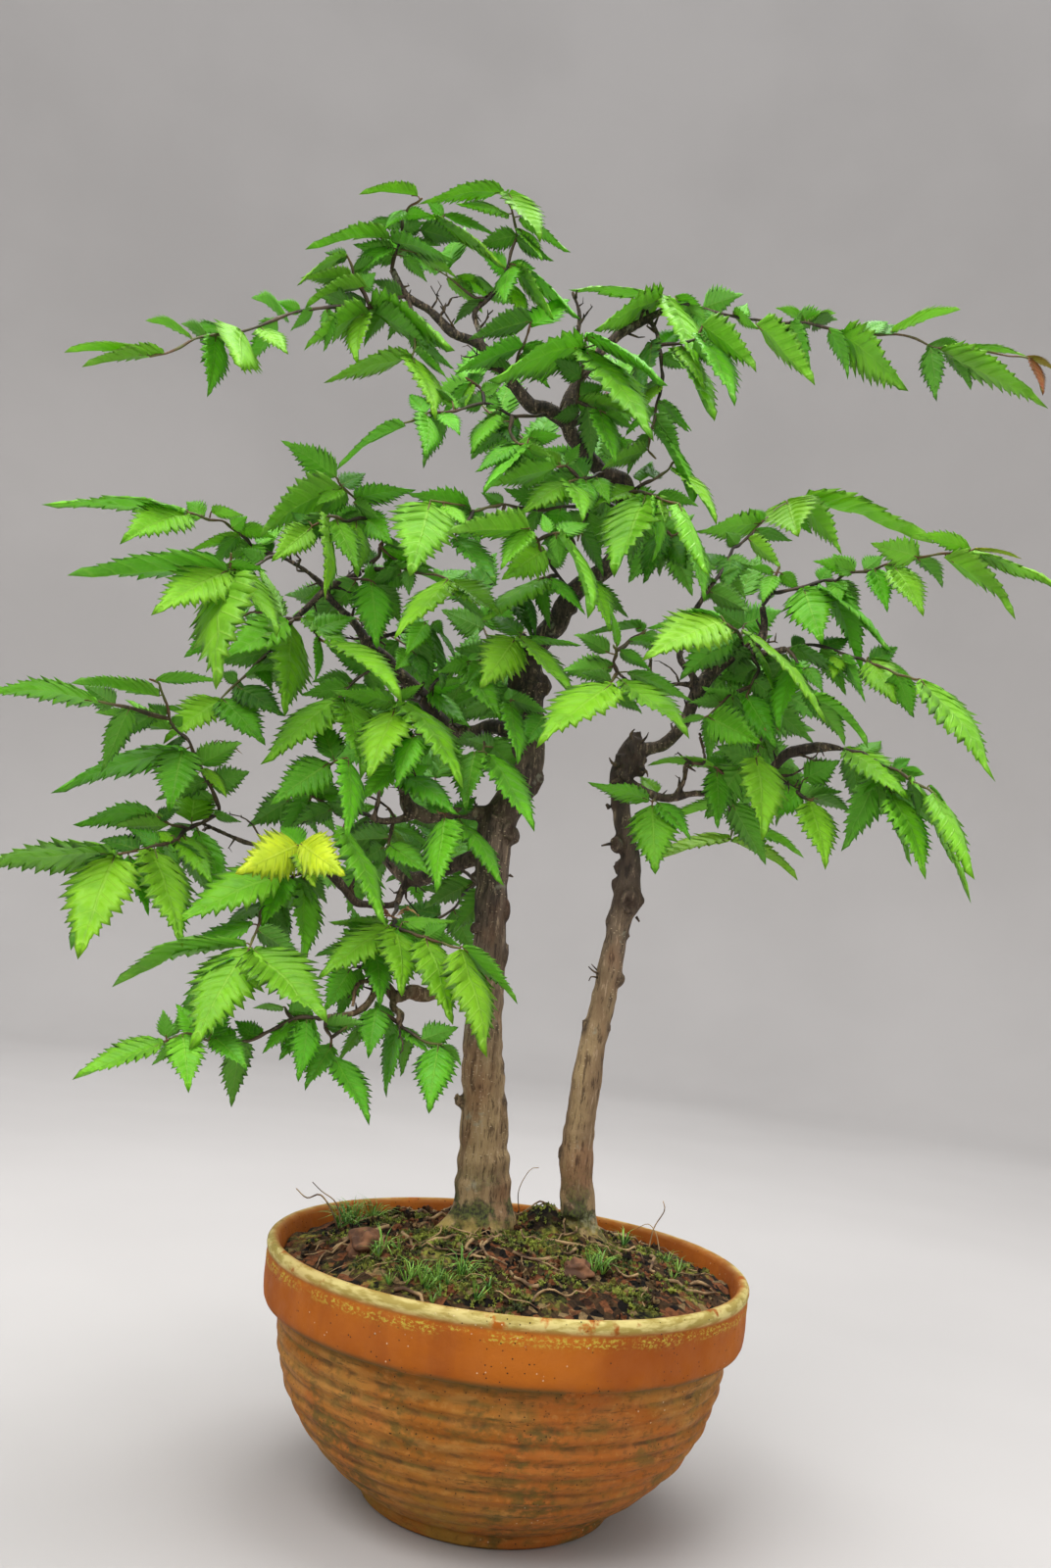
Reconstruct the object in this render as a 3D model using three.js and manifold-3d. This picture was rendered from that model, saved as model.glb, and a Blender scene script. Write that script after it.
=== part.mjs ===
// A japanese zelkova bonsai in a round unglazed terracotta bowl.
// Two trunks stand side by side in mounded soil and carry long drooping summer shoots.
// Millimetres, +Z up. The origin is the centre of the foot's underside, on the pot's axis.
// -Y is the side that the plant is looked at from.

import * as THREE from 'three';
import { mergeVertices } from 'three/addons/utils/BufferGeometryUtils.js';
import Module from 'manifold-3d';

const wasm = await Module();
wasm.setup();

// Pot
const RIM_RADIUS = 130;
const POT_HEIGHT = 126;
const LIP_THICKNESS = 6.5;
const BAND_HEIGHT = 31;
const BAND_STEP = 4;
const WALL = 7;
const FLOOR_TOP = 14;
const FLOOR_RADIUS = 72;
const MOUTH_RADIUS = 120;
const FOOT_RADIUS = 65;
const DRAIN_RADIUS = 7;
const DRAIN_RING = 26;
const DRAIN_COUNT = 3;
const MESH_RADIUS = 40;
const MESH_THICKNESS = 1.2;

// Soil
const SOIL_EDGE = 112;
const SOIL_TOP = 137;
const SOIL_FALL = 18;
const SOIL_MARGIN = 3;

// Clearance between pieces that touch, and the plates and stalks of the leaves
const MERGE_DISTANCE = 1e-4;
const SMALLEST_EDGE = 0.02;
const GAP = 0.3;
const CUT = 0.35;
const BLADE_THICKNESS = 0.9;
const BLADE_WIDEST_AT = 0.38;
const STEM_RADIUS = 1.25;
const STEM_TAPER = 0.45;
const THIN_LIMB = 3;
const SHORTEST_LEAF = 29;
const END_INSET = 2;
const LEAF_WIDTH_RATIO = 0.52;
const LEAF_WIDEST_RATIO = 0.8;

// The plant is set out as it is seen from one viewpoint, 724 mm in front of the pot's axis.
// A row's x and z are read on the plane of the trunks, y = 0, and y is the real depth there.
const VIEWPOINT = new THREE.Vector3(0, -723.65, 287.55);
const CORE_DEPTH = 14;
const DEPTH_STRETCH = 2.6;

// Limbs: a name and rows of x, z, radius, y.
const MAIN_LIMBS = [
  ['trunk', [[-16, 112, 20, 0], [-16, 130, 19, 0], [-18, 160, 15.2, 0], [-22, 200, 12.8, 0],
    [-27, 240, 10.7, 0], [-28, 280, 9.4, 0], [-31, 320, 9.2, 0], [-32, 355, 10.5, 0],
    [-21, 380, 9.5, 2], [-16, 400, 7.5, 4], [-19, 420, 7, 6], [-22, 440, 9, 8],
    [-24, 455, 7.5, 8], [-16, 470, 7, 8], [-10, 478, 7, 8], [-6, 490, 6, 8], [0, 500, 6, 8],
    [11, 509, 5.5, 8], [19, 519, 5.2, 8], [21, 535, 5, 8], [22, 552, 5, 8], [21, 566, 5.5, 8],
    [7, 572, 4.5, 8], [-5, 584, 4.7, 8], [-14, 594, 4.8, 8], [-16, 602, 5, 8]]],
  ['left_fork', [[-16, 600, 4.8, 8], [-29, 607, 4.7, 6], [-38, 608, 4.4, 4], [-45, 614, 3.7, 2],
    [-55, 625, 3.2, 0], [-73, 643, 3, -4], [-90, 649, 3, -8], [-106, 662, 2.6, -10],
    [-121, 670, 2.3, -12], [-132, 686, 2, -12]]],
  ['left_fork_spur', [[-73, 643, 2.4, -4], [-74, 650, 2, -2], [-79, 663, 1.8, 2],
    [-72, 672, 1.4, 0]]],
  ['right_fork', [[-16, 600, 4.6, 8], [-18, 611, 4, 10], [-10, 632, 3.6, 12], [-2, 645, 3.2, 13],
    [9, 658, 3, 14], [21, 667, 2.6, 14], [36, 678, 2.2, 14]]],
  ['right_fork_twig', [[-8, 636, 2, 12], [-15, 645, 1.6, 10], [-16, 668, 1.3, 8],
    [-22, 683, 1, 6]]],
  ['right_fork_drop', [[26, 670, 1.8, 14], [31, 662, 1.6, 12], [33, 654, 1.4, 10]]],
  ['branch_one', [[-34, 362, 6, 0], [-47, 362, 4.2, -4], [-55, 361, 3.6, -8],
    [-64, 359, 3.6, -10], [-72, 357, 4, -12], [-79, 360, 4.2, -12], [-84, 362, 4.2, -12],
    [-87, 369, 2.8, -14], [-91, 377, 2.2, -16]]],
  ['branch_one_left', [[-78, 358, 2.8, -12], [-90, 353, 2, -14], [-100, 352, 2.2, -16],
    [-104, 354, 2.2, -16]]],
  ['branch_one_spur', [[-102, 354, 1.5, -16], [-101, 365, 1.3, -18], [-102, 371, 1.2, -20]]],
  ['branch_two', [[-36, 340, 5.4, 0], [-50, 333, 4.4, 8], [-63, 326, 4.2, 14],
    [-70, 322, 4.4, 16], [-78, 321, 4.4, 18], [-85, 325, 4.2, 20], [-93, 331, 3, 22],
    [-104, 335, 2.2, 24]]],
  ['branch_two_drop', [[-79, 320, 2.6, 18], [-82, 312, 2.2, 16], [-84, 306, 2, 14],
    [-92, 304, 2, 10], [-100, 304, 2.2, 4], [-106, 304, 2.5, 0], [-113, 310, 2.8, -4],
    [-120, 317, 3, -8], [-128, 324, 3, -12]]],
  ['branch_two_twig', [[-128, 324, 2, -12], [-142, 331, 1.6, -6], [-156, 332, 1.4, -6],
    [-170, 331, 1.5, -8], [-185, 335, 1.4, -8], [-200, 340, 1.2, -8]]],
  ['branch_three', [[-32, 262, 5.5, 0], [-46, 260, 4.4, -6], [-54, 260, 4.2, -10],
    [-62, 257, 4.4, -14], [-70, 258, 4.2, -16], [-78, 254, 3.4, -18], [-84, 260, 2.6, -18],
    [-91, 262, 2.6, -18], [-97, 270, 2.1, -16]]],
  ['branch_three_low', [[-91, 262, 2.2, -18], [-90, 256, 2.3, -20], [-93, 249, 2.2, -22],
    [-98, 244, 2, -24], [-105, 241, 1.9, -26], [-115, 239, 1.7, -28]]],
  ['branch_three_knob', [[-77, 255, 3, -18], [-79, 249, 2.4, -20], [-74, 245, 2.2, -22],
    [-75, 240, 2.3, -22]]],
  ['branch_three_hook', [[-92, 262, 1.8, -18], [-99, 260, 1.7, -22], [-101, 255, 1.6, -24],
    [-101, 246, 1.4, -26]]],
  ['branch_four', [[-18, 405, 6, 4], [-38, 413, 4.6, 12], [-52, 408, 4.4, 18],
    [-64, 409, 4.3, 22], [-74, 416, 4.2, 22], [-86, 429, 4.3, 20], [-97, 437, 4.4, 18],
    [-108, 446, 4.5, 16], [-118, 452, 4.2, 14], [-121, 458, 3.2, 12], [-130, 468, 2.2, 10],
    [-138, 474, 2, 8], [-145, 480, 2.2, 6], [-147, 485, 2.4, 6], [-143, 487, 2.2, 4],
    [-136, 491, 2, 2], [-127, 496, 2, 0]]],
  ['branch_four_left', [[-147, 484, 2, 6], [-156, 472, 2, 2], [-163, 464, 1.8, -2]]],
  ['branch_four_up', [[-147, 485, 1.8, 6], [-160, 494, 1.5, 0], [-175, 501, 1.3, -4]]],
  ['branch_four_twig', [[-120, 456, 1.6, 12], [-108, 460, 1.4, 8], [-97, 464, 1.2, 6]]],
];

const SECOND_LIMBS = [
  ['trunk', [[35, 112, 12, 14], [34, 130, 11, 14], [33, 160, 9.2, 14], [32.5, 200, 8.5, 13],
    [35.5, 240, 7.9, 12], [40, 280, 8, 11], [44, 320, 8.5, 10], [45, 345, 6, 10],
    [41, 360, 6.5, 10], [37.5, 380, 5.8, 10], [36, 392, 7.5, 10], [40, 404, 7.5, 10],
    [44, 413, 5, 10]]],
  ['upper', [[40, 407, 4.5, 10], [48, 409, 3.8, 8], [57, 412, 3.7, 6], [65, 420, 3.7, 4],
    [70, 430, 3.8, 2], [73, 440, 4, 0], [76, 448, 4.6, 0], [80, 455, 4.5, 2], [86, 463, 4.5, 4],
    [92, 468, 4, 6], [98, 470, 4, 8], [106, 475, 3.2, 10], [110, 486, 2.4, 12],
    [108, 500, 1.8, 8]]],
  ['upper_spur', [[75, 449, 2.6, 0], [70, 456, 2.4, -4], [63, 465, 2, -4], [65, 482, 1.8, 0],
    [70, 495, 1.8, -1], [74, 503, 1.5, -2]]],
  ['upper_right', [[98, 470, 3.2, 8], [112, 472, 2.6, 4], [124, 476, 2, 0]]],
  ['upper_left', [[74, 449, 2.2, 0], [64, 449, 1.6, -6], [55, 447, 1.4, -10], [45, 446, 1.3, -14],
    [36, 447, 1.2, -18], [28, 452, 1.1, -22]]],
  ['lower', [[38, 390, 2.8, 8], [52, 384, 2.4, 4], [60, 382, 2.6, 2], [68, 383, 2.4, 0],
    [77, 386, 2, -2], [90, 388, 2, 4], [105, 394, 2.2, 8], [120, 404, 2.5, 6], [128, 414, 3, 4],
    [135, 417, 3.4, 2], [145, 420, 3.2, 0], [152, 421, 2.6, -2], [160, 421, 1.6, -4]]],
  ['lower_twig', [[68, 384, 1.6, 0], [72, 394, 1.5, -4], [72, 403, 1.4, -6], [82, 404, 1.1, -8],
    [81, 413, 1, -8], [78, 422, 0.8, -8]]],
  ['lower_drop', [[120, 403, 1.8, 6], [130, 398, 1.5, 2], [138, 392, 1.3, -2]]],
];

// Leafy shoots: a name, the stems as rows of x, z, y, and the leaves.
// A leaf's row holds where its blade starts and ends (x, z, then x, z), how far the tip lies
// behind the base (negative is towards the viewer), the width that shows, and its tone:
// 0 dark, 1 mid green, 2 fresh green, 3 lit through, 4 yellow, 5 red-brown and just opened.
const SHOOTS = [
  ['shoot_top_left',
    [[[-132, 686, -12], [-130, 700, -14], [-129, 711, -16], [-130, 720, -18], [-126, 728, -20],
      [-119, 734, -22]], [[-129, 711, -16], [-120, 712, -12], [-104, 724, -8]]],
    [[-122, 735, -155, 733, -14, 5, 3], [-109, 722, -67, 696, -10, 6, 3],
      [-107, 722, -129, 723, 6, 4, 3], [-104, 725, -72, 713, 6, 5, 2],
      [-129, 725, -139, 713, -6, 6, 1], [-136, 707, -182, 695, -16, 7, 2],
      [-134, 706, -98, 696, -18, 10, 1], [-135, 700, -153, 679, -12, 9, 1],
      [-118, 698, -94, 685, 8, 7, 3], [-126, 695, -111, 681, 6, 7, 1]]],
  ['shoot_top_centre',
    [[[-72, 672, 0], [-66, 684, -4], [-62, 697, -8], [-59, 715, -10], [-64, 732, -12],
      [-68, 742, -14]], [[-72, 672, 0], [-80, 673, 4], [-88, 678, 6], [-98, 685, 8]]],
    [[-70, 743, -117, 730, -10, 9, 2], [-67, 742, -46, 715, -14, 13, 2],
      [-58, 728, -28, 709, 8, 6, 2], [-65, 729, -96, 732, 10, 5, 3],
      [-58, 720, -43, 702, -8, 6, 2], [-61, 694, -62, 672, -14, 12, 1],
      [-59, 684, -48, 662, -6, 9, 3], [-58, 694, -33, 666, -10, 8, 3],
      [-57, 696, -18, 668, 6, 7, 1], [-92, 686, -69, 672, 12, 8, 2],
      [-98, 683, -76, 665, 14, 7, 2], [-106, 689, -146, 700, 18, 12, 1],
      [-100, 690, -92, 716, 22, 11, 1]]],
  ['shoot_far_left',
    [[[-121, 670, -12], [-142, 660, -18], [-156, 660, -22], [-172, 657, -26], [-189, 652, -30],
      [-209, 641, -36], [-228, 635, -42], [-245, 630, -48], [-261, 619, -52], [-270, 616, -54]],
    [[-142, 660, -18], [-154, 678, -20], [-160, 692, -22]],
    [[-121, 670, -12], [-116, 652, -18], [-112, 636, -22]]],
    [[-161, 693, -186, 672, -10, 5, 3], [-155, 678, -184, 675, -14, 9, 3],
      [-146, 674, -179, 658, -12, 6, 2], [-143, 658, -176, 632, -16, 13, 2],
      [-140, 664, -92, 641, -24, 15, 2], [-138, 658, -107, 639, -10, 9, 1],
      [-144, 655, -145, 626, -10, 12, 3], [-206, 641, -189, 627, -10, 10, 2],
      [-218, 637, -215, 616, -34, 26, 3], [-248, 632, -274, 638, 8, 6, 2],
      [-262, 619, -306, 606, -12, 7, 3], [-272, 617, -318, 613, -4, 5, 2],
      [-114, 633, -160, 612, -14, 10, 2.5], [-113, 632, -96, 597, -18, 14, 3],
      [-112, 636, -93, 622, -6, 5, 1], [-112, 642, -89, 628, -4, 6, 1]]],
  ['shoot_inner_fork',
    [[[-53, 624, 0], [-50, 640, -8], [-46, 652, -12], [-45, 660, -14]]],
    [[-44, 662, -78, 647, -10, 12, 0], [-48, 646, -83, 626, -12, 12, 1],
      [-44, 658, -24, 676, 16, 12, 1], [-48, 640, -30, 622, 12, 10, 1]]],
  ['shoot_fork_front',
    [[[-16, 606, 6], [-12, 614, -8], [-11, 630, -12], [-11, 650, -16], [-11, 658, -18]],
      [[-12, 614, -8], [-4, 611, -11], [4, 609, -13]]],
    [[-11, 650, -62, 624, -22, 17, 2], [-11, 657, 37, 632, -10, 5, 1],
      [-10, 646, 32, 598, -26, 17, 2], [-9, 614, 22, 609, -8, 8, 2],
      [2, 610, 13, 579, -14, 12, 1], [6, 608, 23, 599, -6, 5, 1], [-10, 607, -24, 602, -12, 8, 0]]],
  ['shoot_far_right',
    [[[35, 678, 13], [44, 682, 16], [52, 682, 18], [74, 677, 22], [91, 676, 24], [119, 677, 26],
      [140, 674, 28], [174, 675, 30], [196, 669, 28], [207, 670, 26], [241, 668, 22],
      [253, 668, 20]]],
    [[33, 684, -3, 661, -22, 15, 2], [30, 686, -20, 684, 10, 5, 2],
      [37, 684, 57, 644, -20, 14, 2], [40, 686, 59, 674, 8, 8, 2], [76, 680, 91, 671, -10, 6, 2],
      [90, 673, 125, 641, -14, 13, 3], [119, 679, 102, 684, 12, 6, 2],
      [121, 679, 136, 684, 14, 5, 2], [109, 673, 119, 653, 16, 8, 2],
      [141, 673, 180, 643, -22, 20, 3], [171, 677, 208, 693, 14, 6, 3],
      [208, 671, 251, 668, 10, 5, 3], [201, 668, 261, 640, -16, 14, 3],
      [254, 668, 262, 647, -6, 5, 5], [252, 669, 268, 662, 6, 4, 5]]],
  ['shoot_hanging_right',
    [[[33, 654, 10], [36, 640, 6], [37, 628, 4], [35, 616, 2], [33, 599, 0], [33, 588, -2],
      [38, 583, -6]], [[33, 654, 10], [45, 656, 2], [56, 661, -4], [58, 668, -6]]],
    [[58, 670, 90, 645, -14, 15, 2], [58, 663, 79, 623, -20, 13, 1],
      [47, 655, 62, 631, -12, 9, 2], [42, 652, 68, 613, -16, 10, 2],
      [29, 655, 28, 620, -14, 12, 0], [36, 628, 28, 613, -6, 6, 3], [38, 619, 56, 603, -6, 4, 1],
      [32, 588, 9, 574, -14, 9, 2], [36, 601, 60, 560, -14, 3.5, 1]]],
  ['shoot_thin_left',
    [[[-27, 604, 6], [-36, 602, -4], [-50, 601, -12], [-67, 607, -18], [-80, 602, -22],
      [-91, 599, -26], [-101, 597, -30], [-113, 590, -34]],
    [[-50, 601, -12], [-50, 592, -20], [-44, 584, -26], [-38, 583, -28]],
    [[-67, 607, -18], [-70, 616, -16], [-80, 622, -18]]],
    [[-91, 598, -80, 586, -10, 9, 1], [-100, 596, -98, 572, -16, 14, 1],
      [-113, 589, -147, 560, -12, 4.5, 1], [-83, 602, -94, 615, 6, 7, 1],
      [-76, 618, -78, 604, -4, 5, 2], [-60, 601, -71, 577, -14, 11, 1],
      [-38, 583, -59, 553, -12, 6, 1], [-45, 585, -66, 566, -10, 9, 1],
      [-54, 597, -46, 582, -8, 10, 0], [-44, 584, -56, 563, 8, 12, 0],
      [-38, 588, -20, 592, -8, 8, 1], [-38, 582, -24, 578, -4, 6, 3],
      [-86, 606, -104, 611, 8, 5, 0]]],
  ['shoot_bend',
    [[[9, 571, 6], [2, 568, -8], [-6, 566, -14], [-12, 564, -20]],
      [[-6, 566, -14], [-14, 573, -16], [-20, 572, -18]]],
    [[-20, 572, -58, 556, -18, 11, 1.5], [-18, 574, -30, 582, -6, 6, 3],
      [-14, 574, -8, 587, -8, 7, 1], [-12, 563, -36, 543, -18, 14, 2],
      [-11, 563, -2, 542, -22, 13, 2], [-2, 566, 3, 549, -12, 9, 1], [4, 568, 13, 553, -8, 10, 1]]],
  ['shoot_elbow',
    [[[23, 560, 6], [30, 562, -10], [36, 561, -20], [45, 558, -26], [54, 557, -30]],
      [[23, 560, 6], [31, 566, 0], [38, 570, -4], [46, 577, -6], [51, 584, -8]],
      [[22, 546, 6], [36, 547, 0], [46, 541, -4], [52, 537, -6], [60, 541, -10]],
      [[23, 560, 6], [28, 552, -2], [36, 547, 0]]],
    [[28, 563, 6, 550, -14, 10, 2], [34, 559, 22, 512, -30, 27, 2],
      [39, 559, 42, 523, -10, 7, 2], [54, 557, 74, 518, -16, 9, 2], [48, 578, 75, 549, -14, 7, 3],
      [46, 538, 38, 509, -8, 13, 0.1], [51, 535, 61, 519, -6, 15, 0.2],
      [60, 540, 73, 502, -12, 10, 0.9], [30, 568, 36, 580, 10, 7, 1], [44, 557, 47, 545, -8, 5, 3]]],
  ['shoot_mid_left',
    [[[19, 556, 8], [12, 558, 2], [2, 552, -6], [-14, 548, -14], [-35, 545, -20],
      [-48, 546, -22], [-58, 543, -24], [-66, 540, -26], [-78, 543, -30], [-92, 544, -34]],
    [[-48, 546, -22], [-49, 540, -23]], [[2, 552, -6], [-1, 540, -6], [-3, 528, -7]],
    [[-66, 540, -26], [-72, 530, -30], [-75, 523, -32]]],
    [[-68, 542, -103, 547, -10, 13, 1], [-92, 543, -98, 501, -26, 32, 2],
      [-84, 542, -68, 530, -8, 7, 2], [-75, 522, -50, 498, -12, 12, 0.5],
      [-15, 547, -18, 530, -8, 15, 1]]],
  ['shoot_centre',
    [[[-3, 495, 6], [-12, 506, -8], [-20, 516, -18], [-26, 526, -26], [-32, 533, -32]],
      [[-26, 526, -26], [-18, 531, -30], [-13, 532, -32]],
      [[-3, 495, 6], [1, 502, -8], [4, 509, -14]],
      [[-12, 506, -8], [-19, 504, -16], [-30, 498, -12], [-38, 490, -6]]],
    [[-32, 533, -76, 525, -18, 13, 2.5], [-32, 532, -45, 508, -10, 12, 2],
      [-22, 521, -43, 502, -20, 20, 3.6], [-13, 531, 7, 487, -20, 7, 2.2],
      [-20, 531, -25, 542, 4, 7, 1], [-18, 505, 4, 486, -12, 8, 1],
      [-20, 505, -52, 478, -20, 11, 1.6], [4, 508, 20, 478, -18, 12, 2.2],
      [-38, 489, -25, 468, -10, 9, 0], [-31, 496, -22, 470, -6, 6, 0],
      [-16, 530, -12, 513, 8, 9, 1]]],
  ['shoot_left_centre',
    [[[-127, 497, 0], [-112, 500, -4], [-104, 502, -6], [-90, 499, -12], [-76, 497, -18],
      [-70, 494, -20]], [[-104, 502, -6], [-112, 508, -8], [-119, 514, -10]]],
    [[-76, 497, -101, 461, -24, 14, 3.8], [-73, 496, -46, 480, -14, 13, 2],
      [-112, 501, -76, 493, -4, 4, 0.5], [-117, 516, -102, 511, -6, 4, 0],
      [-96, 504, -85, 503, -6, 3, 0], [-74, 490, -50, 473, -6, 6, 0.5],
      [-104, 498, -118, 486, 14, 12, 0.3]]],
  ['shoot_left_node',
    [[[-124, 497, 0], [-118, 507, -4], [-117, 516, -8], [-127, 529, -12], [-137, 541, -16],
      [-147, 549, -20], [-150, 553, -22]],
    [[-127, 529, -12], [-140, 526, -20], [-152, 528, -26], [-160, 521, -28]]],
    [[-137, 541, -104, 549, -14, 11, 1], [-137, 538, -121, 530, -6, 8, 1],
      [-130, 531, -112, 516, -8, 15, 1.2], [-134, 526, -129, 496, -12, 14, 1.8],
      [-149, 553, -182, 570, -14, 15, 1.5], [-147, 547, -187, 514, -20, 20, 2],
      [-145, 546, -158, 534, -10, 9, 1.6], [-152, 528, -147, 481, -18, 9, 3],
      [-146, 527, -130, 498, -8, 14, 2], [-160, 520, -179, 499, -12, 16, 2.5],
      [-161, 523, -172, 528, 8, 6, 0]]],
  ['shoot_left_upper',
    [[[-175, 501, -4], [-188, 504, -8], [-194, 506, -12], [-200, 511, -16], [-213, 519, -22],
      [-228, 521, -28], [-234, 522, -30]],
    [[-175, 501, -4], [-188, 495, -20], [-197, 492, -32], [-204, 490, -40], [-205, 500, -42]]],
    [[-235, 523, -314, 519, -10, 7, 2], [-234, 521, -268, 501, -30, 19, 2.2],
      [-220, 524, -202, 524, -6, 7, 3], [-202, 515, -182, 512, 14, 9, 1.8],
      [-201, 511, -229, 498, -8, 5, 3], [-194, 506, -187, 491, -4, 13, 1.2],
      [-190, 506, -176, 519, 10, 7, 1.5], [-206, 491, -291, 476, -14, 13, 1.2],
      [-205, 490, -243, 461, -30, 24, 2.8], [-203, 489, -203, 424, -30, 27, 2.6],
      [-199, 490, -174, 455, -18, 12, 2], [-207, 493, -184, 491, 8, 6, 1.5]]],
  ['shoot_left_middle',
    [[[-163, 464, -2], [-167, 462, -12]],
      [[-163, 464, -2], [-158, 465, -8], [-150, 458, -14], [-141, 452, -20]],
      [[-163, 464, -2], [-172, 463, 2], [-187, 466, 2], [-198, 461, 2]],
      [[-163, 464, -2], [-171, 450, 6], [-182, 435, 2], [-191, 423, -6], [-199, 413, -12]]],
    [[-167, 462, -199, 437, -24, 18, 1.8], [-166, 461, -161, 411, -30, 22, 2.8],
      [-170, 465, -186, 492, 8, 8, 2], [-157, 465, -128, 444, -12, 10, 1.8],
      [-141, 452, -98, 425, -20, 12, 2.7], [-147, 455, -146, 430, -6, 5, 1],
      [-199, 460, -222, 437, -6, 16, 1], [-194, 463, -216, 475, 18, 14, 1],
      [-190, 421, -163, 408, -12, 14, 0.2], [-198, 413, -172, 390, -16, 17, 0.8],
      [-191, 425, -201, 428, -4, 7, 0.4], [-187, 428, -160, 432, 14, 8, 0.7],
      [-199, 412, -226, 385, -20, 17, 2.6], [-176, 442, -160, 416, 16, 11, 0.2],
      [-171, 448, -162, 434, 8, 7, 0.3]]],
  ['shoot_left_dark',
    [[[-136, 491, 2], [-128, 492, -6], [-121, 492, -10]],
      [[-136, 491, 2], [-137, 484, 14], [-142, 478, 18]]],
    [[-121, 491, -113, 455, -10, 20, 1], [-130, 490, -142, 472, 16, 16, 0.3],
      [-118, 490, -101, 470, 22, 14, 0.2], [-143, 477, -168, 478, 12, 14, 0],
      [-142, 476, -150, 458, 14, 12, 0.2]]],
  ['shoot_branch_four',
    [[[-97, 464, 6], [-90, 466, -2], [-84, 468, -6], [-79, 468, -8]],
      [[-90, 466, -2], [-91, 458, -6], [-92, 452, -8]]],
    [[-86, 470, -95, 450, -10, 13, 1], [-93, 452, -100, 441, -8, 12, 0.8],
      [-90, 451, -82, 435, -8, 9, 0.2], [-82, 471, -75, 464, -4, 7, 0.3],
      [-83, 466, -73, 434, -8, 5, 0.3], [-78, 466, -67, 450, -4, 3, 0.3]]],
  ['shoot_tan_stem',
    [[[-84, 427, 20], [-77, 435, 2], [-70, 441, -6], [-57, 449, -14], [-52, 451, -16]],
      [[-84, 427, 20], [-89, 424, -4], [-98, 419, -20]]],
    [[-58, 450, -75, 442, -8, 9, 0.9], [-52, 450, -58, 437, -6, 9, 0.5],
      [-60, 445, -38, 419, -16, 14, 1.2], [-78, 434, -60, 437, -6, 5, 1.8],
      [-98, 421, -133, 424, -14, 11, 1.8], [-98, 417, -107, 378, -30, 24, 2.9],
      [-97, 423, -84, 433, -4, 6, 1.8], [-93, 422, -57, 379, -30, 16, 2.2],
      [-80, 429, -55, 412, -6, 8, 1]]],
  ['shoot_pale_left',
    [[[-108, 446, 14], [-118, 436, 0], [-127, 426, -12], [-131, 421, -18]]],
    [[-131, 421, -168, 381, -24, 17, 2], [-128, 420, -114, 378, -22, 20, 2],
      [-124, 430, -146, 428, 8, 9, 0.4], [-116, 437, -104, 420, 10, 9, 1]]],
  ['shoot_left_low',
    [[[-200, 340, -8], [-191, 348, -10], [-197, 360, -16], [-206, 374, -20], [-213, 385, -24],
      [-221, 391, -26], [-227, 398, -28], [-229, 405, -30], [-233, 412, -32], [-236, 418, -34],
      [-242, 420, -36]], [[-227, 398, -28], [-250, 402, -40], [-262, 403, -44], [-270, 404, -46]]],
    [[-235, 411, -283, 413, -12, 7, 1.8], [-238, 420, -202, 423, 10, 6, 1.2],
      [-270, 404, -336, 402, -10, 12, 2], [-226, 392, -267, 397, -14, 9, 1.5],
      [-222, 392, -252, 405, 10, 4, 1.8], [-230, 405, -220, 404, 6, 3, 1],
      [-216, 381, -284, 353, -20, 12, 1], [-217, 380, -219, 346, -22, 22, 0.7],
      [-207, 373, -185, 387, -10, 13, 1.5], [-203, 371, -189, 357, -8, 6, 2.8]]],
  ['shoot_left_cluster',
    [[[-200, 340, -8], [-207, 336, -14], [-217, 337, -20], [-228, 342, -24]],
      [[-207, 336, -14], [-213, 329, -21], [-226, 324, -27], [-236, 320, -31], [-246, 317, -34]]],
    [[-228, 343, -270, 333, -14, 12, 1], [-226, 341, -215, 346, 8, 7, 0],
      [-206, 340, -206, 363, 10, 22, 1.8], [-219, 337, -247, 333, -14, 9, 2],
      [-215, 331, -232, 328, -10, 6, 3], [-246, 318, -325, 304, -16, 16, 2.2],
      [-247, 316, -258, 261, -32, 30, 2.9], [-243, 317, -262, 265, -2, 24, 0.6],
      [-239, 317, -224, 287, -6, 10, 0.9], [-225, 323, -203, 273, -26, 22, 2.6],
      [-210, 332, -190, 308, -16, 14, 2.3], [-202, 336, -183, 299, 2, 14, 1],
      [-211, 328, -190, 301, 14, 11, 0.3]]],
  ['shoot_yellow',
    [[[-128, 324, -12], [-134, 328, -21], [-143, 333, -29]],
      [[-128, 324, -12], [-136, 318, -15], [-143, 316, -19], [-152, 316, -23]],
      [[-143, 316, -19], [-151, 303, -22], [-160, 293, -26], [-161, 281, -30], [-163, 273, -34]]],
    [[-144, 333, -174, 315, -26, 24, 4], [-142, 334, -117, 320, -24, 22, 4],
      [-142, 331, -131, 312, -16, 10, 3.6], [-143, 328, -165, 318, 6, 7, 1],
      [-152, 316, -203, 284, -26, 21, 1.9], [-147, 315, -157, 286, -16, 15, 1.2],
      [-137, 312, -134, 270, -18, 15, 1.7], [-138, 316, -124, 303, 12, 10, 0.2],
      [-157, 296, -142, 285, 8, 12, 0.2], [-163, 273, -187, 218, -34, 29, 2.7],
      [-161, 272, -118, 238, -30, 25, 1.9], [-163, 286, -203, 265, -10, 9, 1],
      [-166, 275, -232, 246, 10, 9, 1.5], [-165, 270, -201, 222, 7, 12, 1]]],
  ['shoot_lower_left',
    [[[-115, 239, -28], [-122, 238, -30], [-134, 236, -32], [-146, 228, -33], [-155, 222, -35],
      [-163, 221, -36], [-178, 219, -40], [-192, 222, -44], [-204, 216, -48]],
    [[-115, 239, -28], [-115, 233, -28], [-111, 228, -28], [-109, 218, -28]],
    [[-111, 228, -28], [-103, 235, -30]], [[-134, 236, -32], [-139, 242, -30]]],
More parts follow.
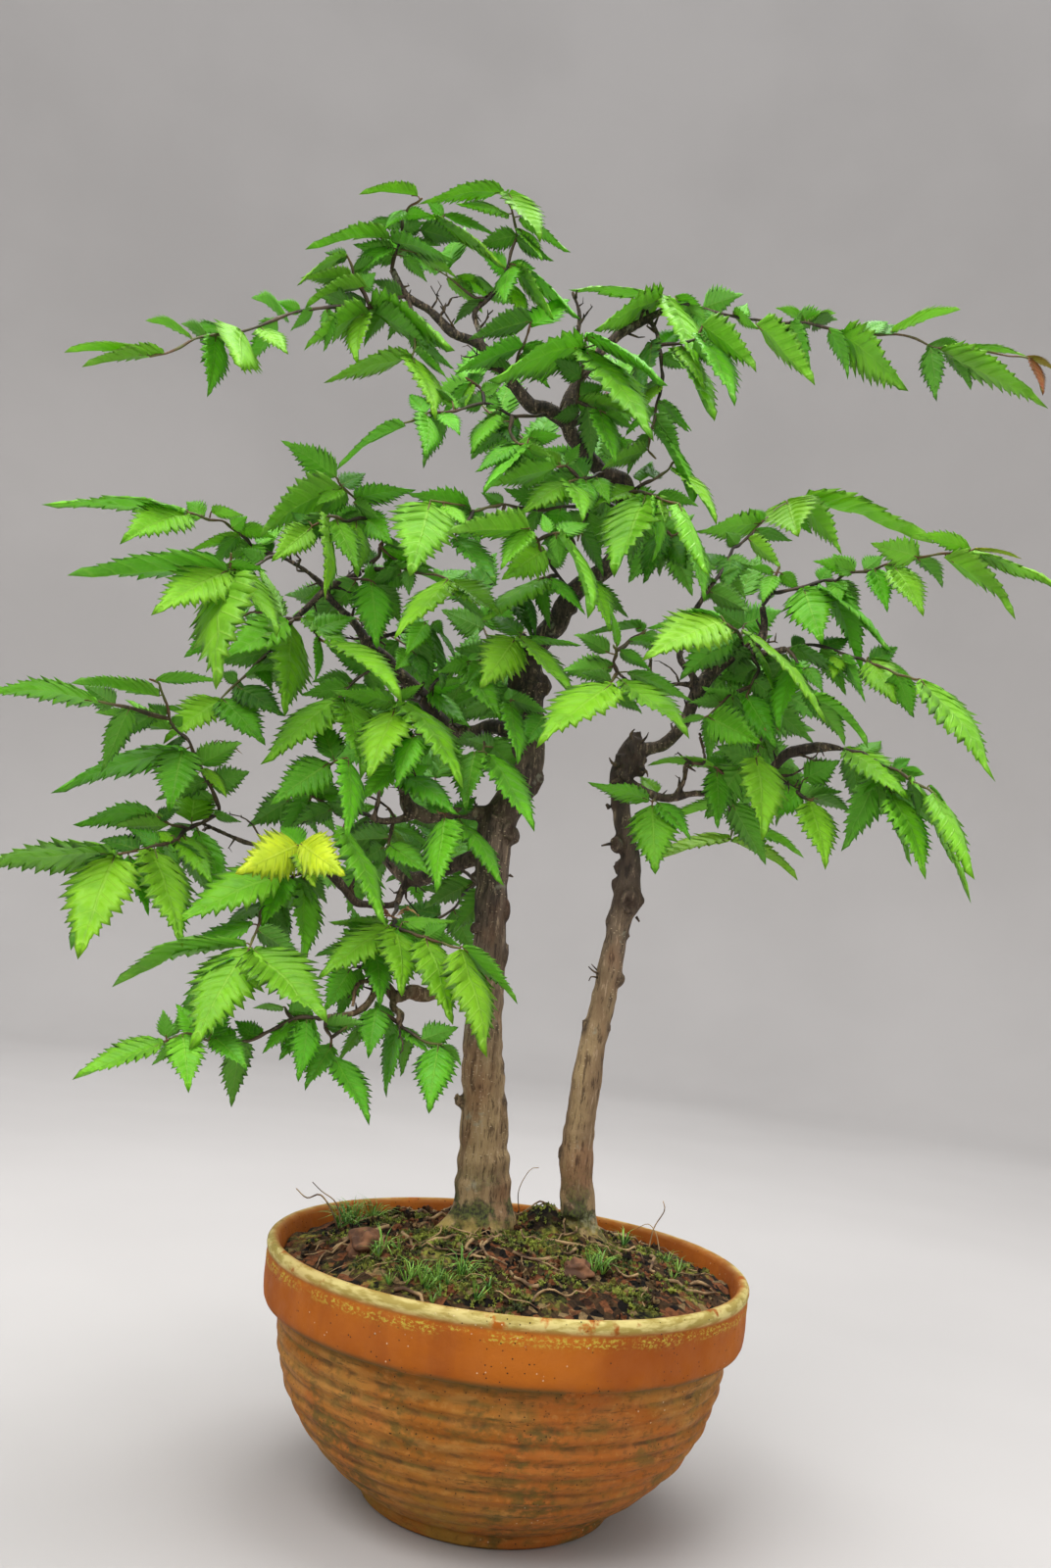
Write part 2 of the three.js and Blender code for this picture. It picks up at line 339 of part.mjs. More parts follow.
    [[-184, 221, -199, 236, 10, 12, 0.8], [-203, 218, -207, 232, -6, 8, 1.2],
      [-204, 215, -248, 192, -18, 11, 2], [-194, 220, -187, 192, -18, 18, 1.6],
      [-176, 221, -157, 206, -14, 13, 0.7], [-149, 226, -166, 226, 4, 5, 1.2],
      [-131, 236, -147, 217, -6, 9, 1], [-126, 236, -126, 205, -12, 15, 1],
      [-140, 242, -156, 240, 6, 4, 1.2], [-137, 240, -126, 240, 4, 4, 1.2],
      [-110, 224, -121, 200, -14, 12, 0.6], [-108, 217, -86, 186, -16, 13, 0.9],
      [-179, 221, -172, 241, 14, 12, 0.7]]],
  ['shoot_lower_fan',
    [[[-84, 306, 12], [-85, 299, -8], [-84, 294, -20], [-74, 291, -22], [-66, 289, -24],
      [-55, 287, -24], [-45, 285, -26]]],
    [[-86, 293, -120, 262, -26, 18, 3.6], [-82, 292, -75, 258, -28, 20, 3.7],
      [-65, 288, -46, 246, -26, 19, 3.6], [-45, 284, -24, 232, -26, 20, 3.2],
      [-44, 286, -12, 260, 4, 8, 1.8], [-66, 290, -46, 286, 8, 8, 1],
      [-87, 296, -118, 292, -6, 6, 2], [-79, 296, -51, 300, 10, 8, 1.7]]],
  ['shoot_branch_three_up',
    [[[-96, 268, -16], [-98, 276, -18], [-94, 281, -20]], [[-96, 268, -16], [-104, 268, -22]]],
    [[-105, 267, -116, 244, -12, 15, 0.7], [-94, 280, -87, 250, -18, 15, 0.7],
      [-99, 277, -124, 272, 8, 10, 0.6], [-97, 281, -108, 300, 14, 11, 0.5]]],
  ['shoot_branch_three_low',
    [[[-75, 240, -22], [-72, 238, -24], [-60, 232, -26], [-51, 231, -28]],
      [[-75, 240, -22], [-82, 244, -24], [-88, 246, -24]]],
    [[-88, 246, -89, 221, -12, 15, 1], [-74, 238, -56, 226, -6, 7, 0.9],
      [-90, 246, -95, 229, 4, 4, 0.7], [-51, 230, -52, 196, -18, 19, 1],
      [-49, 231, -38, 221, 6, 6, 0.7], [-82, 242, -76, 226, 8, 8, 0.7]]],
  ['shoot_branch_two',
    [[[-55, 361, -8], [-57, 360, -16], [-63, 360, -22]]],
    [[-62, 357, -62, 318, -22, 18, 1], [-54, 358, -26, 326, -18, 10, 1],
      [-66, 360, -72, 372, 6, 9, 0.2], [-56, 361, -46, 371, 10, 8, 0.4]]],
  ['shoot_branch_one_up',
    [[[-91, 377, -16], [-90, 390, -20], [-85, 404, -24]]],
    [[-88, 379, -57, 362, -16, 13, 1], [-93, 384, -110, 362, -12, 12, 1],
      [-85, 403, -92, 374, -10, 14, 1], [-90, 391, -74, 398, 10, 9, 0.5],
      [-88, 397, -104, 408, 14, 10, 0.3]]],
  ['shoot_branch_one_left',
    [[[-104, 354, -16], [-112, 355, -14], [-123, 353, -12], [-129, 358, -10], [-137, 361, -8],
      [-143, 363, -8], [-150, 359, -10]],
    [[-143, 363, -8], [-138, 373, -16], [-130, 382, -22], [-122, 386, -26]],
    [[-112, 355, -14], [-117, 350, -20], [-119, 346, -24]]],
    [[-132, 382, -160, 357, -18, 20, 0.9], [-121, 385, -116, 343, -20, 14, 1.2],
      [-151, 359, -172, 342, 6, 16, 0.1], [-147, 359, -133, 340, 8, 6, 0.9],
      [-140, 359, -123, 343, 14, 9, 1.2], [-129, 384, -140, 405, 10, 14, 0.3],
      [-119, 345, -90, 297, -26, 13, 1.8], [-113, 357, -102, 360, 8, 6, 1.2]]],
  ['shoot_branch_one_down',
    [[[-91, 353, -14], [-92, 342, -16], [-93, 336, -18]]],
    [[-92, 339, -68, 325, -10, 12, 1.2], [-94, 344, -104, 352, 10, 6, 1.2],
      [-90, 349, -68, 338, 6, 3.5, 1], [-95, 337, -106, 328, 14, 12, 0.2],
      [-90, 347, -84, 336, 10, 6, 2.6]]],
  ['shoot_branch_four_near',
    [[[-46, 410, 14], [-44, 402, -6], [-44, 398, -14]]],
    [[-49, 397, -50, 365, -16, 17, 0.7], [-41, 396, -13, 358, -20, 15, 1.1],
      [-39, 401, -54, 404, 8, 12, 0.2], [-47, 404, -61, 400, 14, 9, 0]]],
  ['shoot_trunk_front',
    [[[-20, 424, 4], [-24, 429, -12], [-32, 430, -17]], [[-20, 424, 4], [-12, 423, -14]]],
    [[-32, 430, -11, 424, -8, 8, 0.3], [-12, 422, -22, 403, -12, 14, 0.5],
      [-32, 427, -25, 395, -20, 13, 1.2]]],
  ['shoot_trunk_bright',
    [[[-24, 458, 4], [-28, 465, -12], [-32, 467, -20]]],
    [[-33, 466, -49, 437, -24, 24, 3.4], [-31, 467, 1, 438, -22, 9, 2],
      [-27, 467, 3, 466, -8, 3.5, 1], [-30, 469, -50, 478, 12, 9, 0.6]]],
  ['shoot_centre_right',
    [[[28, 452, -22], [25, 458, -24], [26, 465, -26], [24, 468, -28]],
      [[28, 452, -22], [25, 446, -28]], [[26, 465, -26], [34, 473, -18], [42, 479, -14]]],
    [[25, 445, -11, 407, -30, 22, 2.7], [22, 454, -2, 450, -8, 13, 1.4],
      [22, 463, 2, 471, -6, 9, 0.7], [26, 467, 20, 490, -8, 4, 1.9],
      [28, 465, 46, 455, 6, 7, 0.9], [40, 480, 8, 472, -12, 4, 0.9],
      [30, 448, 69, 420, -22, 13, 2.8], [34, 453, 70, 441, 4, 8, 1.3],
      [26, 440, 43, 430, -4, 8, 0.4], [41, 477, 53, 466, 8, 10, 0.6]]],
  ['shoot_yellow_right',
    [[[98, 472, 6], [97, 480, -12], [92, 485, -24], [87, 488, -32]],
      [[98, 472, 6], [104, 480, 0]]],
    [[86, 488, 45, 463, -26, 24, 3.9], [84, 492, 45, 481, 12, 10, 1],
      [99, 484, 147, 438, -34, 5, 3.6], [103, 479, 118, 452, -12, 4, 1.9],
      [95, 476, 98, 454, 14, 14, 0], [90, 480, 66, 453, 22, 18, 0.7],
      [93, 479, 84, 450, 30, 15, 0.2]]],
  ['shoot_upper_right',
    [[[74, 503, -2], [79, 512, 2], [84, 522, 6], [88, 533, 10], [93, 537, 12], [100, 546, 16],
      [108, 555, 20], [118, 564, 22], [127, 569, 24]]],
    [[128, 569, 198, 549, -8, 7, 3], [117, 565, 125, 545, -30, 28, 2.6],
      [126, 566, 150, 538, -10, 12, 3], [96, 540, 115, 524, -8, 9, 2.8],
      [103, 550, 68, 542, -14, 12, 1.9], [87, 527, 87, 509, -8, 14, 0.2],
      [82, 514, 99, 519, 8, 6, 1], [80, 511, 66, 514, -6, 3, 0.2], [83, 517, 97, 504, 6, 9, 1.2],
      [78, 509, 72, 498, 8, 7, 0.2]]],
  ['shoot_right',
    [[[108, 500, 8], [113, 508, 4], [122, 511, 0], [133, 515, -4], [142, 519, -8],
      [150, 520, -12], [160, 526, -18], [175, 531, -24], [182, 533, -28], [195, 538, -34],
      [205, 541, -40], [214, 543, -44], [226, 545, -48]],
    [[113, 508, 4], [114, 517, -2], [116, 525, -4]]],
    [[183, 531, 200, 506, -16, 14, 3], [196, 539, 170, 544, -10, 15, 2.2],
      [226, 546, 196, 552, 10, 9, 2.6], [212, 541, 252, 511, -16, 10, 3],
      [227, 545, 276, 531, -8, 6, 3], [228, 547, 254, 544, 6, 2.5, 5],
      [160, 527, 137, 530, 8, 9, 1.8], [149, 519, 153, 507, -6, 11, 1.4],
      [113, 519, 108, 503, -8, 10, 1.5], [117, 521, 128, 512, 8, 8, 1.4],
      [113, 521, 99, 522, 8, 5, 1.2], [131, 513, 143, 484, -18, 24, 1.2],
      [139, 516, 182, 483, -14, 2.5, 1], [144, 519, 166, 471, 10, 13, 1]]],
  ['shoot_right_middle',
    [[[124, 476, 0], [137, 480, -4], [155, 477, -8], [163, 475, -12], [171, 473, -16],
      [183, 470, -22], [195, 467, -28], [201, 466, -32]],
    [[124, 476, 0], [130, 470, -8], [136, 462, -14], [140, 450, -18]]],
    [[172, 475, 188, 452, -18, 17, 2.7], [202, 466, 245, 416, -22, 15, 2.9],
      [171, 476, 196, 466, 8, 5, 1.8], [154, 476, 152, 462, -6, 10, 2.9],
      [129, 478, 161, 461, -12, 6, 0.6], [136, 466, 146, 453, -6, 8, 0.4],
      [130, 468, 125, 430, -10, 14, 1], [124, 473, 114, 450, 14, 16, 0],
      [139, 454, 143, 438, -6, 9, 0.3], [141, 450, 172, 425, -12, 4, 1.4],
      [140, 448, 160, 425, 6, 12, 1.5], [154, 474, 185, 455, 12, 3, 2.2]]],
  ['shoot_right_inner',
    [[[103, 473, 8], [109, 463, 0], [105, 452, -3], [101, 440, -5]],
      [[105, 452, -3], [94, 446, -8], [82, 432, -12]]],
    [[99, 441, 79, 448, -8, 11, 1], [103, 446, 121, 420, -14, 17, 0.8],
      [83, 431, 112, 420, -20, 19, 1.1], [80, 431, 66, 425, 6, 4, 1],
      [108, 462, 88, 455, 12, 14, 0.3]]],
  ['shoot_right_low',
    [[[160, 421, -4], [172, 420, -8], [180, 416, -12], [192, 412, -16], [200, 407, -20],
      [210, 403, -24], [213, 401, -26]],
    [[180, 416, -12], [184, 408, -14], [190, 398, -16]]],
    [[162, 422, 197, 397, -24, 14, 2], [195, 413, 207, 411, 6, 4, 1.3],
      [214, 401, 238, 358, -22, 12, 2.7], [211, 405, 223, 381, 4, 4, 1],
      [165, 418, 175, 385, 12, 14, 0.3], [190, 396, 211, 355, -20, 15, 2.1],
      [188, 401, 220, 381, 8, 10, 1], [182, 408, 165, 366, 4, 17, 0.8],
      [187, 401, 203, 361, 12, 3, 1.4], [200, 409, 236, 346, 12, 3, 1.8]]],
  ['shoot_right_lower',
    [[[137, 393, -2], [142, 390, -6], [146, 389, -8]], [[137, 393, -2], [139, 400, 4]]],
    [[144, 388, 155, 354, -20, 17, 2.4], [138, 394, 122, 378, -8, 14, 1],
      [140, 401, 158, 413, -10, 15, 0.9], [146, 391, 167, 385, 10, 8, 0.4],
      [136, 396, 127, 374, 12, 8, 0.2]]],
  ['shoot_right_front',
    [[[105, 394, 8], [107, 404, -4], [112, 412, -14]],
      [[105, 394, 8], [97, 398, 0], [90, 402, -4]],
      [[105, 394, 8], [99, 380, 18], [101, 369, 28], [101, 363, 34]]],
    [[112, 411, 118, 367, -20, 20, 2.6], [104, 406, 88, 375, 2, 20, 0.6],
      [90, 400, 93, 370, -8, 14, 0.9], [103, 409, 119, 404, 12, 13, 0.9],
      [88, 403, 53, 400, 8, 5, 2.4], [101, 363, 62, 348, -12, 8, 2.8],
      [102, 362, 138, 345, -10, 6, 2.6], [103, 370, 140, 357, 4, 6, 2.2],
      [97, 383, 66, 370, 12, 5, 2], [100, 396, 84, 410, 14, 12, 0.7]]],
  ['shoot_second_low',
    [[[56, 383, 3], [56, 381, -6], [55, 379, -12]]],
    [[53, 380, 20, 386, -12, 10, 1], [55, 377, 60, 341, -18, 23, 1.9],
      [58, 379, 77, 361, -12, 10, 0.9], [57, 384, 47, 392, 12, 7, 2.2]]],
];

// Shoots on the side away from the viewer, which the front view hides or leaves dark.
const BACK_SHOOTS = [
  ['shoot_back_low_left',
    [[[-31, 318, 6], [-40, 322, 16], [-54, 330, 28], [-74, 334, 38], [-96, 330, 46],
      [-114, 322, 54]],
    [[-54, 330, 28], [-58, 346, 34], [-66, 362, 42], [-70, 380, 50]],
    [[-40, 322, 16], [-50, 308, 26], [-64, 298, 36]]],
    [[-42, 322, -66, 306, 14, 14, 0.6], [-56, 331, -46, 352, 18, 15, 0.7],
      [-75, 334, -92, 356, 14, 16, 0.4], [-80, 333, -70, 308, 16, 15, 0.8],
      [-97, 330, -122, 346, 20, 16, 0.5], [-104, 327, -110, 300, 12, 15, 0.8],
      [-114, 321, -142, 306, 22, 17, 0.9], [-58, 347, -38, 362, 14, 15, 0.5],
      [-66, 363, -92, 374, 16, 16, 0.4], [-70, 380, -58, 408, 12, 16, 0.6],
      [-70, 380, -96, 396, 14, 16, 0.5], [-51, 306, -38, 284, 14, 15, 0.5],
      [-64, 298, -88, 290, 16, 16, 0.5], [-64, 298, -66, 270, 14, 15, 0.7]]],
  ['shoot_back_left',
    [[[-20, 420, 12], [-36, 430, 20], [-60, 440, 30], [-86, 450, 40], [-110, 462, 48],
      [-134, 470, 56]],
    [[-60, 440, 30], [-72, 424, 38], [-90, 410, 46], [-106, 396, 52]],
    [[-36, 430, 20], [-42, 450, 30], [-52, 470, 40], [-60, 488, 50]]],
    [[-38, 431, -26, 456, 22, 15, 0.5], [-60, 440, -70, 414, 14, 16, 0.6],
      [-62, 441, -56, 468, 18, 16, 0.4], [-87, 451, -98, 478, 16, 17, 0.4],
      [-92, 453, -84, 428, 20, 16, 0.6], [-111, 462, -124, 440, 14, 17, 0.5],
      [-116, 464, -110, 492, 20, 16, 0.6], [-134, 471, -162, 466, 22, 16, 0.7],
      [-72, 424, -54, 404, 14, 16, 0.5], [-74, 422, -98, 430, 14, 15, 0.4],
      [-90, 410, -112, 414, 14, 16, 0.5], [-106, 396, -130, 384, 16, 16, 0.6],
      [-106, 396, -100, 368, 12, 16, 0.5], [-42, 450, -20, 462, 14, 15, 0.5],
      [-52, 470, -76, 478, 14, 16, 0.4], [-54, 473, -32, 490, 12, 16, 0.6],
      [-60, 488, -84, 502, 14, 16, 0.5], [-60, 488, -50, 514, 12, 15, 0.6]]],
  ['shoot_back_right',
    [[[84, 460, 8], [88, 456, 16], [98, 452, 26], [112, 452, 38], [128, 448, 48]],
    [[98, 452, 26], [94, 470, 36], [98, 488, 44], [94, 504, 52]],
    [[112, 452, 38], [118, 434, 44], [112, 416, 50], [122, 402, 56]]],
    [[90, 455, 72, 436, 18, 16, 0.3], [92, 455, 108, 474, 16, 16, 0.4],
      [98, 452, 92, 426, 18, 16, 0.5], [112, 452, 132, 470, 16, 16, 0.5],
      [114, 452, 116, 424, 14, 17, 0.5], [128, 448, 152, 436, 20, 16, 0.7],
      [127, 449, 134, 476, 20, 15, 0.6], [94, 470, 72, 480, 14, 16, 0.5],
      [98, 488, 118, 498, 14, 16, 0.5], [98, 490, 80, 506, 14, 16, 0.6],
      [94, 504, 104, 530, 12, 16, 0.7], [118, 434, 142, 430, 16, 16, 0.5],
      [112, 416, 88, 410, 14, 16, 0.5], [113, 418, 136, 406, 14, 16, 0.5],
      [122, 402, 104, 382, 12, 15, 0.6], [122, 402, 148, 390, 14, 16, 0.6]]],
  ['shoot_back_top',
    [[[21, 550, 12], [8, 556, 20], [-10, 566, 30], [-32, 580, 38], [-56, 596, 46],
      [-76, 616, 54]],
    [[-10, 566, 30], [-2, 586, 38], [6, 606, 46], [4, 626, 52]],
    [[8, 556, 20], [24, 546, 30], [40, 534, 40], [54, 530, 50]]],
    [[6, 556, 26, 540, 18, 15, 0.7], [-10, 566, -26, 544, 16, 16, 0.5],
      [-12, 567, 4, 592, 16, 16, 0.6], [-32, 580, -54, 566, 16, 16, 0.4],
      [-34, 581, -26, 608, 18, 16, 0.8], [-56, 596, -70, 574, 14, 16, 0.7],
      [-58, 598, -50, 628, 18, 16, 0.9], [-76, 616, -100, 606, 18, 16, 1],
      [-76, 617, -72, 646, 18, 16, 0.8], [-2, 586, 22, 592, 14, 16, 0.6],
      [6, 606, -16, 618, 14, 16, 0.7], [6, 608, 30, 618, 14, 16, 0.8],
      [4, 626, -8, 652, 12, 16, 0.9], [4, 626, 24, 646, 12, 16, 0.9],
      [24, 546, 8, 526, 14, 16, 0.5], [40, 534, 62, 550, 14, 16, 0.6],
      [41, 533, 30, 508, 12, 16, 0.6], [54, 530, 78, 520, 14, 16, 0.6],
      [54, 530, 66, 504, 12, 15, 0.6]]],
];

// Knots and cut stubs on the trunks: x, z, radius, y.
const MAIN_KNOTS = [
  [-20, 353, 6, -3], [-40, 352, 8, -2], [-19, 303, 4.5, 0], [-20, 283, 5, -2], [-38, 296, 4, 2],
  [-36, 201, 5, 0], [-10, 203, 5.5, -2], [-12, 222, 4, 3], [-16, 383, 7, -2], [-30, 440, 6, 6],
  [-14, 440, 5, 4], [-29, 463, 4.5, 6], [-3, 487, 4, 8], [14, 569, 6, 7],
];
const SECOND_KNOTS = [
  [35, 333, 5, 8], [48, 337, 4.5, 8], [37, 360, 5, 9], [44, 316, 5.5, 9], [33, 388, 4.5, 8],
  [46, 405, 6, 10], [38, 413, 4, 9], [38, 262, 4, 12], [76, 447, 5.4, 0],
];

// Surface roots: the bearing in degrees, how far they reach and their radius at the trunk.
const MAIN_ROOTS = [[200, 50, 9], [245, 42, 7], [290, 44, 8], [150, 44, 8], [95, 48, 7.5]];
const SECOND_ROOTS = [[-20, 38, 6], [-75, 34, 5], [40, 40, 6]];

// What lies on the soil: the bearing in degrees, the distance from the axis, and the size.
const MOSS = [['moss_left', 232, 40, [26, 18, 7]], ['moss_middle', 292, 26, [15, 20, 7]]];
const GRASS = [['grass_tuft_left', 236, 88, 20], ['grass_tuft_middle', 262, 72, 13],
  ['grass_tuft_right', 318, 84, 17]];
const STONES = [['stone_left', 214, 84, [9, 6, 6]], ['stone_right', 300, 66, [7, 5, 5]]];

const LATHE_SEGMENTS = 36;
const colours = {
  terracotta: [0xb8622f, 0.9], soil: [0x3a2c20, 0.98], bark: [0x5a4838, 0.92],
  moss: [0x3f5a24, 0.95], grass: [0x7fa83a, 0.8], stone: [0x7a5a44, 0.85],
  leaf: [0x5a9c2e, 0.6], mesh: [0x2a2a2a, 0.6],
};

function material(name) {
  const [color, roughness] = colours[name];
  return new THREE.MeshStandardMaterial({ color, roughness, metalness: 0 });
}

// Turns a closed geometry into a solid that can be joined and cut.
function solid(geometry) {
  geometry.deleteAttribute('normal');
  if (geometry.getAttribute('uv')) geometry.deleteAttribute('uv');
  const merged = mergeVertices(geometry, MERGE_DISTANCE);
  const mesh = new wasm.Mesh({
    numProp: 3,
    vertProperties: new Float32Array(merged.getAttribute('position').array),
    triVerts: new Uint32Array(merged.getIndex().array),
  });
  return new wasm.Manifold(mesh);
}

function join(solids) {
  return solids.reduce((whole, next) => whole.add(next));
}

function reaches(shape, other) {
  const [a, b] = [shape.boundingBox(), other.boundingBox()];
  return a.min.every((_, k) => a.min[k] <= b.max[k] && b.min[k] <= a.max[k]);
}

// Cuts a solid by each clearance that reaches it.
function clear(shape, clearances) {
  return clearances.filter((other) => reaches(shape, other))
    .reduce((rest, other) => rest.subtract(other), shape);
}

// A cut can leave loose crumbs behind, so only the largest piece is kept.
function largestPiece(shape) {
  const pieces = shape.decompose();
  return pieces.reduce((best, next) => (next.volume() > best.volume() ? next : best));
}

function meshOf(name, shape, finish) {
  const { vertProperties, triVerts } = shape.getMesh();
  const geometry = new THREE.BufferGeometry();
  geometry.setAttribute('position', new THREE.BufferAttribute(vertProperties, 3));
  geometry.setIndex(new THREE.BufferAttribute(triVerts, 1));
  geometry.computeVertexNormals();
  const mesh = new THREE.Mesh(geometry, material(finish));
  mesh.name = name;
  return mesh;
}

// The real place of a point that is seen at x, z on the plane of the trunks, at depth y.
function place(x, z, y) {
  const scale = (y - VIEWPOINT.y) / -VIEWPOINT.y;
  return new THREE.Vector3(x, 0, z).sub(VIEWPOINT).multiplyScalar(scale).add(VIEWPOINT);
}

// The tables give depths near the trunks as they are, and draw in what lies further out.
function drawnOut(y) {
  const beyond = Math.max(0, Math.abs(y) - CORE_DEPTH);
  return Math.sign(y) * (Math.min(Math.abs(y), CORE_DEPTH) + beyond * DEPTH_STRETCH);
}

function scaleAt(y) {
  return (y - VIEWPOINT.y) / -VIEWPOINT.y;
}

// A closed tapered tube with flat ends and a ring of corners at each point.
function taperedTube(points, radii, sides) {
  const curve = new THREE.CatmullRomCurve3(points, false, 'centripetal');
  const steps = points.length - 1;
  const positions = [];
  const index = [];
  const spoke = new THREE.Vector3(0.3, -1, 0.1);
  points.forEach((centre, k) => {
    const along = curve.getTangent(k / steps);
    spoke.addScaledVector(along, -spoke.dot(along)).normalize();
    for (let s = 0; s < sides; s += 1) {
      const corner = spoke.clone().applyAxisAngle(along, (s / sides) * 2 * Math.PI)
        .multiplyScalar(radii[k]).add(centre);
      positions.push(...corner.toArray());
      if (k === 0) continue;
      const next = (s + 1) % sides;
      const below = (k - 1) * sides;
      const above = k * sides;
      index.push(below + s, below + next, above + next, below + s, above + next, above + s);
    }
  });
  const last = steps * sides;
  for (let s = 1; s < sides - 1; s += 1) {
    index.push(0, s + 1, s, last, last + s, last + s + 1);
  }
  const geometry = new THREE.BufferGeometry();
  geometry.setAttribute('position', new THREE.Float32BufferAttribute(positions, 3));
  geometry.setIndex(index);
  return solid(geometry);
}

// Lengthens a row of points at both ends, so that a clearance solid also covers its ends.
function lengthen(points, amount) {
  if (amount === 0) return points;
  const n = points.length;
  const head = points[0].clone().sub(points[1]).setLength(amount).add(points[0]);
  const tail = points[n - 1].clone().sub(points[n - 2]).setLength(amount).add(points[n - 1]);
  return [head, ...points.slice(1, -1), tail];
}

function limb(rows, grow, sides) {
  const points = lengthen(rows.map(([x, z, , y]) => place(x, z, drawnOut(y))), grow);
  return taperedTube(points, rows.map(([, , r, y]) => r * scaleAt(drawnOut(y)) + grow), sides);
}

function ball(centre, radii, grow, widthSegments = 8, heightSegments = 6) {
  const geometry = new THREE.SphereGeometry(1, widthSegments, heightSegments);
  geometry.scale(radii[0] + grow, radii[1] + grow, radii[2] + grow);
  geometry.translate(centre.x, centre.y, centre.z);
  return solid(geometry);
}

// A root leaves the trunk's base, dips and runs out under the soil.
function root(foot, [bearing, reach, radius], grow) {
  const angle = THREE.MathUtils.degToRad(bearing);
  const out = (distance, z) => new THREE.Vector3(
    foot.x + Math.cos(angle) * distance, foot.y + Math.sin(angle) * distance, z);
  const points = [out(0, foot.z + 14), out(reach * 0.35, foot.z + 4), out(reach * 0.7, foot.z - 5),
    out(reach, foot.z - 14)];
  const radii = [radius, radius * 0.85, radius * 0.6, radius * 0.35];
  return taperedTube(lengthen(points, grow), radii.map((r) => r + grow), 5);
}

function wood(limbs, knots, roots, grow) {
  const [firstLimb, ...branches] = limbs;
  const foot = place(firstLimb[1][1][0], firstLimb[1][1][1], firstLimb[1][1][3]);
  return join([
    limb(firstLimb[1], grow, 7),
    ...branches.map(([, rows]) => limb(rows, grow, rows[0][2] > THIN_LIMB ? 5 : 4)),
    ...knots.map(([x, z, r, y]) => ball(place(x, z, y), [r, r, r * 1.2], grow, 5, 4)),
    ...roots.map((row) => root(foot, row, grow)),
  ]);
}

function stems(rows, grow) {
  return join(rows.map((row) => {
    const points = row.map(([x, z, y]) => place(x, z, y));
    const n = row.length - 1;
    const radii = row.map((_, i) => STEM_RADIUS - STEM_TAPER * (i / n) + grow);
    return taperedTube(lengthen(points, grow), radii, 3);
  }));
}

// The point of the stems nearest to x, z as seen, kept a little in from the stems' ends.
function nearestOnStems(stemRows, x, z) {
  let best = null;
  for (const row of stemRows) {
    for (let i = 1; i < row.length; i += 1) {
      const [x0, z0, y0] = row[i - 1];
      const [x1, z1, y1] = row[i];
      const run = Math.hypot(x1 - x0, z1 - z0);
      const along = ((x - x0) * (x1 - x0) + (z - z0) * (z1 - z0)) / run ** 2;
      const inset = Math.min(0.3, END_INSET / run);
      const t = THREE.MathUtils.clamp(along, i === 1 ? inset : 0, i === row.length - 1 ? 1 - inset : 1);
      const near = [x0 + (x1 - x0) * t, z0 + (z1 - z0) * t, y0 + (y1 - y0) * t];
      const distance = Math.hypot(near[0] - x, near[1] - z);
      if (!best || distance < best.distance) best = { near, distance };
    }
  }
  return best.near;
}

// Where a leaf's blade lies: its base, its tip, and which way its width runs.
// The blade turns about its own axis until the width that shows is the one in its row.
function bladeFrame(stemRows, [bx, bz, tx, tz, dy, shown]) {
  const [nx, nz, depth] = nearestOnStems(stemRows, bx, bz);
  const base = place(bx, bz, depth);
  const tip = place(tx, tz, depth + dy);
  const axis = tip.clone().sub(base);
  const length = axis.length();
  axis.normalize();
  const toViewer = VIEWPOINT.clone().sub(base).normalize();
  const across = new THREE.Vector3().crossVectors(axis, toViewer).normalize();
  const inward = new THREE.Vector3().crossVectors(axis, across).normalize();
  const seen = shown * scaleAt(depth);
  const width = Math.max(length * LEAF_WIDTH_RATIO, Math.min(seen, length * LEAF_WIDEST_RATIO));
  const turn = Math.acos(Math.min(1, seen / width));
  const options = [turn, -turn].map((angle) => {
    const side = across.clone().multiplyScalar(Math.cos(angle))
      .addScaledVector(inward, Math.sin(angle));
    const normal = new THREE.Vector3().crossVectors(axis, side);
    return { side, normal, level: Math.abs(normal.z) };
  });
  const { side, normal } = options[0].level >= options[1].level ? options[0] : options[1];
  return { base, axis, side, normal, length, width, node: place(nx, nz, depth) };
}

// A leaf is a thin kite, thickest where it is widest. It starts as a point inside its stem.
function leaf(stemRows, row, grow) {
  const { base, axis, side, normal, length, width, node } = bladeFrame(stemRows, row);
  const at = (along, across, up) => base.clone().addScaledVector(axis, along)
    .addScaledVector(side, across).addScaledVector(normal, up);
  const widest = length * BLADE_WIDEST_AT;
  const half = width / 2 + grow;
  const thick = BLADE_THICKNESS / 2 + grow;
  const corners = [node, at(widest, -half, 0), at(length + 3 * grow, 0, 0), at(widest, half, 0),
    at(widest, 0, thick), at(widest, 0, -thick)];
  const geometry = new THREE.BufferGeometry();
  geometry.setAttribute('position',
    new THREE.Float32BufferAttribute(corners.flatMap((corner) => corner.toArray()), 3));
  geometry.setIndex([0, 1, 4, 1, 2, 4, 2, 3, 4, 3, 0, 4, 1, 0, 5, 2, 1, 5, 3, 2, 5, 0, 3, 5]);
  return solid(geometry);
}

// A round solid whose profile is given as radius and height pairs from the axis to the axis.
function turned(profile) {
  return solid(new THREE.LatheGeometry(profile.map(([r, z]) => new THREE.Vector2(r, z)),
    LATHE_SEGMENTS).rotateX(Math.PI / 2));
}

// The pot's wall from the foot to the band, as radius and height pairs.
const BODY_OUTLINE = [[FOOT_RADIUS, 0], [FOOT_RADIUS + 1, 4], [76, 10], [90, 22], [103.5, 37],
  [113.5, 55], [119, 73], [121.5, POT_HEIGHT - BAND_HEIGHT]];

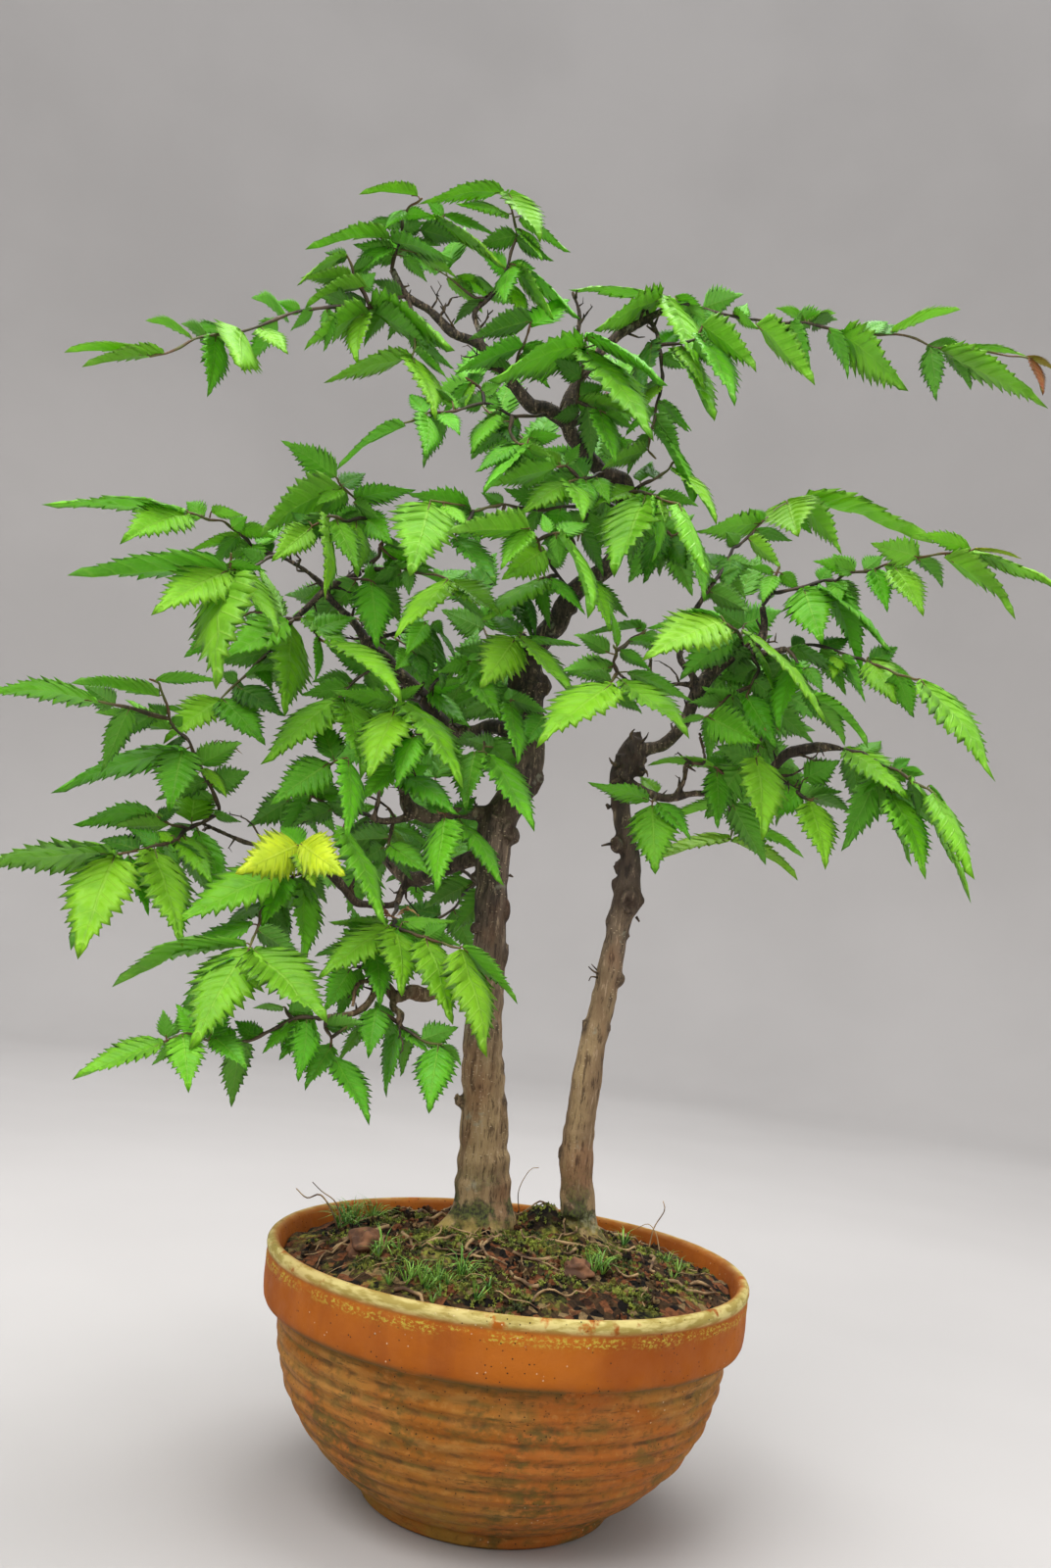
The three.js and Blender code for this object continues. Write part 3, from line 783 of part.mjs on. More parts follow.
function innerOutline(grow) {
  return BODY_OUTLINE.slice(3).map(([r, z]) => [r - WALL - grow, z + 3])
    .filter(([, z]) => z > FLOOR_TOP + 2);
}

function makePot() {
  const band = POT_HEIGHT - BAND_HEIGHT;
  const outside = [[0, 0], ...BODY_OUTLINE, [RIM_RADIUS - BAND_STEP, band],
    [RIM_RADIUS, band + BAND_STEP], [RIM_RADIUS, POT_HEIGHT - LIP_THICKNESS / 2],
    [RIM_RADIUS - LIP_THICKNESS / 4, POT_HEIGHT - LIP_THICKNESS / 8],
    [RIM_RADIUS - LIP_THICKNESS / 2, POT_HEIGHT]];
  const inside = [[RIM_RADIUS - LIP_THICKNESS, POT_HEIGHT - LIP_THICKNESS / 2],
    [MOUTH_RADIUS, POT_HEIGHT - BAND_HEIGHT / 2], ...innerOutline(0).reverse(),
    [FLOOR_RADIUS, FLOOR_TOP], [0, FLOOR_TOP]];
  let pot = turned([...outside, ...inside]);
  for (let i = 0; i < DRAIN_COUNT; i += 1) {
    const angle = (i / DRAIN_COUNT) * 2 * Math.PI + Math.PI / 2;
    const bore = new THREE.CylinderGeometry(DRAIN_RADIUS, DRAIN_RADIUS, 3 * FLOOR_TOP, 16);
    bore.rotateX(Math.PI / 2);
    bore.translate(Math.cos(angle) * DRAIN_RING, Math.sin(angle) * DRAIN_RING, FLOOR_TOP / 2);
    pot = pot.subtract(solid(bore));
  }
  return pot;
}

function makeDrainMesh() {
  const sheet = new THREE.CylinderGeometry(MESH_RADIUS, MESH_RADIUS, MESH_THICKNESS, 24);
  sheet.rotateX(Math.PI / 2);
  sheet.translate(0, 0, FLOOR_TOP + GAP + MESH_THICKNESS / 2);
  return solid(sheet);
}

// The mound's height at a distance from the pot's axis.
function soilHeight(distance) {
  const t = Math.min(1, distance / SOIL_EDGE);
  return SOIL_TOP - SOIL_FALL * t * t;
}

// The soil fills the pot to just under the lip and is mounded up to the trunks.
function makeSoilBody(grow) {
  const base = FLOOR_TOP + 2 * GAP + MESH_THICKNESS;
  const edge = soilHeight(SOIL_EDGE);
  const side = innerOutline(GAP).filter(([, z]) => z < edge - BAND_STEP);
  const top = [SOIL_EDGE, 84, 50].map((r) => [r + grow, soilHeight(r) + grow]);
  return turned([[0, base], [FLOOR_RADIUS - GAP, base], ...side,
    [MOUTH_RADIUS - SOIL_MARGIN, edge - 3], ...top, [0, SOIL_TOP + grow]]);
}

function onSoil(bearing, distance) {
  const angle = THREE.MathUtils.degToRad(bearing);
  return new THREE.Vector3(Math.cos(angle) * distance, Math.sin(angle) * distance,
    soilHeight(distance));
}

// A tuft of narrow blades on a small crown.
function makeGrass(centre, size) {
  const blades = [ball(centre, [size * 0.3, size * 0.3, size * 0.3], 0, 7, 5)];
  for (let i = 0; i < 7; i += 1) {
    const angle = i * 2.4;
    const lean = 0.35 + 0.08 * i;
    const direction = new THREE.Vector3(Math.cos(angle) * lean, Math.sin(angle) * lean, 1).normalize();
    const blade = new THREE.ConeGeometry(1, size * (1.15 - 0.07 * i), 4);
    blade.translate(0, size * 0.5, 0);
    blade.applyQuaternion(new THREE.Quaternion()
      .setFromUnitVectors(new THREE.Vector3(0, 1, 0), direction));
    blade.translate(centre.x, centre.y, centre.z + 1);
    blades.push(solid(blade));
  }
  return join(blades);
}

const bonsai = new THREE.Group();

const mainWood = wood(MAIN_LIMBS, MAIN_KNOTS, MAIN_ROOTS, 0);
const mainClearance = wood(MAIN_LIMBS, MAIN_KNOTS, MAIN_ROOTS, CUT);
const secondWood = largestPiece(
  wood(SECOND_LIMBS, SECOND_KNOTS, SECOND_ROOTS, 0).subtract(mainClearance));
const secondClearance = wood(SECOND_LIMBS, SECOND_KNOTS, SECOND_ROOTS, CUT);
const woodClearance = mainClearance.add(secondClearance);

bonsai.add(meshOf('pot', makePot(), 'terracotta'));
bonsai.add(meshOf('drain_mesh', makeDrainMesh(), 'mesh'));
bonsai.add(meshOf('soil', largestPiece(makeSoilBody(0).subtract(woodClearance)), 'soil'));
bonsai.add(meshOf('trunk_main', mainWood, 'bark'));
bonsai.add(meshOf('trunk_second', secondWood, 'bark'));

// What lies on the soil is cut to it, and to the trunks and what was laid before.
let laid = makeSoilBody(GAP).add(woodClearance);
function lay(name, shape, clearance, finish) {
  bonsai.add(meshOf(name, largestPiece(shape.subtract(laid)), finish));
  laid = laid.add(clearance);
}
for (const [name, bearing, distance, radii] of MOSS) {
  const centre = onSoil(bearing, distance);
  lay(name, ball(centre, radii, 0, 14, 8), ball(centre, radii, GAP, 14, 8), 'moss');
}
for (const [name, bearing, distance, radii] of STONES) {
  const centre = onSoil(bearing, distance);
  lay(name, ball(centre, radii, 0), ball(centre, radii, GAP), 'stone');
}
for (const [name, bearing, distance, size] of GRASS) {
  const shape = makeGrass(onSoil(bearing, distance), size);
  lay(name, shape, shape, 'grass');
}

// Every stem is cut clear of the wood and of the stems before it. Every leaf is cut clear of
// the wood, of all the stems but its own, and of the leaves before it.
const allShoots = [...SHOOTS, ...BACK_SHOOTS].map(([name, stemRows, leafRows]) => [name,
  stemRows.map((row) => row.map(([x, z, y]) => [x, z, drawnOut(y)])),
  leafRows.filter(([bx, bz, tx, tz, dy]) => Math.hypot(tx - bx, tz - bz, dy) > SHORTEST_LEAF)]);
const stemClearances = allShoots.map(([, stemRows]) => stems(stemRows, CUT));
const leafClearances = [];
allShoots.forEach(([name, stemRows, leafRows], i) => {
  const stem = clear(stems(stemRows, 0), [woodClearance, ...stemClearances.slice(0, i)]);
  const others = [woodClearance, ...stemClearances.filter((_, j) => j !== i), ...leafClearances];
  const leaves = leafRows.map((row) => clear(leaf(stemRows, row, 0), others));
  const whole = stem.add(join(leaves)).simplify(SMALLEST_EDGE);
  bonsai.add(meshOf(name, largestPiece(whole), 'leaf'));
  leafClearances.push(...leafRows.map((row) => leaf(stemRows, row, CUT)));
});

export default bonsai;
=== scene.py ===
"""A japanese zelkova bonsai in a round terracotta bowl, built around its solid model.

The plant is set out as it is seen from one viewpoint. A row's x and z, in millimetres, are read on the
plane of the trunks, y = 0, and y is the real depth there. Meshes are in metres, +Z up, with the origin
at the centre of the foot's underside.
"""
import math
import random

import bmesh
import bpy
import numpy as np
from mathutils import Matrix, Vector, noise


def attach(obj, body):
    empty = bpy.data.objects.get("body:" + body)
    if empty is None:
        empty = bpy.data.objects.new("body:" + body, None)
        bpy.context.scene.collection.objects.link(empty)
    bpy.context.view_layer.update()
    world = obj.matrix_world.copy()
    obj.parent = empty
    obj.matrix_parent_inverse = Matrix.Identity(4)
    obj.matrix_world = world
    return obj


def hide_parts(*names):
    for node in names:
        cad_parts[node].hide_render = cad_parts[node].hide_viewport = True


bl_info = {
    "name": "Zelkova bonsai",
    "version": (1, 0, 0),
    "blender": (4, 5, 0),
    "location": "View3D > Sidebar > Bonsai",
    "description": "Builds a zelkova bonsai in a terracotta bowl, piece by piece",
    "category": "Add Mesh",
}

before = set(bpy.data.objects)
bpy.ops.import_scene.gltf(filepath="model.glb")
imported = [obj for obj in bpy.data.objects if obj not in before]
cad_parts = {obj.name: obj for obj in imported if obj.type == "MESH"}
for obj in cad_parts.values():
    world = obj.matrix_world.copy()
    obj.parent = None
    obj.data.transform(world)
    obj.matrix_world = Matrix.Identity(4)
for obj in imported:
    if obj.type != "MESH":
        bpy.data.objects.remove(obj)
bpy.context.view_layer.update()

MM = 0.001

# The viewpoint: its distance from the trunks' plane and height in millimetres, and its axes.
VIEW_DEPTH = 723.65
VIEW_HEIGHT = 287.55
CAMERA_RIGHT = (0.99432, 0.01122, 0.10583)
CAMERA_UP = (-0.10347, -0.13088, 0.98598)
CAMERA_FORWARD = (-0.02492, 0.99133, 0.12898)
LENS = 29.25

# The stage's bend and height and the lamps, in metres: place, size and power.
STAGE_BEND = 0.9
STAGE_HEIGHT = 4.0
LAMP_AIM = Vector((0, 0, 0.4))
LAMPS = {"key_light": ((-0.9, -1.3, 1.9), 1.5, 42), "fill_light": ((1.6, -1.0, 1.2), 1.8, 14),
         "top_light": ((0.2, 0.3, 2.2), 1.4, 36)}
SKY_COLOUR, SKY_STRENGTH = (0.97, 0.98, 1.0, 1), 1.2

# The bowl in millimetres. The body, from the foot to the band, and the inside: radius and height.
FOOT_RADII = (20, 40, 56, 62)
BODY_OUTLINE = [(64, 0), (66.5, 1.5), (67.5, 4.5), (67.2, 7), (71, 9), (76, 12), (90, 23),
                (103.5, 37.5), (113.5, 55), (119, 73), (121.5, 94)]
INSIDE_OUTLINE = [(122.6, 118), (121.4, 113), (120.4, 109), (119.2, 104), (114.5, 97), (112, 76),
                  (106.5, 58), (96.5, 40), (83, 25), (72, 14)]
# The band and the lip: radius, height, share of pale crust and share of algae.
LIP_OUTLINE = [(122.2, 93.2, 0, 0), (124.4, 93.3, 0, 0), (126.4, 93.9, 0, 0), (127.8, 95.1, 0, 0),
               (128.7, 97, 0, 0), (129.1, 99.5, 0, 0), (129.3, 102, 0, 0), (129.5, 105, 0, 0),
               (129.5, 108, 0, 0), (129.5, 111, 0, 0), (129.6, 113.2, 0, 0.1), (129.7, 114.6, 0, 0.8),
               (129.8, 116.2, 0, 1), (129.7, 117.6, 0, 0.9), (129.3, 118.8, 0, 0.3),
               (129.4, 119.6, 0.15, 0), (130, 120.6, 0.6, 0), (130.3, 122, 1, 0), (130.2, 123.4, 1, 0),
               (129.5, 124.8, 1, 0), (128.3, 125.8, 0.9, 0), (126.9, 126, 0.6, 0),
               (125.6, 125.6, 0.25, 0), (124.6, 124.6, 0.1, 0), (123.8, 123, 0, 0)]
# The body's top and rings, and the thrown ribs: their pitch and between which heights they show.
BODY_TOP, BODY_RINGS = 93, 125
RIB_PITCH, RIB_START, RIB_END = 8.6, 7, 92
# The drain holes, and the mesh over them with its wire's radius, its edge's and half its thickness.
HOLE_COUNT, HOLE_DISTANCE, HOLE_RADIUS = 3, 26, 7
MESH_PITCH, MESH_RADIUS, MESH_HEIGHT = 3, 40, 14.9
WIRE_RADIUS, MESH_EDGE, MESH_HALF = 0.34, 0.55, 0.25

# The soil in millimetres: its top at the axis, how far it falls out to its reach, the radii between
# which its top lies, and its side's radii and heights.
SOIL_TOP, SOIL_FALL, SOIL_REACH = 137, 18, 112
SOIL_RADII, SOIL_RINGS, SOIL_SEGMENTS = (1.5, 121.3), 84, 200
SOIL_SIDE = [(119.5, 108), (118.5, 104), (113.5, 97), (111.4, 76), (106, 58), (96, 40), (82.6, 25),
             (71.5, 16)]
# The mound between the trunks: its place, height and spread, and its dark middle in metres.
MOUND_X, MOUND_Y, MOUND_HEIGHT, MOUND_SPREAD = 20, 10, 13, 230
MOUND_CENTRE = (0.018, 0.009, 0.148)
# Fine roots on the soil: how many, how far from the axis they start and end, and their radii.
ROOT_COUNT, ROOT_STARTS, ROOT_END = 90, (24, 106), 114
ROOT_RADII = (0.25, 0.35, 0.5, 0.7, 1.1)

# The bark's swellings: how far they stand out, in metres, and how fine they are.
RELIEF_DEPTH, RELIEF_SCALE = 1.5 * MM, 110.0
# How many of the places along a limb carry a spur.
SPUR_SHARE = 0.72
# Surface roots: share of the reach, height over the foot in millimetres and share of the radius.
ROOT_ROWS = ((0, 22, 0.8), (0.22, 9, 1.0), (0.42, 1, 0.85), (0.7, -6, 0.6), (1, -15, 0.35))

# Half the width of a leaf along its length, both as shares of the whole.
LEAF_OUTLINE = [(0, 0.03), (0.02, 0.13), (0.06, 0.27), (0.12, 0.39), (0.2, 0.47), (0.29, 0.505),
                (0.38, 0.5), (0.48, 0.455), (0.58, 0.375), (0.68, 0.285), (0.78, 0.185), (0.86, 0.105),
                (0.93, 0.042), (1, 0.0)]
# A whole leaf's least and greatest width, as shares of its length.
NARROWEST, WIDEST = 0.52, 0.8
# Shares of a leaf's width or length, for its veins, its teeth and its relief.
VEIN_SLANT, TOOTH_DEPTH, QUILT, MIDRIB_DEPTH, LEAF_THICKNESS, RIPPLE = 0.42, 0.29, 0.017, 0.016, 0.007, 0.17
# Leaf colours by tone: dark, mid, fresh, lit through, yellow, just opened. The dark tone is partly the leaf's
# own colour and partly painted shade for leaves deep in the crown; the lit-through tone is painted light
# shining through a leaf.
LEAF_TONES = ["#36820e", "#72ce18", "#86d21a", "#98dc1e", "#f2ff2c", "#a04c20"]
# Millimetres of stem for each small inner leaf, in the shoots in front and in those behind, the share
# of a stem that carries them, and their shortest and longest.
INNER_SPACING, BACK_SPACING, OLDER_SHARE = 11.0, 9.0, 0.85
INNER_LENGTHS = (15, 29)
# What the points of a shoot carry: kind and usual value.
POINT_VALUES = {
    "is_leaf": ("FLOAT", 0.0), "thick": ("FLOAT", MM), "young": ("FLOAT", 0.0),
    "pattern": ("FLOAT", 0.0), "bend": ("FLOAT", 0.0), "fold": ("FLOAT", 0.0),
    "axis": ("FLOAT_VECTOR", (1, 0, 0)), "lift": ("FLOAT_VECTOR", (0, 0, 1)),
    "size": ("FLOAT_VECTOR", (1, 1, 1)), "tint": ("FLOAT_COLOR", (0, 0, 0, 1))}

# The tables give depths near the trunks as they are, and draw in what lies further out.
CORE_DEPTH = 14
DEPTH_STRETCH = 2.6

# Limbs: rows of x, z, radius, y.
MAIN_LIMBS = {
    "trunk": [(-16, 112, 20, 0), (-16, 130, 19, 0), (-18, 160, 15.2, 0), (-22, 200, 12.8, 0),
        (-27, 240, 10.7, 0), (-28, 280, 9.4, 0), (-31, 320, 9.2, 0), (-32, 355, 10.5, 0), (-21, 380, 9.5, 2),
        (-16, 400, 7.5, 4), (-19, 420, 7, 6), (-22, 440, 9, 8), (-24, 455, 7.5, 8), (-16, 470, 7, 8),
        (-10, 478, 7, 8), (-6, 490, 6, 8), (0, 500, 6, 8), (11, 509, 5.5, 8), (19, 519, 5.2, 8),
        (21, 535, 5, 8), (22, 552, 5, 8), (21, 566, 5.5, 8), (7, 572, 4.5, 8), (-5, 584, 4.7, 8),
        (-14, 594, 4.8, 8), (-16, 602, 5, 8)],
    "left_fork": [(-16, 600, 4.8, 8), (-29, 607, 4.7, 6), (-38, 608, 4.4, 4), (-45, 614, 3.7, 2),
        (-55, 625, 3.2, 0), (-73, 643, 3, -4), (-90, 649, 3, -8), (-106, 662, 2.6, -10),
        (-121, 670, 2.3, -12), (-132, 686, 2, -12)],
    "left_fork_spur": [(-73, 643, 2.4, -4), (-74, 650, 2, -2), (-79, 663, 1.8, 2), (-72, 672, 1.4, 0)],
    "right_fork": [(-16, 600, 4.6, 8), (-18, 611, 4, 10), (-10, 632, 3.6, 12), (-2, 645, 3.2, 13),
        (9, 658, 3, 14), (21, 667, 2.6, 14), (36, 678, 2.2, 14)],
    "right_fork_twig": [(-8, 636, 2, 12), (-15, 645, 1.6, 10), (-16, 668, 1.3, 8), (-22, 683, 1, 6)],
    "right_fork_drop": [(26, 670, 1.8, 14), (31, 662, 1.6, 12), (33, 654, 1.4, 10)],
    "branch_one": [(-34, 362, 6, 0), (-47, 362, 4.2, -4), (-55, 361, 3.6, -8), (-64, 359, 3.6, -10),
        (-72, 357, 4, -12), (-79, 360, 4.2, -12), (-84, 362, 4.2, -12), (-87, 369, 2.8, -14),
        (-91, 377, 2.2, -16)],
    "branch_one_left": [(-78, 358, 2.8, -12), (-90, 353, 2, -14), (-100, 352, 2.2, -16),
        (-104, 354, 2.2, -16)],
    "branch_one_spur": [(-102, 354, 1.5, -16), (-101, 365, 1.3, -18), (-102, 371, 1.2, -20)],
    "branch_two": [(-36, 340, 5.4, 0), (-50, 333, 4.4, 8), (-63, 326, 4.2, 14), (-70, 322, 4.4, 16),
        (-78, 321, 4.4, 18), (-85, 325, 4.2, 20), (-93, 331, 3, 22), (-104, 335, 2.2, 24)],
    "branch_two_drop": [(-79, 320, 2.6, 18), (-82, 312, 2.2, 16), (-84, 306, 2, 14), (-92, 304, 2, 10),
        (-100, 304, 2.2, 4), (-106, 304, 2.5, 0), (-113, 310, 2.8, -4), (-120, 317, 3, -8),
        (-128, 324, 3, -12)],
    "branch_two_twig": [(-128, 324, 2, -12), (-142, 331, 1.6, -6), (-156, 332, 1.4, -6),
        (-170, 331, 1.5, -8), (-185, 335, 1.4, -8), (-200, 340, 1.2, -8)],
    "branch_three": [(-32, 262, 5.5, 0), (-46, 260, 4.4, -6), (-54, 260, 4.2, -10), (-62, 257, 4.4, -14),
        (-70, 258, 4.2, -16), (-78, 254, 3.4, -18), (-84, 260, 2.6, -18), (-91, 262, 2.6, -18),
        (-97, 270, 2.1, -16)],
    "branch_three_low": [(-91, 262, 2.2, -18), (-90, 256, 2.3, -20), (-93, 249, 2.2, -22),
        (-98, 244, 2, -24), (-105, 241, 1.9, -26), (-115, 239, 1.7, -28)],
    "branch_three_knob": [(-77, 255, 3, -18), (-79, 249, 2.4, -20), (-74, 245, 2.2, -22),
        (-75, 240, 2.3, -22)],
    "branch_three_hook": [(-92, 262, 1.8, -18), (-99, 260, 1.7, -22), (-101, 255, 1.6, -24),
        (-101, 246, 1.4, -26)],
    "branch_four": [(-18, 405, 6, 4), (-38, 413, 4.6, 12), (-52, 408, 4.4, 18), (-64, 409, 4.3, 22),
        (-74, 416, 4.2, 22), (-86, 429, 4.3, 20), (-97, 437, 4.4, 18), (-108, 446, 4.5, 16),
        (-118, 452, 4.2, 14), (-121, 458, 3.2, 12), (-130, 468, 2.2, 10), (-138, 474, 2, 8),
        (-145, 480, 2.2, 6), (-147, 485, 2.4, 6), (-143, 487, 2.2, 4), (-136, 491, 2, 2), (-127, 496, 2, 0)],
    "branch_four_left": [(-147, 484, 2, 6), (-156, 472, 2, 2), (-163, 464, 1.8, -2)],
    "branch_four_up": [(-147, 485, 1.8, 6), (-160, 494, 1.5, 0), (-175, 501, 1.3, -4)],
    "branch_four_twig": [(-120, 456, 1.6, 12), (-108, 460, 1.4, 8), (-97, 464, 1.2, 6)]}
SECOND_LIMBS = {
    "trunk": [(36, 112, 12.5, 14), (36, 130, 11.5, 14), (36, 145, 10.4, 14), (34, 160, 9.4, 14),
        (31.6, 180, 9.3, 14), (32, 200, 8.2, 13), (33.2, 220, 7.9, 12), (34.2, 240, 7.4, 12),
        (37.2, 258, 6.9, 12), (38.8, 272, 6.8, 11), (40.4, 288, 6.7, 11), (41.8, 300, 6.6, 10),
        (43, 312, 7.2, 10), (45.6, 322, 7.8, 10), (45.6, 332, 7.2, 10), (46, 341, 6.2, 10),
        (44.6, 350, 5.2, 10), (40.8, 360, 4.9, 10), (38.4, 370, 5.1, 10), (36, 382, 5.6, 10),
        (36, 392, 6.6, 10), (39, 400, 7.8, 10), (41, 409, 6.4, 10), (42.5, 416, 3.4, 10)],
    "upper": [(40, 407, 4.5, 10), (48, 409, 3.8, 8), (57, 412, 3.7, 6), (65, 420, 3.7, 4), (70, 430, 3.8, 2),
        (73, 440, 4, 0), (76, 448, 4.6, 0), (80, 455, 4.5, 2), (86, 463, 4.5, 4), (92, 468, 4, 6),
        (98, 470, 4, 8), (106, 475, 3.2, 10), (110, 486, 2.4, 12), (108, 500, 1.8, 8)],
    "upper_spur": [(75, 449, 2.6, 0), (70, 456, 2.4, -4), (63, 465, 2, -4), (65, 482, 1.8, 0),
        (70, 495, 1.8, -1), (74, 503, 1.5, -2)],
    "upper_right": [(98, 470, 3.2, 8), (112, 472, 2.6, 4), (124, 476, 2, 0)],
    "upper_left": [(74, 449, 2.2, 0), (64, 449, 1.6, -6), (55, 447, 1.4, -10), (45, 446, 1.3, -14),
        (36, 447, 1.2, -18), (28, 452, 1.1, -22)],
    "lower": [(38, 390, 2.8, 8), (52, 384, 2.4, 4), (60, 382, 2.6, 2), (68, 383, 2.4, 0), (77, 386, 2, -2),
        (90, 388, 2, 4), (105, 394, 2.2, 8), (120, 404, 2.5, 6), (128, 414, 3, 4), (135, 417, 3.4, 2),
        (145, 420, 3.2, 0), (152, 421, 2.6, -2), (160, 421, 1.6, -4)],
    "lower_twig": [(68, 384, 1.6, 0), (72, 394, 1.5, -4), (72, 403, 1.4, -6), (82, 404, 1.1, -8),
        (81, 413, 1, -8), (78, 422, 0.8, -8)],
    "lower_drop": [(120, 403, 1.8, 6), (130, 398, 1.5, 2), (138, 392, 1.3, -2)]}

# Each trunk: the solid it stands for; its bark's name and the heights where it darkens, in metres;
# its limbs; bumps where twigs once grew: x, z, half width, half height, y; raised rings round old
# cuts: x, z, y, the way the ring faces, radius; torn wood: x, z, y, half width, half height; surface
# roots: bearing in degrees, reach, radius at the trunk.
TRUNKS = {
    "main_trunk": {
        "solid": "trunk_main", "bark": ("old_bark", 0.19, 0.31), "limbs": MAIN_LIMBS,
        "bumps": [(-20.7, 283, 4.4, 6.5, 0), (-22.8, 308, 4, 7, 0), (-40.6, 326, 3, 3.5, 0),
            (-38, 297, 3, 3, -6), (-40, 338, 6, 5, 2), (-33.8, 201, 3.4, 5, -2), (-14.2, 203, 4.4, 7, 0),
            (-15.8, 222, 3, 5.5, 0), (-34.4, 236, 3.4, 5, 0), (-24, 352, 5.4, 6, -4), (-31, 362, 11, 10, 0),
            (-13, 384, 4.5, 8, 2), (-20, 402, 8.5, 7, 4), (-30, 440, 5.5, 7, 8), (-14, 440, 5, 6, 8),
            (-29, 463, 4, 6, 8), (-3, 487, 4, 4, 8), (14, 569, 6, 5, 8), (-24, 250, 4, 6, 8),
            (-30, 300, 4, 6, 7), (-20, 180, 4, 6, 11), (-26, 330, 3, 4, 8), (-16, 420, 4, 6, 12),
            (-22, 455, 5, 6, 3), (-10, 533, 2.6, 3, 6), (-14, 602, 5, 4, 8)],
        "rings": [(-24.6, 354, -9.5, 0.35, -1, 0, 3), (-38.4, 296.5, -7.5, -0.6, -1, 0, 2),
            (-37.2, 202, -4, -1, -0.5, 0, 2.4), (-12.4, 203, -4, 1, -0.5, 0, 2.8)],
        "torn": [(-24, 455, 2, 5, 7), (-20, 436, 2, 6, 7), (-33, 356, -6, 6, 8)],
        "roots": [(200, 50, 9), (245, 42, 7), (290, 44, 8), (150, 44, 8), (95, 48, 7.5)]},
    "second_trunk": {
        "solid": "trunk_second", "bark": ("second_bark", 0.22, 0.34), "limbs": SECOND_LIMBS,
        "bumps": [(25, 180, 3.6, 5.5, 14), (30.6, 249, 3.4, 6, 12), (41, 249, 2.8, 3.5, 12),
            (44.4, 277.5, 4, 5, 11), (46, 302, 3.4, 4, 10), (37.8, 309, 3.2, 5, 10), (47, 322, 7.6, 11, 9),
            (39.4, 329.5, 3.6, 5, 10), (49.6, 339, 3.2, 4.5, 10), (37.4, 353, 4.2, 5.5, 8),
            (34, 375, 3.2, 3, 9), (33.8, 389, 4.8, 5, 8), (46, 396, 3.8, 4, 9), (40, 403, 8, 7, 10),
            (42, 412, 5.4, 6, 10), (36, 398, 5, 4, 6), (36, 214, 3.5, 5, 19), (43, 300, 3.5, 5, 16),
            (40, 340, 4, 5, 14), (33, 150, 6, 5, 6)],
        "rings": [(36.4, 353, 4, -0.7, -1, 0.1, 3), (47.5, 321, 1.6, 0.4, -1, 0, 4.4),
            (43, 412.5, 4, 0.2, -1, 0.3, 2.2), (35, 389, 3.5, -0.4, -1, 0, 2.6),
            (46.6, 277.5, 8.5, 1, -0.5, 0, 2.4)],
        "torn": [(40, 410, 6, 4.6, 6), (35, 401, 5, 4, 5), (46, 401, 6, 4, 6), (42, 415, 9, 3, 3.5),
            (37, 393, 4, 4, 4.5), (32, 385, 8, 3, 3.5), (45, 409, 7, 3, 4)],
        "roots": [(-20, 38, 6), (-75, 34, 5), (40, 40, 6)]}}

# Short dead spikes that stand off the wood: points of x, z, y, radius.
SPIKES = [[(37, 353, 7, 1.4), (33, 352.5, 5, 1), (28.5, 351, 4, 0.5)],
    [(34, 279, 8, 0.7), (30.5, 280.5, 5, 0.5), (28, 282.5, 4, 0.3)],
    [(33.5, 277, 8, 0.6), (30, 277, 5, 0.4), (29, 274.5, 4, 0.25)],
    [(33, 281, 9, 0.5), (29.5, 284, 6, 0.25)], [(52, 313, 9, 0.9), (54, 310.5, 8, 0.5)],
    [(-22, 329, -3, 1), (-19.5, 328, -3, 0.4)],
    [(-40, 336, 0, 2.6), (-44, 339, -1, 2), (-46, 336.5, -1, 0.9)], [(31, 373, 8, 1.6), (29, 375, 7, 0.8)],
    [(40, 412, 4, 1.4), (39, 417, 3, 0.8), (41, 420, 3, 0.3)],
    [(45, 412, 5, 1.2), (48, 416, 4, 0.6), (49, 419, 4, 0.2)],
    [(34, 398, 2, 1.4), (30, 399, 1, 0.9), (28, 402, 1, 0.3)],
    [(46, 398, 2, 1.4), (50, 396, 1, 0.8), (51, 393, 1, 0.3)],
    [(35, 390, 1, 1.5), (31, 388, 0, 0.9), (29, 385, 0, 0.3)],
    [(-10, 533, 8, 1.3), (-5, 527, 6, 0.9), (-4, 521, 6, 0.5)],
    [(-10, 533, 8, 1.3), (-5, 538, 7, 0.9), (0, 540, 8, 0.6)]]

# Dry scales in the shoots: x, z, y, how many, their length.
DRY_SCALES = [(-88, 300, -20, 7, 7), (-78, 303, -20, 7, 6), (-71, 297, -18, 5, 6), (-228, 328, -14, 6, 7),
    (-218, 329, -12, 5, 6), (-205, 370, -10, 4, 12), (-195, 388, -10, 3, 12), (-30, 470, -6, 4, 6),
    (-60, 600, 4, 4, 5), (-10, 640, 2, 4, 5), (118, 430, -10, 4, 6)]

# Crumbs on the soil: share of the density, smallest and largest half width, roundness.
CRUMB_SIZES = [(2.4, 0.5, 1.2, 1), (0.8, 1.1, 2.6, 2), (0.1, 2.6, 4.4, 3)]

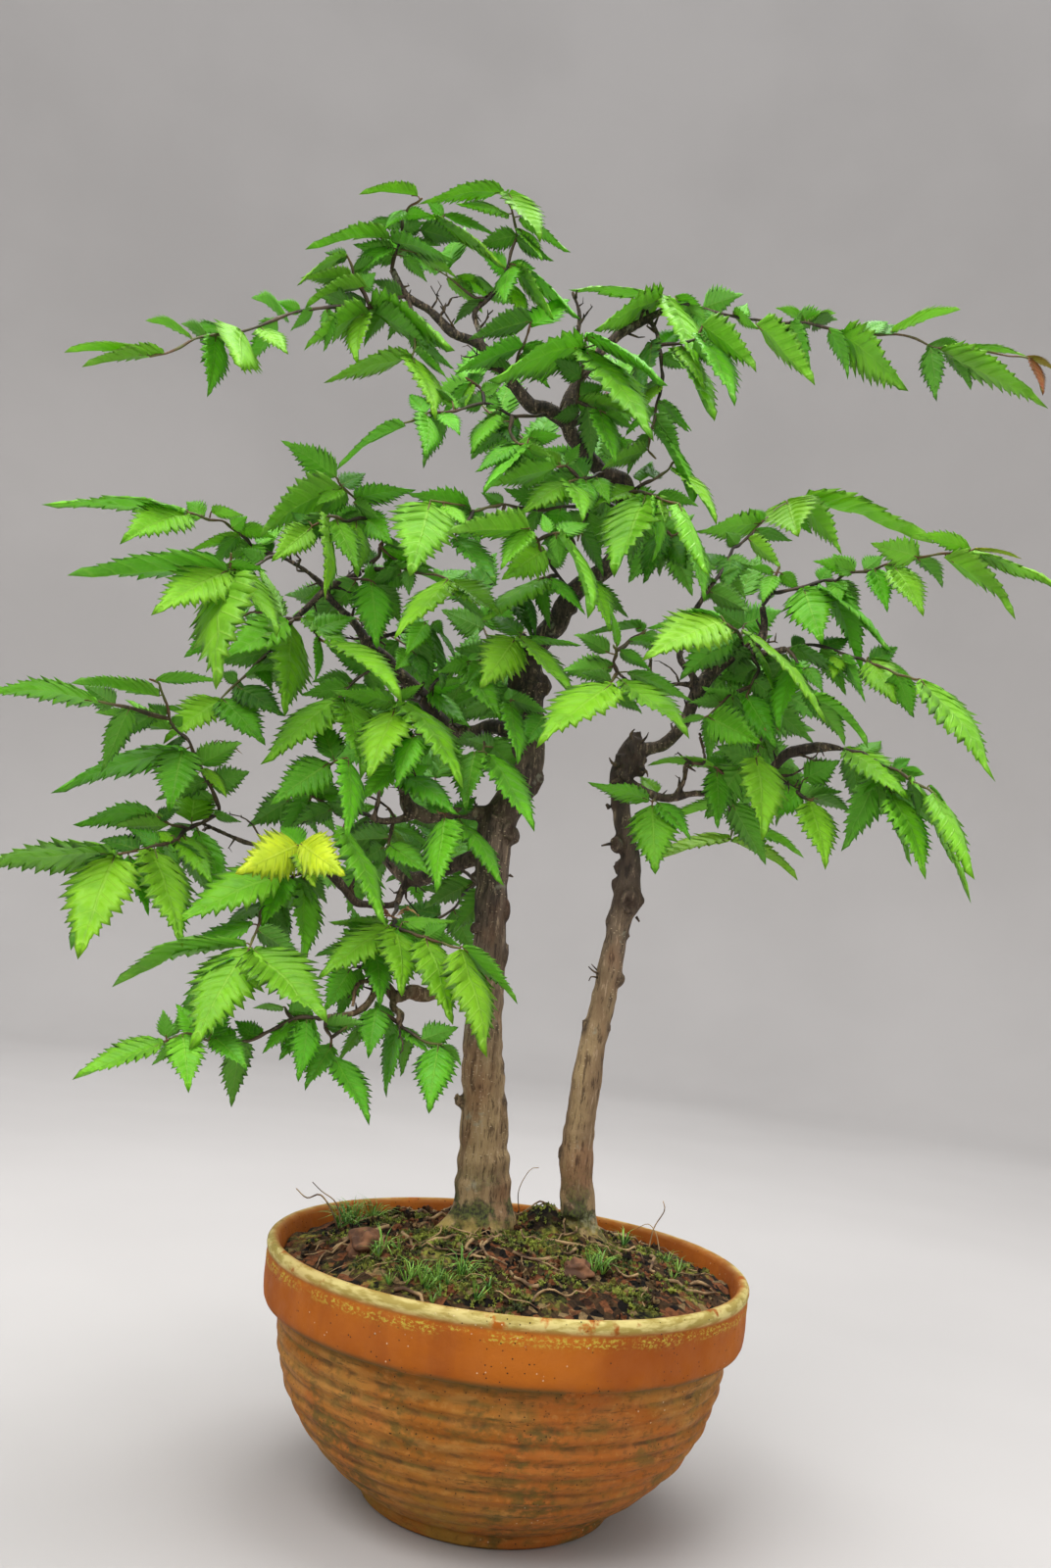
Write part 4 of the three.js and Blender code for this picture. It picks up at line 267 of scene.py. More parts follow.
# Moss and grass: a piece, its solid, and spots of x, y, radius and strength.
MOSS_PIECES = [
    ("moss_cushion_left", "moss_left", [(-36, -26, 24, 1), (-66, 24, 22, 0.6), (-58, -62, 20, 0.5),
        (-20, -78, 24, 0.6), (-88, -10, 16, 0.4)]),
    ("moss_cushion_middle", "moss_middle", [(10, -24, 22, 1), (12, 8, 18, 0.3), (52, -26, 22, 0.7),
        (84, 14, 20, 0.6), (40, 42, 26, 0.6), (26, -62, 18, 0.5), (62, -70, 16, 0.7), (88, -34, 14, 0.6),
        (0, -96, 14, 0.6)])]
GRASS_PIECES = [
    ("grass_left", "grass_tuft_left", [(-88, 26, 18, 1.5), (-96, -2, 8, 0.6), (-62, -48, 9, 0.5)]),
    ("grass_middle", "grass_tuft_middle", [(-22, -88, 20, 0.9), (-44, -80, 14, 0.7)]),
    ("grass_right", "grass_tuft_right", [(42, -48, 10, 1), (78, -30, 14, 0.6), (92, 6, 12, 0.5),
        (62, 12, 10, 0.4)])]

# Stones: a piece, its solid, x, y and half sizes.
STONES = [("stone_left_piece", "stone_left", -72, -46, (9, 7, 7)),
    ("stone_right_piece", "stone_right", 35, -58, (7, 5.5, 5))]

# Dry twigs that stand up from the soil: x, y, and points of dx, dy, dz, radius.
DRY_TWIGS = [
    (-96, 10, [(0, 0, 0, 0.6), (-4, 0, 9, 0.5), (-12, 2, 17, 0.5), (-19, 0, 15, 0.4), (-26, 2, 19, 0.3)]),
    (-94, 14, [(0, 0, 0, 0.4), (-5, 1, 14, 0.4), (-14, 0, 20, 0.3), (-20, 2, 24, 0.25)]),
    (80, 40, [(0, 0, 0, 0.4), (2, 0, 12, 0.35), (7, 0, 22, 0.3), (6, 2, 27, 0.25)]),
    (86, 36, [(0, 0, 0, 0.4), (-3, 0, 10, 0.3), (-8, 0, 15, 0.25), (-14, 0, 12, 0.2)]),
    (4, 20, [(0, 0, 0, 0.3), (-2, 0, 14, 0.25), (3, 0, 26, 0.2), (8, 0, 28, 0.2)])]

# Leafy shoots, those behind last: stems as rows of x, z, y, and leaves as rows of the base's x and z,
# the tip's x and z, how much deeper the tip lies, the width that shows and the colour's tone. The tone
# holds the leaf's own colour together with painted shade for leaves in shade and painted light for leaves lit
# through.
SHOOTS = {
    "top_left": ([[(-132, 686, -12), (-130, 700, -14), (-129, 711, -16), (-130, 720, -18), (-126, 728, -20),
        (-119, 734, -22)], [(-129, 711, -16), (-120, 712, -12), (-104, 724, -8)]],
        [(-122, 735, -155, 733, -14, 5, 3), (-109, 722, -67, 696, -10, 6, 3),
        (-107, 722, -129, 723, 6, 4, 3), (-104, 725, -72, 713, 6, 5, 2), (-129, 725, -139, 713, -6, 6, 1),
        (-136, 707, -182, 695, -16, 7, 2), (-134, 706, -98, 696, -18, 10, 1),
        (-135, 700, -153, 679, -12, 9, 1), (-118, 698, -94, 685, 8, 7, 3), (-126, 695, -111, 681, 6, 7, 1)]),
    "top_centre": ([[(-72, 672, 0), (-66, 684, -4), (-62, 697, -8), (-59, 715, -10), (-64, 732, -12),
        (-68, 742, -14)], [(-72, 672, 0), (-80, 673, 4), (-88, 678, 6), (-98, 685, 8)]],
        [(-70, 743, -117, 730, -10, 9, 2), (-67, 742, -46, 715, -14, 13, 2), (-58, 728, -28, 709, 8, 6, 2),
        (-65, 729, -96, 732, 10, 5, 3), (-58, 720, -43, 702, -8, 6, 2), (-61, 694, -62, 672, -14, 12, 1),
        (-59, 684, -48, 662, -6, 9, 3), (-58, 694, -33, 666, -10, 8, 3), (-57, 696, -18, 668, 6, 7, 1),
        (-92, 686, -69, 672, 12, 8, 2), (-98, 683, -76, 665, 14, 7, 2), (-106, 689, -146, 700, 18, 12, 1),
        (-100, 690, -92, 716, 22, 11, 1)]),
    "far_left": ([[(-121, 670, -12), (-142, 660, -18), (-156, 660, -22), (-172, 657, -26), (-189, 652, -30),
        (-209, 641, -36), (-228, 635, -42), (-245, 630, -48), (-261, 619, -52), (-270, 616, -54)],
        [(-142, 660, -18), (-154, 678, -20), (-160, 692, -22)], [(-121, 670, -12), (-116, 652, -18),
        (-112, 636, -22)]],
        [(-161, 693, -186, 672, -10, 5, 3), (-155, 678, -184, 675, -14, 9, 3),
        (-146, 674, -179, 658, -12, 6, 2), (-143, 658, -176, 632, -16, 13, 2),
        (-140, 664, -92, 641, -24, 15, 2), (-138, 658, -107, 639, -10, 9, 1),
        (-144, 655, -145, 626, -10, 12, 3), (-206, 641, -189, 627, -10, 10, 2),
        (-218, 637, -215, 616, -34, 21, 2.5), (-248, 632, -274, 638, 8, 6, 2),
        (-262, 619, -306, 606, -12, 7, 3), (-272, 617, -318, 613, -4, 5, 2),
        (-114, 633, -160, 612, -14, 10, 2.5), (-113, 632, -96, 597, -18, 14, 3),
        (-112, 636, -93, 622, -6, 5, 1), (-112, 642, -89, 628, -4, 6, 1)]),
    "inner_fork": ([[(-53, 624, 0), (-50, 640, -8), (-46, 652, -12), (-45, 660, -14)]],
        [(-44, 662, -78, 647, -10, 12, 0), (-48, 646, -83, 626, -12, 12, 1), (-44, 658, -24, 676, 16, 12, 1),
        (-48, 640, -30, 622, 12, 10, 1)]),
    "fork_front": ([[(-16, 606, 6), (-12, 614, -8), (-11, 630, -12), (-11, 650, -16), (-11, 658, -18)],
        [(-12, 614, -8), (-4, 611, -11), (4, 609, -13)]],
        [(-11, 650, -62, 624, -22, 17, 2), (-11, 657, 37, 632, -10, 5, 1), (-10, 646, 32, 598, -26, 17, 2),
        (-9, 614, 22, 609, -8, 8, 2), (2, 610, 13, 579, -14, 12, 1), (6, 608, 23, 599, -6, 5, 1),
        (-10, 607, -24, 602, -12, 8, 0)]),
    "far_right": ([[(35, 678, 13), (44, 682, 16), (52, 682, 18), (74, 677, 22), (91, 676, 24),
        (119, 677, 26), (140, 674, 28), (174, 675, 30), (196, 669, 28), (207, 670, 26), (241, 668, 22),
        (253, 668, 20)]],
        [(33, 684, -3, 661, -22, 15, 2), (30, 686, -20, 684, 10, 5, 2), (37, 684, 57, 644, -20, 14, 2),
        (40, 686, 59, 674, 8, 8, 2), (76, 680, 91, 671, -10, 6, 2), (90, 673, 125, 641, -14, 13, 3),
        (119, 679, 102, 684, 12, 6, 2), (121, 679, 136, 684, 14, 5, 2), (109, 673, 119, 653, 16, 8, 2),
        (141, 673, 180, 643, -22, 20, 3), (171, 677, 208, 693, 14, 6, 3), (208, 671, 251, 668, 10, 5, 3),
        (201, 668, 261, 640, -16, 14, 3), (254, 668, 262, 647, -6, 5, 5), (252, 669, 268, 662, 6, 4, 5)]),
    "hanging_right": ([[(33, 654, 10), (36, 640, 6), (37, 628, 4), (35, 616, 2), (33, 599, 0), (33, 588, -2),
        (38, 583, -6)], [(33, 654, 10), (45, 656, 2), (56, 661, -4), (58, 668, -6)]],
        [(58, 670, 90, 645, -14, 15, 2), (58, 663, 79, 623, -20, 13, 1), (47, 655, 62, 631, -12, 9, 2),
        (42, 652, 68, 613, -16, 10, 2), (29, 655, 28, 620, -14, 12, 0), (36, 628, 28, 613, -6, 6, 3),
        (38, 619, 56, 603, -6, 4, 1), (32, 588, 9, 574, -14, 9, 2), (36, 601, 60, 560, -14, 3.5, 1)]),
    "thin_left": ([[(-27, 604, 6), (-36, 602, -4), (-50, 601, -12), (-67, 607, -18), (-80, 602, -22),
        (-91, 599, -26), (-101, 597, -30), (-113, 590, -34)], [(-50, 601, -12), (-50, 592, -20),
        (-44, 584, -26), (-38, 583, -28)], [(-67, 607, -18), (-70, 616, -16), (-80, 622, -18)]],
        [(-91, 598, -80, 586, -10, 9, 1), (-100, 596, -98, 572, -16, 14, 1),
        (-113, 589, -147, 560, -12, 4.5, 1), (-83, 602, -94, 615, 6, 7, 1), (-76, 618, -78, 604, -4, 5, 2),
        (-60, 601, -71, 577, -14, 11, 1), (-38, 583, -59, 553, -12, 6, 1), (-45, 585, -66, 566, -10, 9, 1),
        (-54, 597, -46, 582, -8, 10, 0), (-44, 584, -56, 563, 8, 12, 0), (-38, 588, -20, 592, -8, 8, 1),
        (-38, 582, -24, 578, -4, 6, 3), (-86, 606, -104, 611, 8, 5, 0)]),
    "bend": ([[(9, 571, 6), (2, 568, -8), (-6, 566, -14), (-12, 564, -20)], [(-6, 566, -14), (-14, 573, -16),
        (-20, 572, -18)]],
        [(-20, 572, -58, 556, -18, 11, 1.5), (-18, 574, -30, 582, -6, 6, 3), (-14, 574, -8, 587, -8, 7, 1),
        (-12, 563, -36, 543, -18, 14, 2), (-11, 563, -2, 542, -22, 13, 2), (-2, 566, 3, 549, -12, 9, 1),
        (4, 568, 13, 553, -8, 10, 1)]),
    "elbow": ([[(23, 560, 6), (30, 562, -10), (36, 561, -20), (45, 558, -26), (54, 557, -30)], [(23, 560, 6),
        (31, 566, 0), (38, 570, -4), (46, 577, -6), (51, 584, -8)], [(22, 546, 6), (36, 547, 0),
        (46, 541, -4), (52, 537, -6), (60, 541, -10)], [(23, 560, 6), (28, 552, -2), (36, 547, 0)]],
        [(28, 563, 6, 550, -14, 10, 2), (34, 559, 22, 512, -30, 27, 2), (39, 559, 42, 523, -10, 7, 2),
        (54, 557, 74, 518, -16, 9, 2), (48, 578, 75, 549, -14, 7, 3), (46, 538, 38, 509, -8, 13, 0.1),
        (51, 535, 61, 519, -6, 15, 0.2), (60, 540, 73, 502, -12, 10, 0.9), (30, 568, 36, 580, 10, 7, 1),
        (44, 557, 47, 545, -8, 5, 3)]),
    "mid_left": ([[(19, 556, 8), (12, 558, 2), (2, 552, -6), (-14, 548, -14), (-35, 545, -20),
        (-48, 546, -22), (-58, 543, -24), (-66, 540, -26), (-78, 543, -30), (-92, 544, -34)],
        [(-48, 546, -22), (-49, 540, -23)], [(2, 552, -6), (-1, 540, -6), (-3, 528, -7)], [(-66, 540, -26),
        (-72, 530, -30), (-75, 523, -32)]],
        [(-68, 542, -103, 547, -10, 13, 1), (-92, 543, -98, 501, -26, 32, 2), (-84, 542, -68, 530, -8, 7, 2),
        (-75, 522, -50, 498, -12, 12, 0.5), (-15, 547, -18, 530, -8, 15, 1)]),
    "centre": ([[(-3, 495, 6), (-12, 506, -8), (-20, 516, -18), (-26, 526, -26), (-32, 533, -32)],
        [(-26, 526, -26), (-18, 531, -30), (-13, 532, -32)], [(-3, 495, 6), (1, 502, -8), (4, 509, -14)],
        [(-12, 506, -8), (-19, 504, -16), (-30, 498, -12), (-38, 490, -6)]],
        [(-32, 533, -76, 525, -18, 13, 2.5), (-32, 532, -45, 508, -10, 12, 2),
        (-22, 521, -43, 502, -20, 20, 2.8), (-13, 531, 7, 487, -20, 7, 2.2), (-20, 531, -25, 542, 4, 7, 1),
        (-18, 505, 4, 486, -12, 8, 1), (-20, 505, -52, 478, -20, 11, 1.6), (4, 508, 20, 478, -18, 12, 2.2),
        (-38, 489, -25, 468, -10, 9, 0), (-31, 496, -22, 470, -6, 6, 0), (-16, 530, -12, 513, 8, 9, 1)]),
    "left_centre": ([[(-127, 497, 0), (-112, 500, -4), (-104, 502, -6), (-90, 499, -12), (-76, 497, -18),
        (-70, 494, -20)], [(-104, 502, -6), (-112, 508, -8), (-119, 514, -10)]],
        [(-76, 497, -101, 461, -24, 14, 2.8), (-73, 496, -46, 480, -14, 13, 2),
        (-112, 501, -76, 493, -4, 4, 0.5), (-117, 516, -102, 511, -6, 4, 0), (-96, 504, -85, 503, -6, 3, 0),
        (-74, 490, -50, 473, -6, 6, 0.5), (-104, 498, -118, 486, 14, 12, 0.3)]),
    "left_node": ([[(-124, 497, 0), (-118, 507, -4), (-117, 516, -8), (-127, 529, -12), (-137, 541, -16),
        (-147, 549, -20), (-150, 553, -22)], [(-127, 529, -12), (-140, 526, -20), (-152, 528, -26),
        (-160, 521, -28)]],
        [(-137, 541, -104, 549, -14, 11, 1), (-137, 538, -121, 530, -6, 8, 1),
        (-130, 531, -112, 516, -8, 15, 1.2), (-134, 526, -129, 496, -12, 14, 1.8),
        (-149, 553, -182, 570, -14, 15, 1.5), (-147, 547, -187, 514, -20, 20, 2),
        (-145, 546, -158, 534, -10, 9, 1.6), (-152, 528, -147, 481, -18, 9, 3),
        (-146, 527, -130, 498, -8, 14, 2), (-160, 520, -179, 499, -12, 16, 2.5),
        (-161, 523, -172, 528, 8, 6, 0)]),
    "left_upper": ([[(-175, 501, -4), (-188, 504, -8), (-194, 506, -12), (-200, 511, -16), (-213, 519, -22),
        (-228, 521, -28), (-234, 522, -30)], [(-175, 501, -4), (-188, 495, -20), (-197, 492, -32),
        (-204, 490, -40), (-205, 500, -42)]],
        [(-235, 523, -314, 519, -10, 7, 2), (-234, 521, -268, 501, -30, 19, 2.2),
        (-220, 524, -202, 524, -6, 7, 3), (-202, 515, -182, 512, 14, 9, 1.8),
        (-201, 511, -229, 498, -8, 5, 3), (-194, 506, -187, 491, -4, 13, 1.2),
        (-190, 506, -176, 519, 10, 7, 1.5), (-206, 491, -291, 476, -14, 13, 1.2),
        (-205, 490, -243, 461, -30, 24, 2.8), (-203, 489, -203, 424, -30, 27, 2.6),
        (-199, 490, -174, 455, -18, 12, 2), (-207, 493, -184, 491, 8, 6, 1.5)]),
    "left_middle": ([[(-163, 464, -2), (-167, 462, -12)], [(-163, 464, -2), (-158, 465, -8),
        (-150, 458, -14), (-141, 452, -20)], [(-163, 464, -2), (-172, 463, 2), (-187, 466, 2),
        (-198, 461, 2)], [(-163, 464, -2), (-171, 450, 6), (-182, 435, 2), (-191, 423, -6),
        (-199, 413, -12)]],
        [(-167, 462, -199, 437, -24, 18, 1.8), (-166, 461, -161, 411, -30, 22, 2.8),
        (-170, 465, -186, 492, 8, 8, 2), (-157, 465, -128, 444, -12, 10, 1.8),
        (-141, 452, -98, 425, -20, 12, 2.7), (-147, 455, -146, 430, -6, 5, 1),
        (-199, 460, -222, 437, -6, 16, 1), (-194, 463, -216, 475, 18, 14, 1),
        (-190, 421, -163, 408, -12, 14, 0.2), (-198, 413, -172, 390, -16, 17, 0.8),
        (-191, 425, -201, 428, -4, 7, 0.4), (-187, 428, -160, 432, 14, 8, 0.7),
        (-199, 412, -226, 385, -20, 17, 2.6), (-176, 442, -160, 416, 16, 11, 0.2),
        (-171, 448, -162, 434, 8, 7, 0.3)]),
    "left_dark": ([[(-136, 491, 2), (-128, 492, -6), (-121, 492, -10)], [(-136, 491, 2), (-137, 484, 14),
        (-142, 478, 18)]],
        [(-121, 491, -113, 455, -10, 20, 1), (-130, 490, -142, 472, 16, 16, 0.3),
        (-118, 490, -101, 470, 22, 14, 0.2), (-143, 477, -168, 478, 12, 14, 0),
        (-142, 476, -150, 458, 14, 12, 0.2)]),
    "branch_four": ([[(-97, 464, 6), (-90, 466, -2), (-84, 468, -6), (-79, 468, -8)], [(-90, 466, -2),
        (-91, 458, -6), (-92, 452, -8)]],
        [(-86, 470, -95, 450, -10, 13, 1), (-93, 452, -100, 441, -8, 12, 0.8),
        (-90, 451, -82, 435, -8, 9, 0.2), (-82, 471, -75, 464, -4, 7, 0.3), (-83, 466, -73, 434, -8, 5, 0.3),
        (-78, 466, -67, 450, -4, 3, 0.3)]),
    "tan_stem": ([[(-84, 427, 20), (-77, 435, 2), (-70, 441, -6), (-57, 449, -14), (-52, 451, -16)],
        [(-84, 427, 20), (-89, 424, -4), (-98, 419, -20)]],
        [(-58, 450, -75, 442, -8, 9, 0.9), (-52, 450, -58, 437, -6, 9, 0.5),
        (-60, 445, -38, 419, -16, 14, 1.2), (-78, 434, -60, 437, -6, 5, 1.8),
        (-98, 421, -133, 424, -14, 11, 1.8), (-98, 417, -107, 378, -30, 24, 2.9),
        (-97, 423, -84, 433, -4, 6, 1.8), (-93, 422, -57, 379, -30, 16, 2.2),
        (-80, 429, -55, 412, -6, 8, 1)]),
    "pale_left": ([[(-108, 446, 14), (-118, 436, 0), (-127, 426, -12), (-131, 421, -18)]],
        [(-131, 421, -168, 381, -24, 17, 2), (-128, 420, -114, 378, -22, 20, 2),
        (-124, 430, -146, 428, 8, 9, 0.4), (-116, 437, -104, 420, 10, 9, 1)]),
    "left_low": ([[(-200, 340, -8), (-191, 348, -10), (-197, 360, -16), (-206, 374, -20), (-213, 385, -24),
        (-221, 391, -26), (-227, 398, -28), (-229, 405, -30), (-233, 412, -32), (-236, 418, -34),
        (-242, 420, -36)], [(-227, 398, -28), (-250, 402, -40), (-262, 403, -44), (-270, 404, -46)]],
        [(-235, 411, -283, 413, -12, 7, 1.8), (-238, 420, -202, 423, 10, 6, 1.2),
        (-270, 404, -336, 402, -10, 12, 2), (-226, 392, -267, 397, -14, 9, 1.5),
        (-222, 392, -252, 405, 10, 4, 1.8), (-230, 405, -220, 404, 6, 3, 1),
        (-216, 381, -284, 353, -20, 12, 1), (-217, 380, -219, 346, -22, 22, 0.7),
        (-207, 373, -185, 387, -10, 13, 1.5), (-203, 371, -189, 357, -8, 6, 2.8)]),
    "left_cluster": ([[(-200, 340, -8), (-207, 336, -14), (-217, 337, -20), (-228, 342, -24)],
        [(-207, 336, -14), (-213, 329, -21), (-226, 324, -27), (-236, 320, -31), (-246, 317, -34)]],
        [(-228, 343, -270, 333, -14, 12, 1), (-226, 341, -215, 346, 8, 7, 0),
        (-206, 340, -206, 363, 10, 22, 1.8), (-219, 337, -247, 333, -14, 9, 2),
        (-215, 331, -232, 328, -10, 6, 3), (-246, 318, -325, 304, -16, 16, 2.2),
        (-247, 316, -258, 261, -32, 30, 2.9), (-243, 317, -262, 265, -2, 24, 0.6),
        (-239, 317, -224, 287, -6, 10, 0.9), (-225, 323, -203, 273, -26, 22, 2.6),
        (-210, 332, -190, 308, -16, 14, 2.3), (-202, 336, -183, 299, 2, 14, 1),
        (-211, 328, -190, 301, 14, 11, 0.3)]),
    "yellow": ([[(-128, 324, -12), (-134, 328, -21), (-143, 333, -29)], [(-128, 324, -12), (-136, 318, -15),
        (-143, 316, -19), (-152, 316, -23)], [(-143, 316, -19), (-151, 303, -22), (-160, 293, -26),
        (-161, 281, -30), (-163, 273, -34)]],
        [(-144, 333, -174, 315, -26, 24, 4), (-142, 334, -117, 320, -24, 22, 4),
        (-142, 331, -131, 312, -16, 10, 3.6), (-143, 328, -165, 318, 6, 7, 1),
        (-152, 316, -203, 284, -26, 21, 1.9), (-147, 315, -157, 286, -16, 15, 1.2),
        (-137, 312, -134, 270, -18, 15, 1.7), (-138, 316, -124, 303, 12, 10, 0.2),
        (-157, 296, -142, 285, 8, 12, 0.2), (-163, 273, -187, 218, -34, 29, 2.7),
        (-161, 272, -118, 238, -30, 25, 1.9), (-163, 286, -203, 265, -10, 9, 1),
        (-166, 275, -232, 246, 10, 9, 1.5), (-165, 270, -201, 222, 7, 12, 1)]),
    "lower_left": ([[(-115, 239, -28), (-122, 238, -30), (-134, 236, -32), (-146, 228, -33),
        (-155, 222, -35), (-163, 221, -36), (-178, 219, -40), (-192, 222, -44), (-204, 216, -48)],
        [(-115, 239, -28), (-115, 233, -28), (-111, 228, -28), (-109, 218, -28)], [(-111, 228, -28),
        (-103, 235, -30)], [(-134, 236, -32), (-139, 242, -30)]],
        [(-184, 221, -199, 236, 10, 12, 0.8), (-203, 218, -207, 232, -6, 8, 1.2),
        (-204, 215, -248, 192, -18, 11, 2), (-194, 220, -187, 192, -18, 18, 1.6),
        (-176, 221, -157, 206, -14, 13, 0.7), (-149, 226, -166, 226, 4, 5, 1.2),
        (-131, 236, -147, 217, -6, 9, 1), (-126, 236, -126, 205, -12, 15, 1),
        (-140, 242, -156, 240, 6, 4, 1.2), (-137, 240, -126, 240, 4, 4, 1.2),
        (-110, 224, -121, 200, -14, 12, 0.6), (-108, 217, -86, 186, -16, 13, 0.9),
        (-179, 221, -172, 241, 14, 12, 0.7)]),
    "lower_fan": ([[(-84, 306, 12), (-85, 299, -8), (-84, 294, -20), (-74, 291, -22), (-66, 289, -24),
        (-55, 287, -24), (-45, 285, -26)]],
        [(-86, 293, -120, 262, -26, 18, 3), (-82, 292, -75, 258, -28, 20, 3),
        (-65, 288, -46, 246, -26, 19, 3), (-45, 284, -24, 232, -26, 20, 2.9),
        (-44, 286, -12, 260, 4, 8, 1.8), (-66, 290, -46, 286, 8, 8, 1), (-87, 296, -118, 292, -6, 6, 2),
        (-79, 296, -51, 300, 10, 8, 1.7)]),
    "branch_three_up": ([[(-96, 268, -16), (-98, 276, -18), (-94, 281, -20)], [(-96, 268, -16),
        (-104, 268, -22)]],
        [(-105, 267, -116, 244, -12, 15, 0.7), (-94, 280, -87, 250, -18, 15, 0.7),
        (-99, 277, -124, 272, 8, 10, 0.6), (-97, 281, -108, 300, 14, 11, 0.5)]),
    "branch_three_low": ([[(-75, 240, -22), (-72, 238, -24), (-60, 232, -26), (-51, 231, -28)],
        [(-75, 240, -22), (-82, 244, -24), (-88, 246, -24)]],
        [(-88, 246, -89, 221, -12, 15, 1), (-74, 238, -56, 226, -6, 7, 0.9), (-90, 246, -95, 229, 4, 4, 0.7),
        (-51, 230, -52, 196, -18, 19, 1), (-49, 231, -38, 221, 6, 6, 0.7), (-82, 242, -76, 226, 8, 8, 0.7)]),
    "branch_two": ([[(-55, 361, -8), (-57, 360, -16), (-63, 360, -22)]],
        [(-62, 357, -62, 318, -22, 18, 1), (-54, 358, -26, 326, -18, 10, 1), (-66, 360, -72, 372, 6, 9, 0.2),
        (-56, 361, -46, 371, 10, 8, 0.4)]),
    "branch_one_up": ([[(-91, 377, -16), (-90, 390, -20), (-85, 404, -24)]],
        [(-88, 379, -57, 362, -16, 13, 1), (-93, 384, -110, 362, -12, 12, 1),
        (-85, 403, -92, 374, -10, 14, 1), (-90, 391, -74, 398, 10, 9, 0.5),
        (-88, 397, -104, 408, 14, 10, 0.3)]),
    "branch_one_left": ([[(-104, 354, -16), (-112, 355, -14), (-123, 353, -12), (-129, 358, -10),
        (-137, 361, -8), (-143, 363, -8), (-150, 359, -10)], [(-143, 363, -8), (-138, 373, -16),
        (-130, 382, -22), (-122, 386, -26)], [(-112, 355, -14), (-117, 350, -20), (-119, 346, -24)]],
        [(-132, 382, -160, 357, -18, 20, 0.9), (-121, 385, -116, 343, -20, 14, 1.2),
        (-151, 359, -172, 342, 6, 16, 0.1), (-147, 359, -133, 340, 8, 6, 0.9),
        (-140, 359, -123, 343, 14, 9, 1.2), (-129, 384, -140, 405, 10, 14, 0.3),
        (-119, 345, -90, 297, -26, 13, 1.8), (-113, 357, -102, 360, 8, 6, 1.2)]),
    "branch_one_down": ([[(-91, 353, -14), (-92, 342, -16), (-93, 336, -18)]],
        [(-92, 339, -68, 325, -10, 12, 1.2), (-94, 344, -104, 352, 10, 6, 1.2),
        (-90, 349, -68, 338, 6, 3.5, 1), (-95, 337, -106, 328, 14, 12, 0.2),
        (-90, 347, -84, 336, 10, 6, 2.6)]),
    "branch_four_near": ([[(-46, 410, 14), (-44, 402, -6), (-44, 398, -14)]],
        [(-49, 397, -50, 365, -16, 17, 0.7), (-41, 396, -13, 358, -20, 15, 1.1),
        (-39, 401, -54, 404, 8, 12, 0.2), (-47, 404, -61, 400, 14, 9, 0)]),
    "trunk_front": ([[(-20, 424, 4), (-24, 429, -12), (-32, 430, -17)], [(-20, 424, 4), (-12, 423, -14)]],
        [(-32, 430, -11, 424, -8, 8, 0.3), (-12, 422, -22, 403, -12, 14, 0.5),
        (-32, 427, -25, 395, -20, 13, 1.2)]),
    "trunk_bright": ([[(-24, 458, 4), (-28, 465, -12), (-32, 467, -20)]],
        [(-33, 466, -49, 437, -24, 24, 2.6), (-31, 467, 1, 438, -22, 9, 2), (-27, 467, 3, 466, -8, 3.5, 1),
        (-30, 469, -50, 478, 12, 9, 0.6)]),
    "centre_right": ([[(28, 452, -22), (25, 458, -24), (26, 465, -26), (24, 468, -28)], [(28, 452, -22),
        (25, 446, -28)], [(26, 465, -26), (34, 473, -18), (42, 479, -14)]],
        [(25, 445, -11, 407, -30, 22, 2.7), (22, 454, -2, 450, -8, 13, 1.4), (22, 463, 2, 471, -6, 9, 0.7),
        (26, 467, 20, 490, -8, 4, 1.9), (28, 465, 46, 455, 6, 7, 0.9), (40, 480, 8, 472, -12, 4, 0.9),
        (30, 448, 69, 420, -22, 13, 2.8), (34, 453, 70, 441, 4, 8, 1.3), (26, 440, 43, 430, -4, 8, 0.4),
        (41, 477, 53, 466, 8, 10, 0.6)]),
    "yellow_right": ([[(98, 472, 6), (97, 480, -12), (92, 485, -24), (87, 488, -32)], [(98, 472, 6),
        (104, 480, 0)]],
        [(86, 488, 45, 463, -26, 24, 2.9), (84, 492, 45, 481, 12, 10, 1), (99, 484, 147, 438, -34, 5, 3),
        (103, 479, 118, 452, -12, 4, 1.9), (95, 476, 98, 454, 14, 14, 0), (90, 480, 66, 453, 22, 18, 0.7),
        (93, 479, 84, 450, 30, 15, 0.2)]),
    "upper_right": ([[(74, 503, -2), (79, 512, 2), (84, 522, 6), (88, 533, 10), (93, 537, 12),
        (100, 546, 16), (108, 555, 20), (118, 564, 22), (127, 569, 24)]],
        [(128, 569, 198, 549, -8, 7, 3), (117, 565, 125, 545, -30, 28, 2.6),
        (126, 566, 150, 538, -10, 12, 3), (96, 540, 115, 524, -8, 9, 2.8), (103, 550, 68, 542, -14, 12, 1.9),
        (87, 527, 87, 509, -8, 14, 0.2), (82, 514, 99, 519, 8, 6, 1), (80, 511, 66, 514, -6, 3, 0.2),
        (83, 517, 97, 504, 6, 9, 1.2), (78, 509, 72, 498, 8, 7, 0.2)]),
    "right": ([[(108, 500, 8), (113, 508, 4), (122, 511, 0), (133, 515, -4), (142, 519, -8), (150, 520, -12),
        (160, 526, -18), (175, 531, -24), (182, 533, -28), (195, 538, -34), (205, 541, -40), (214, 543, -44),
        (226, 545, -48)], [(113, 508, 4), (114, 517, -2), (116, 525, -4)]],
        [(183, 531, 200, 506, -16, 14, 3), (196, 539, 170, 544, -10, 15, 2.2),
        (226, 546, 196, 552, 10, 9, 2.6), (212, 541, 252, 511, -16, 10, 3), (227, 545, 276, 531, -8, 6, 3),
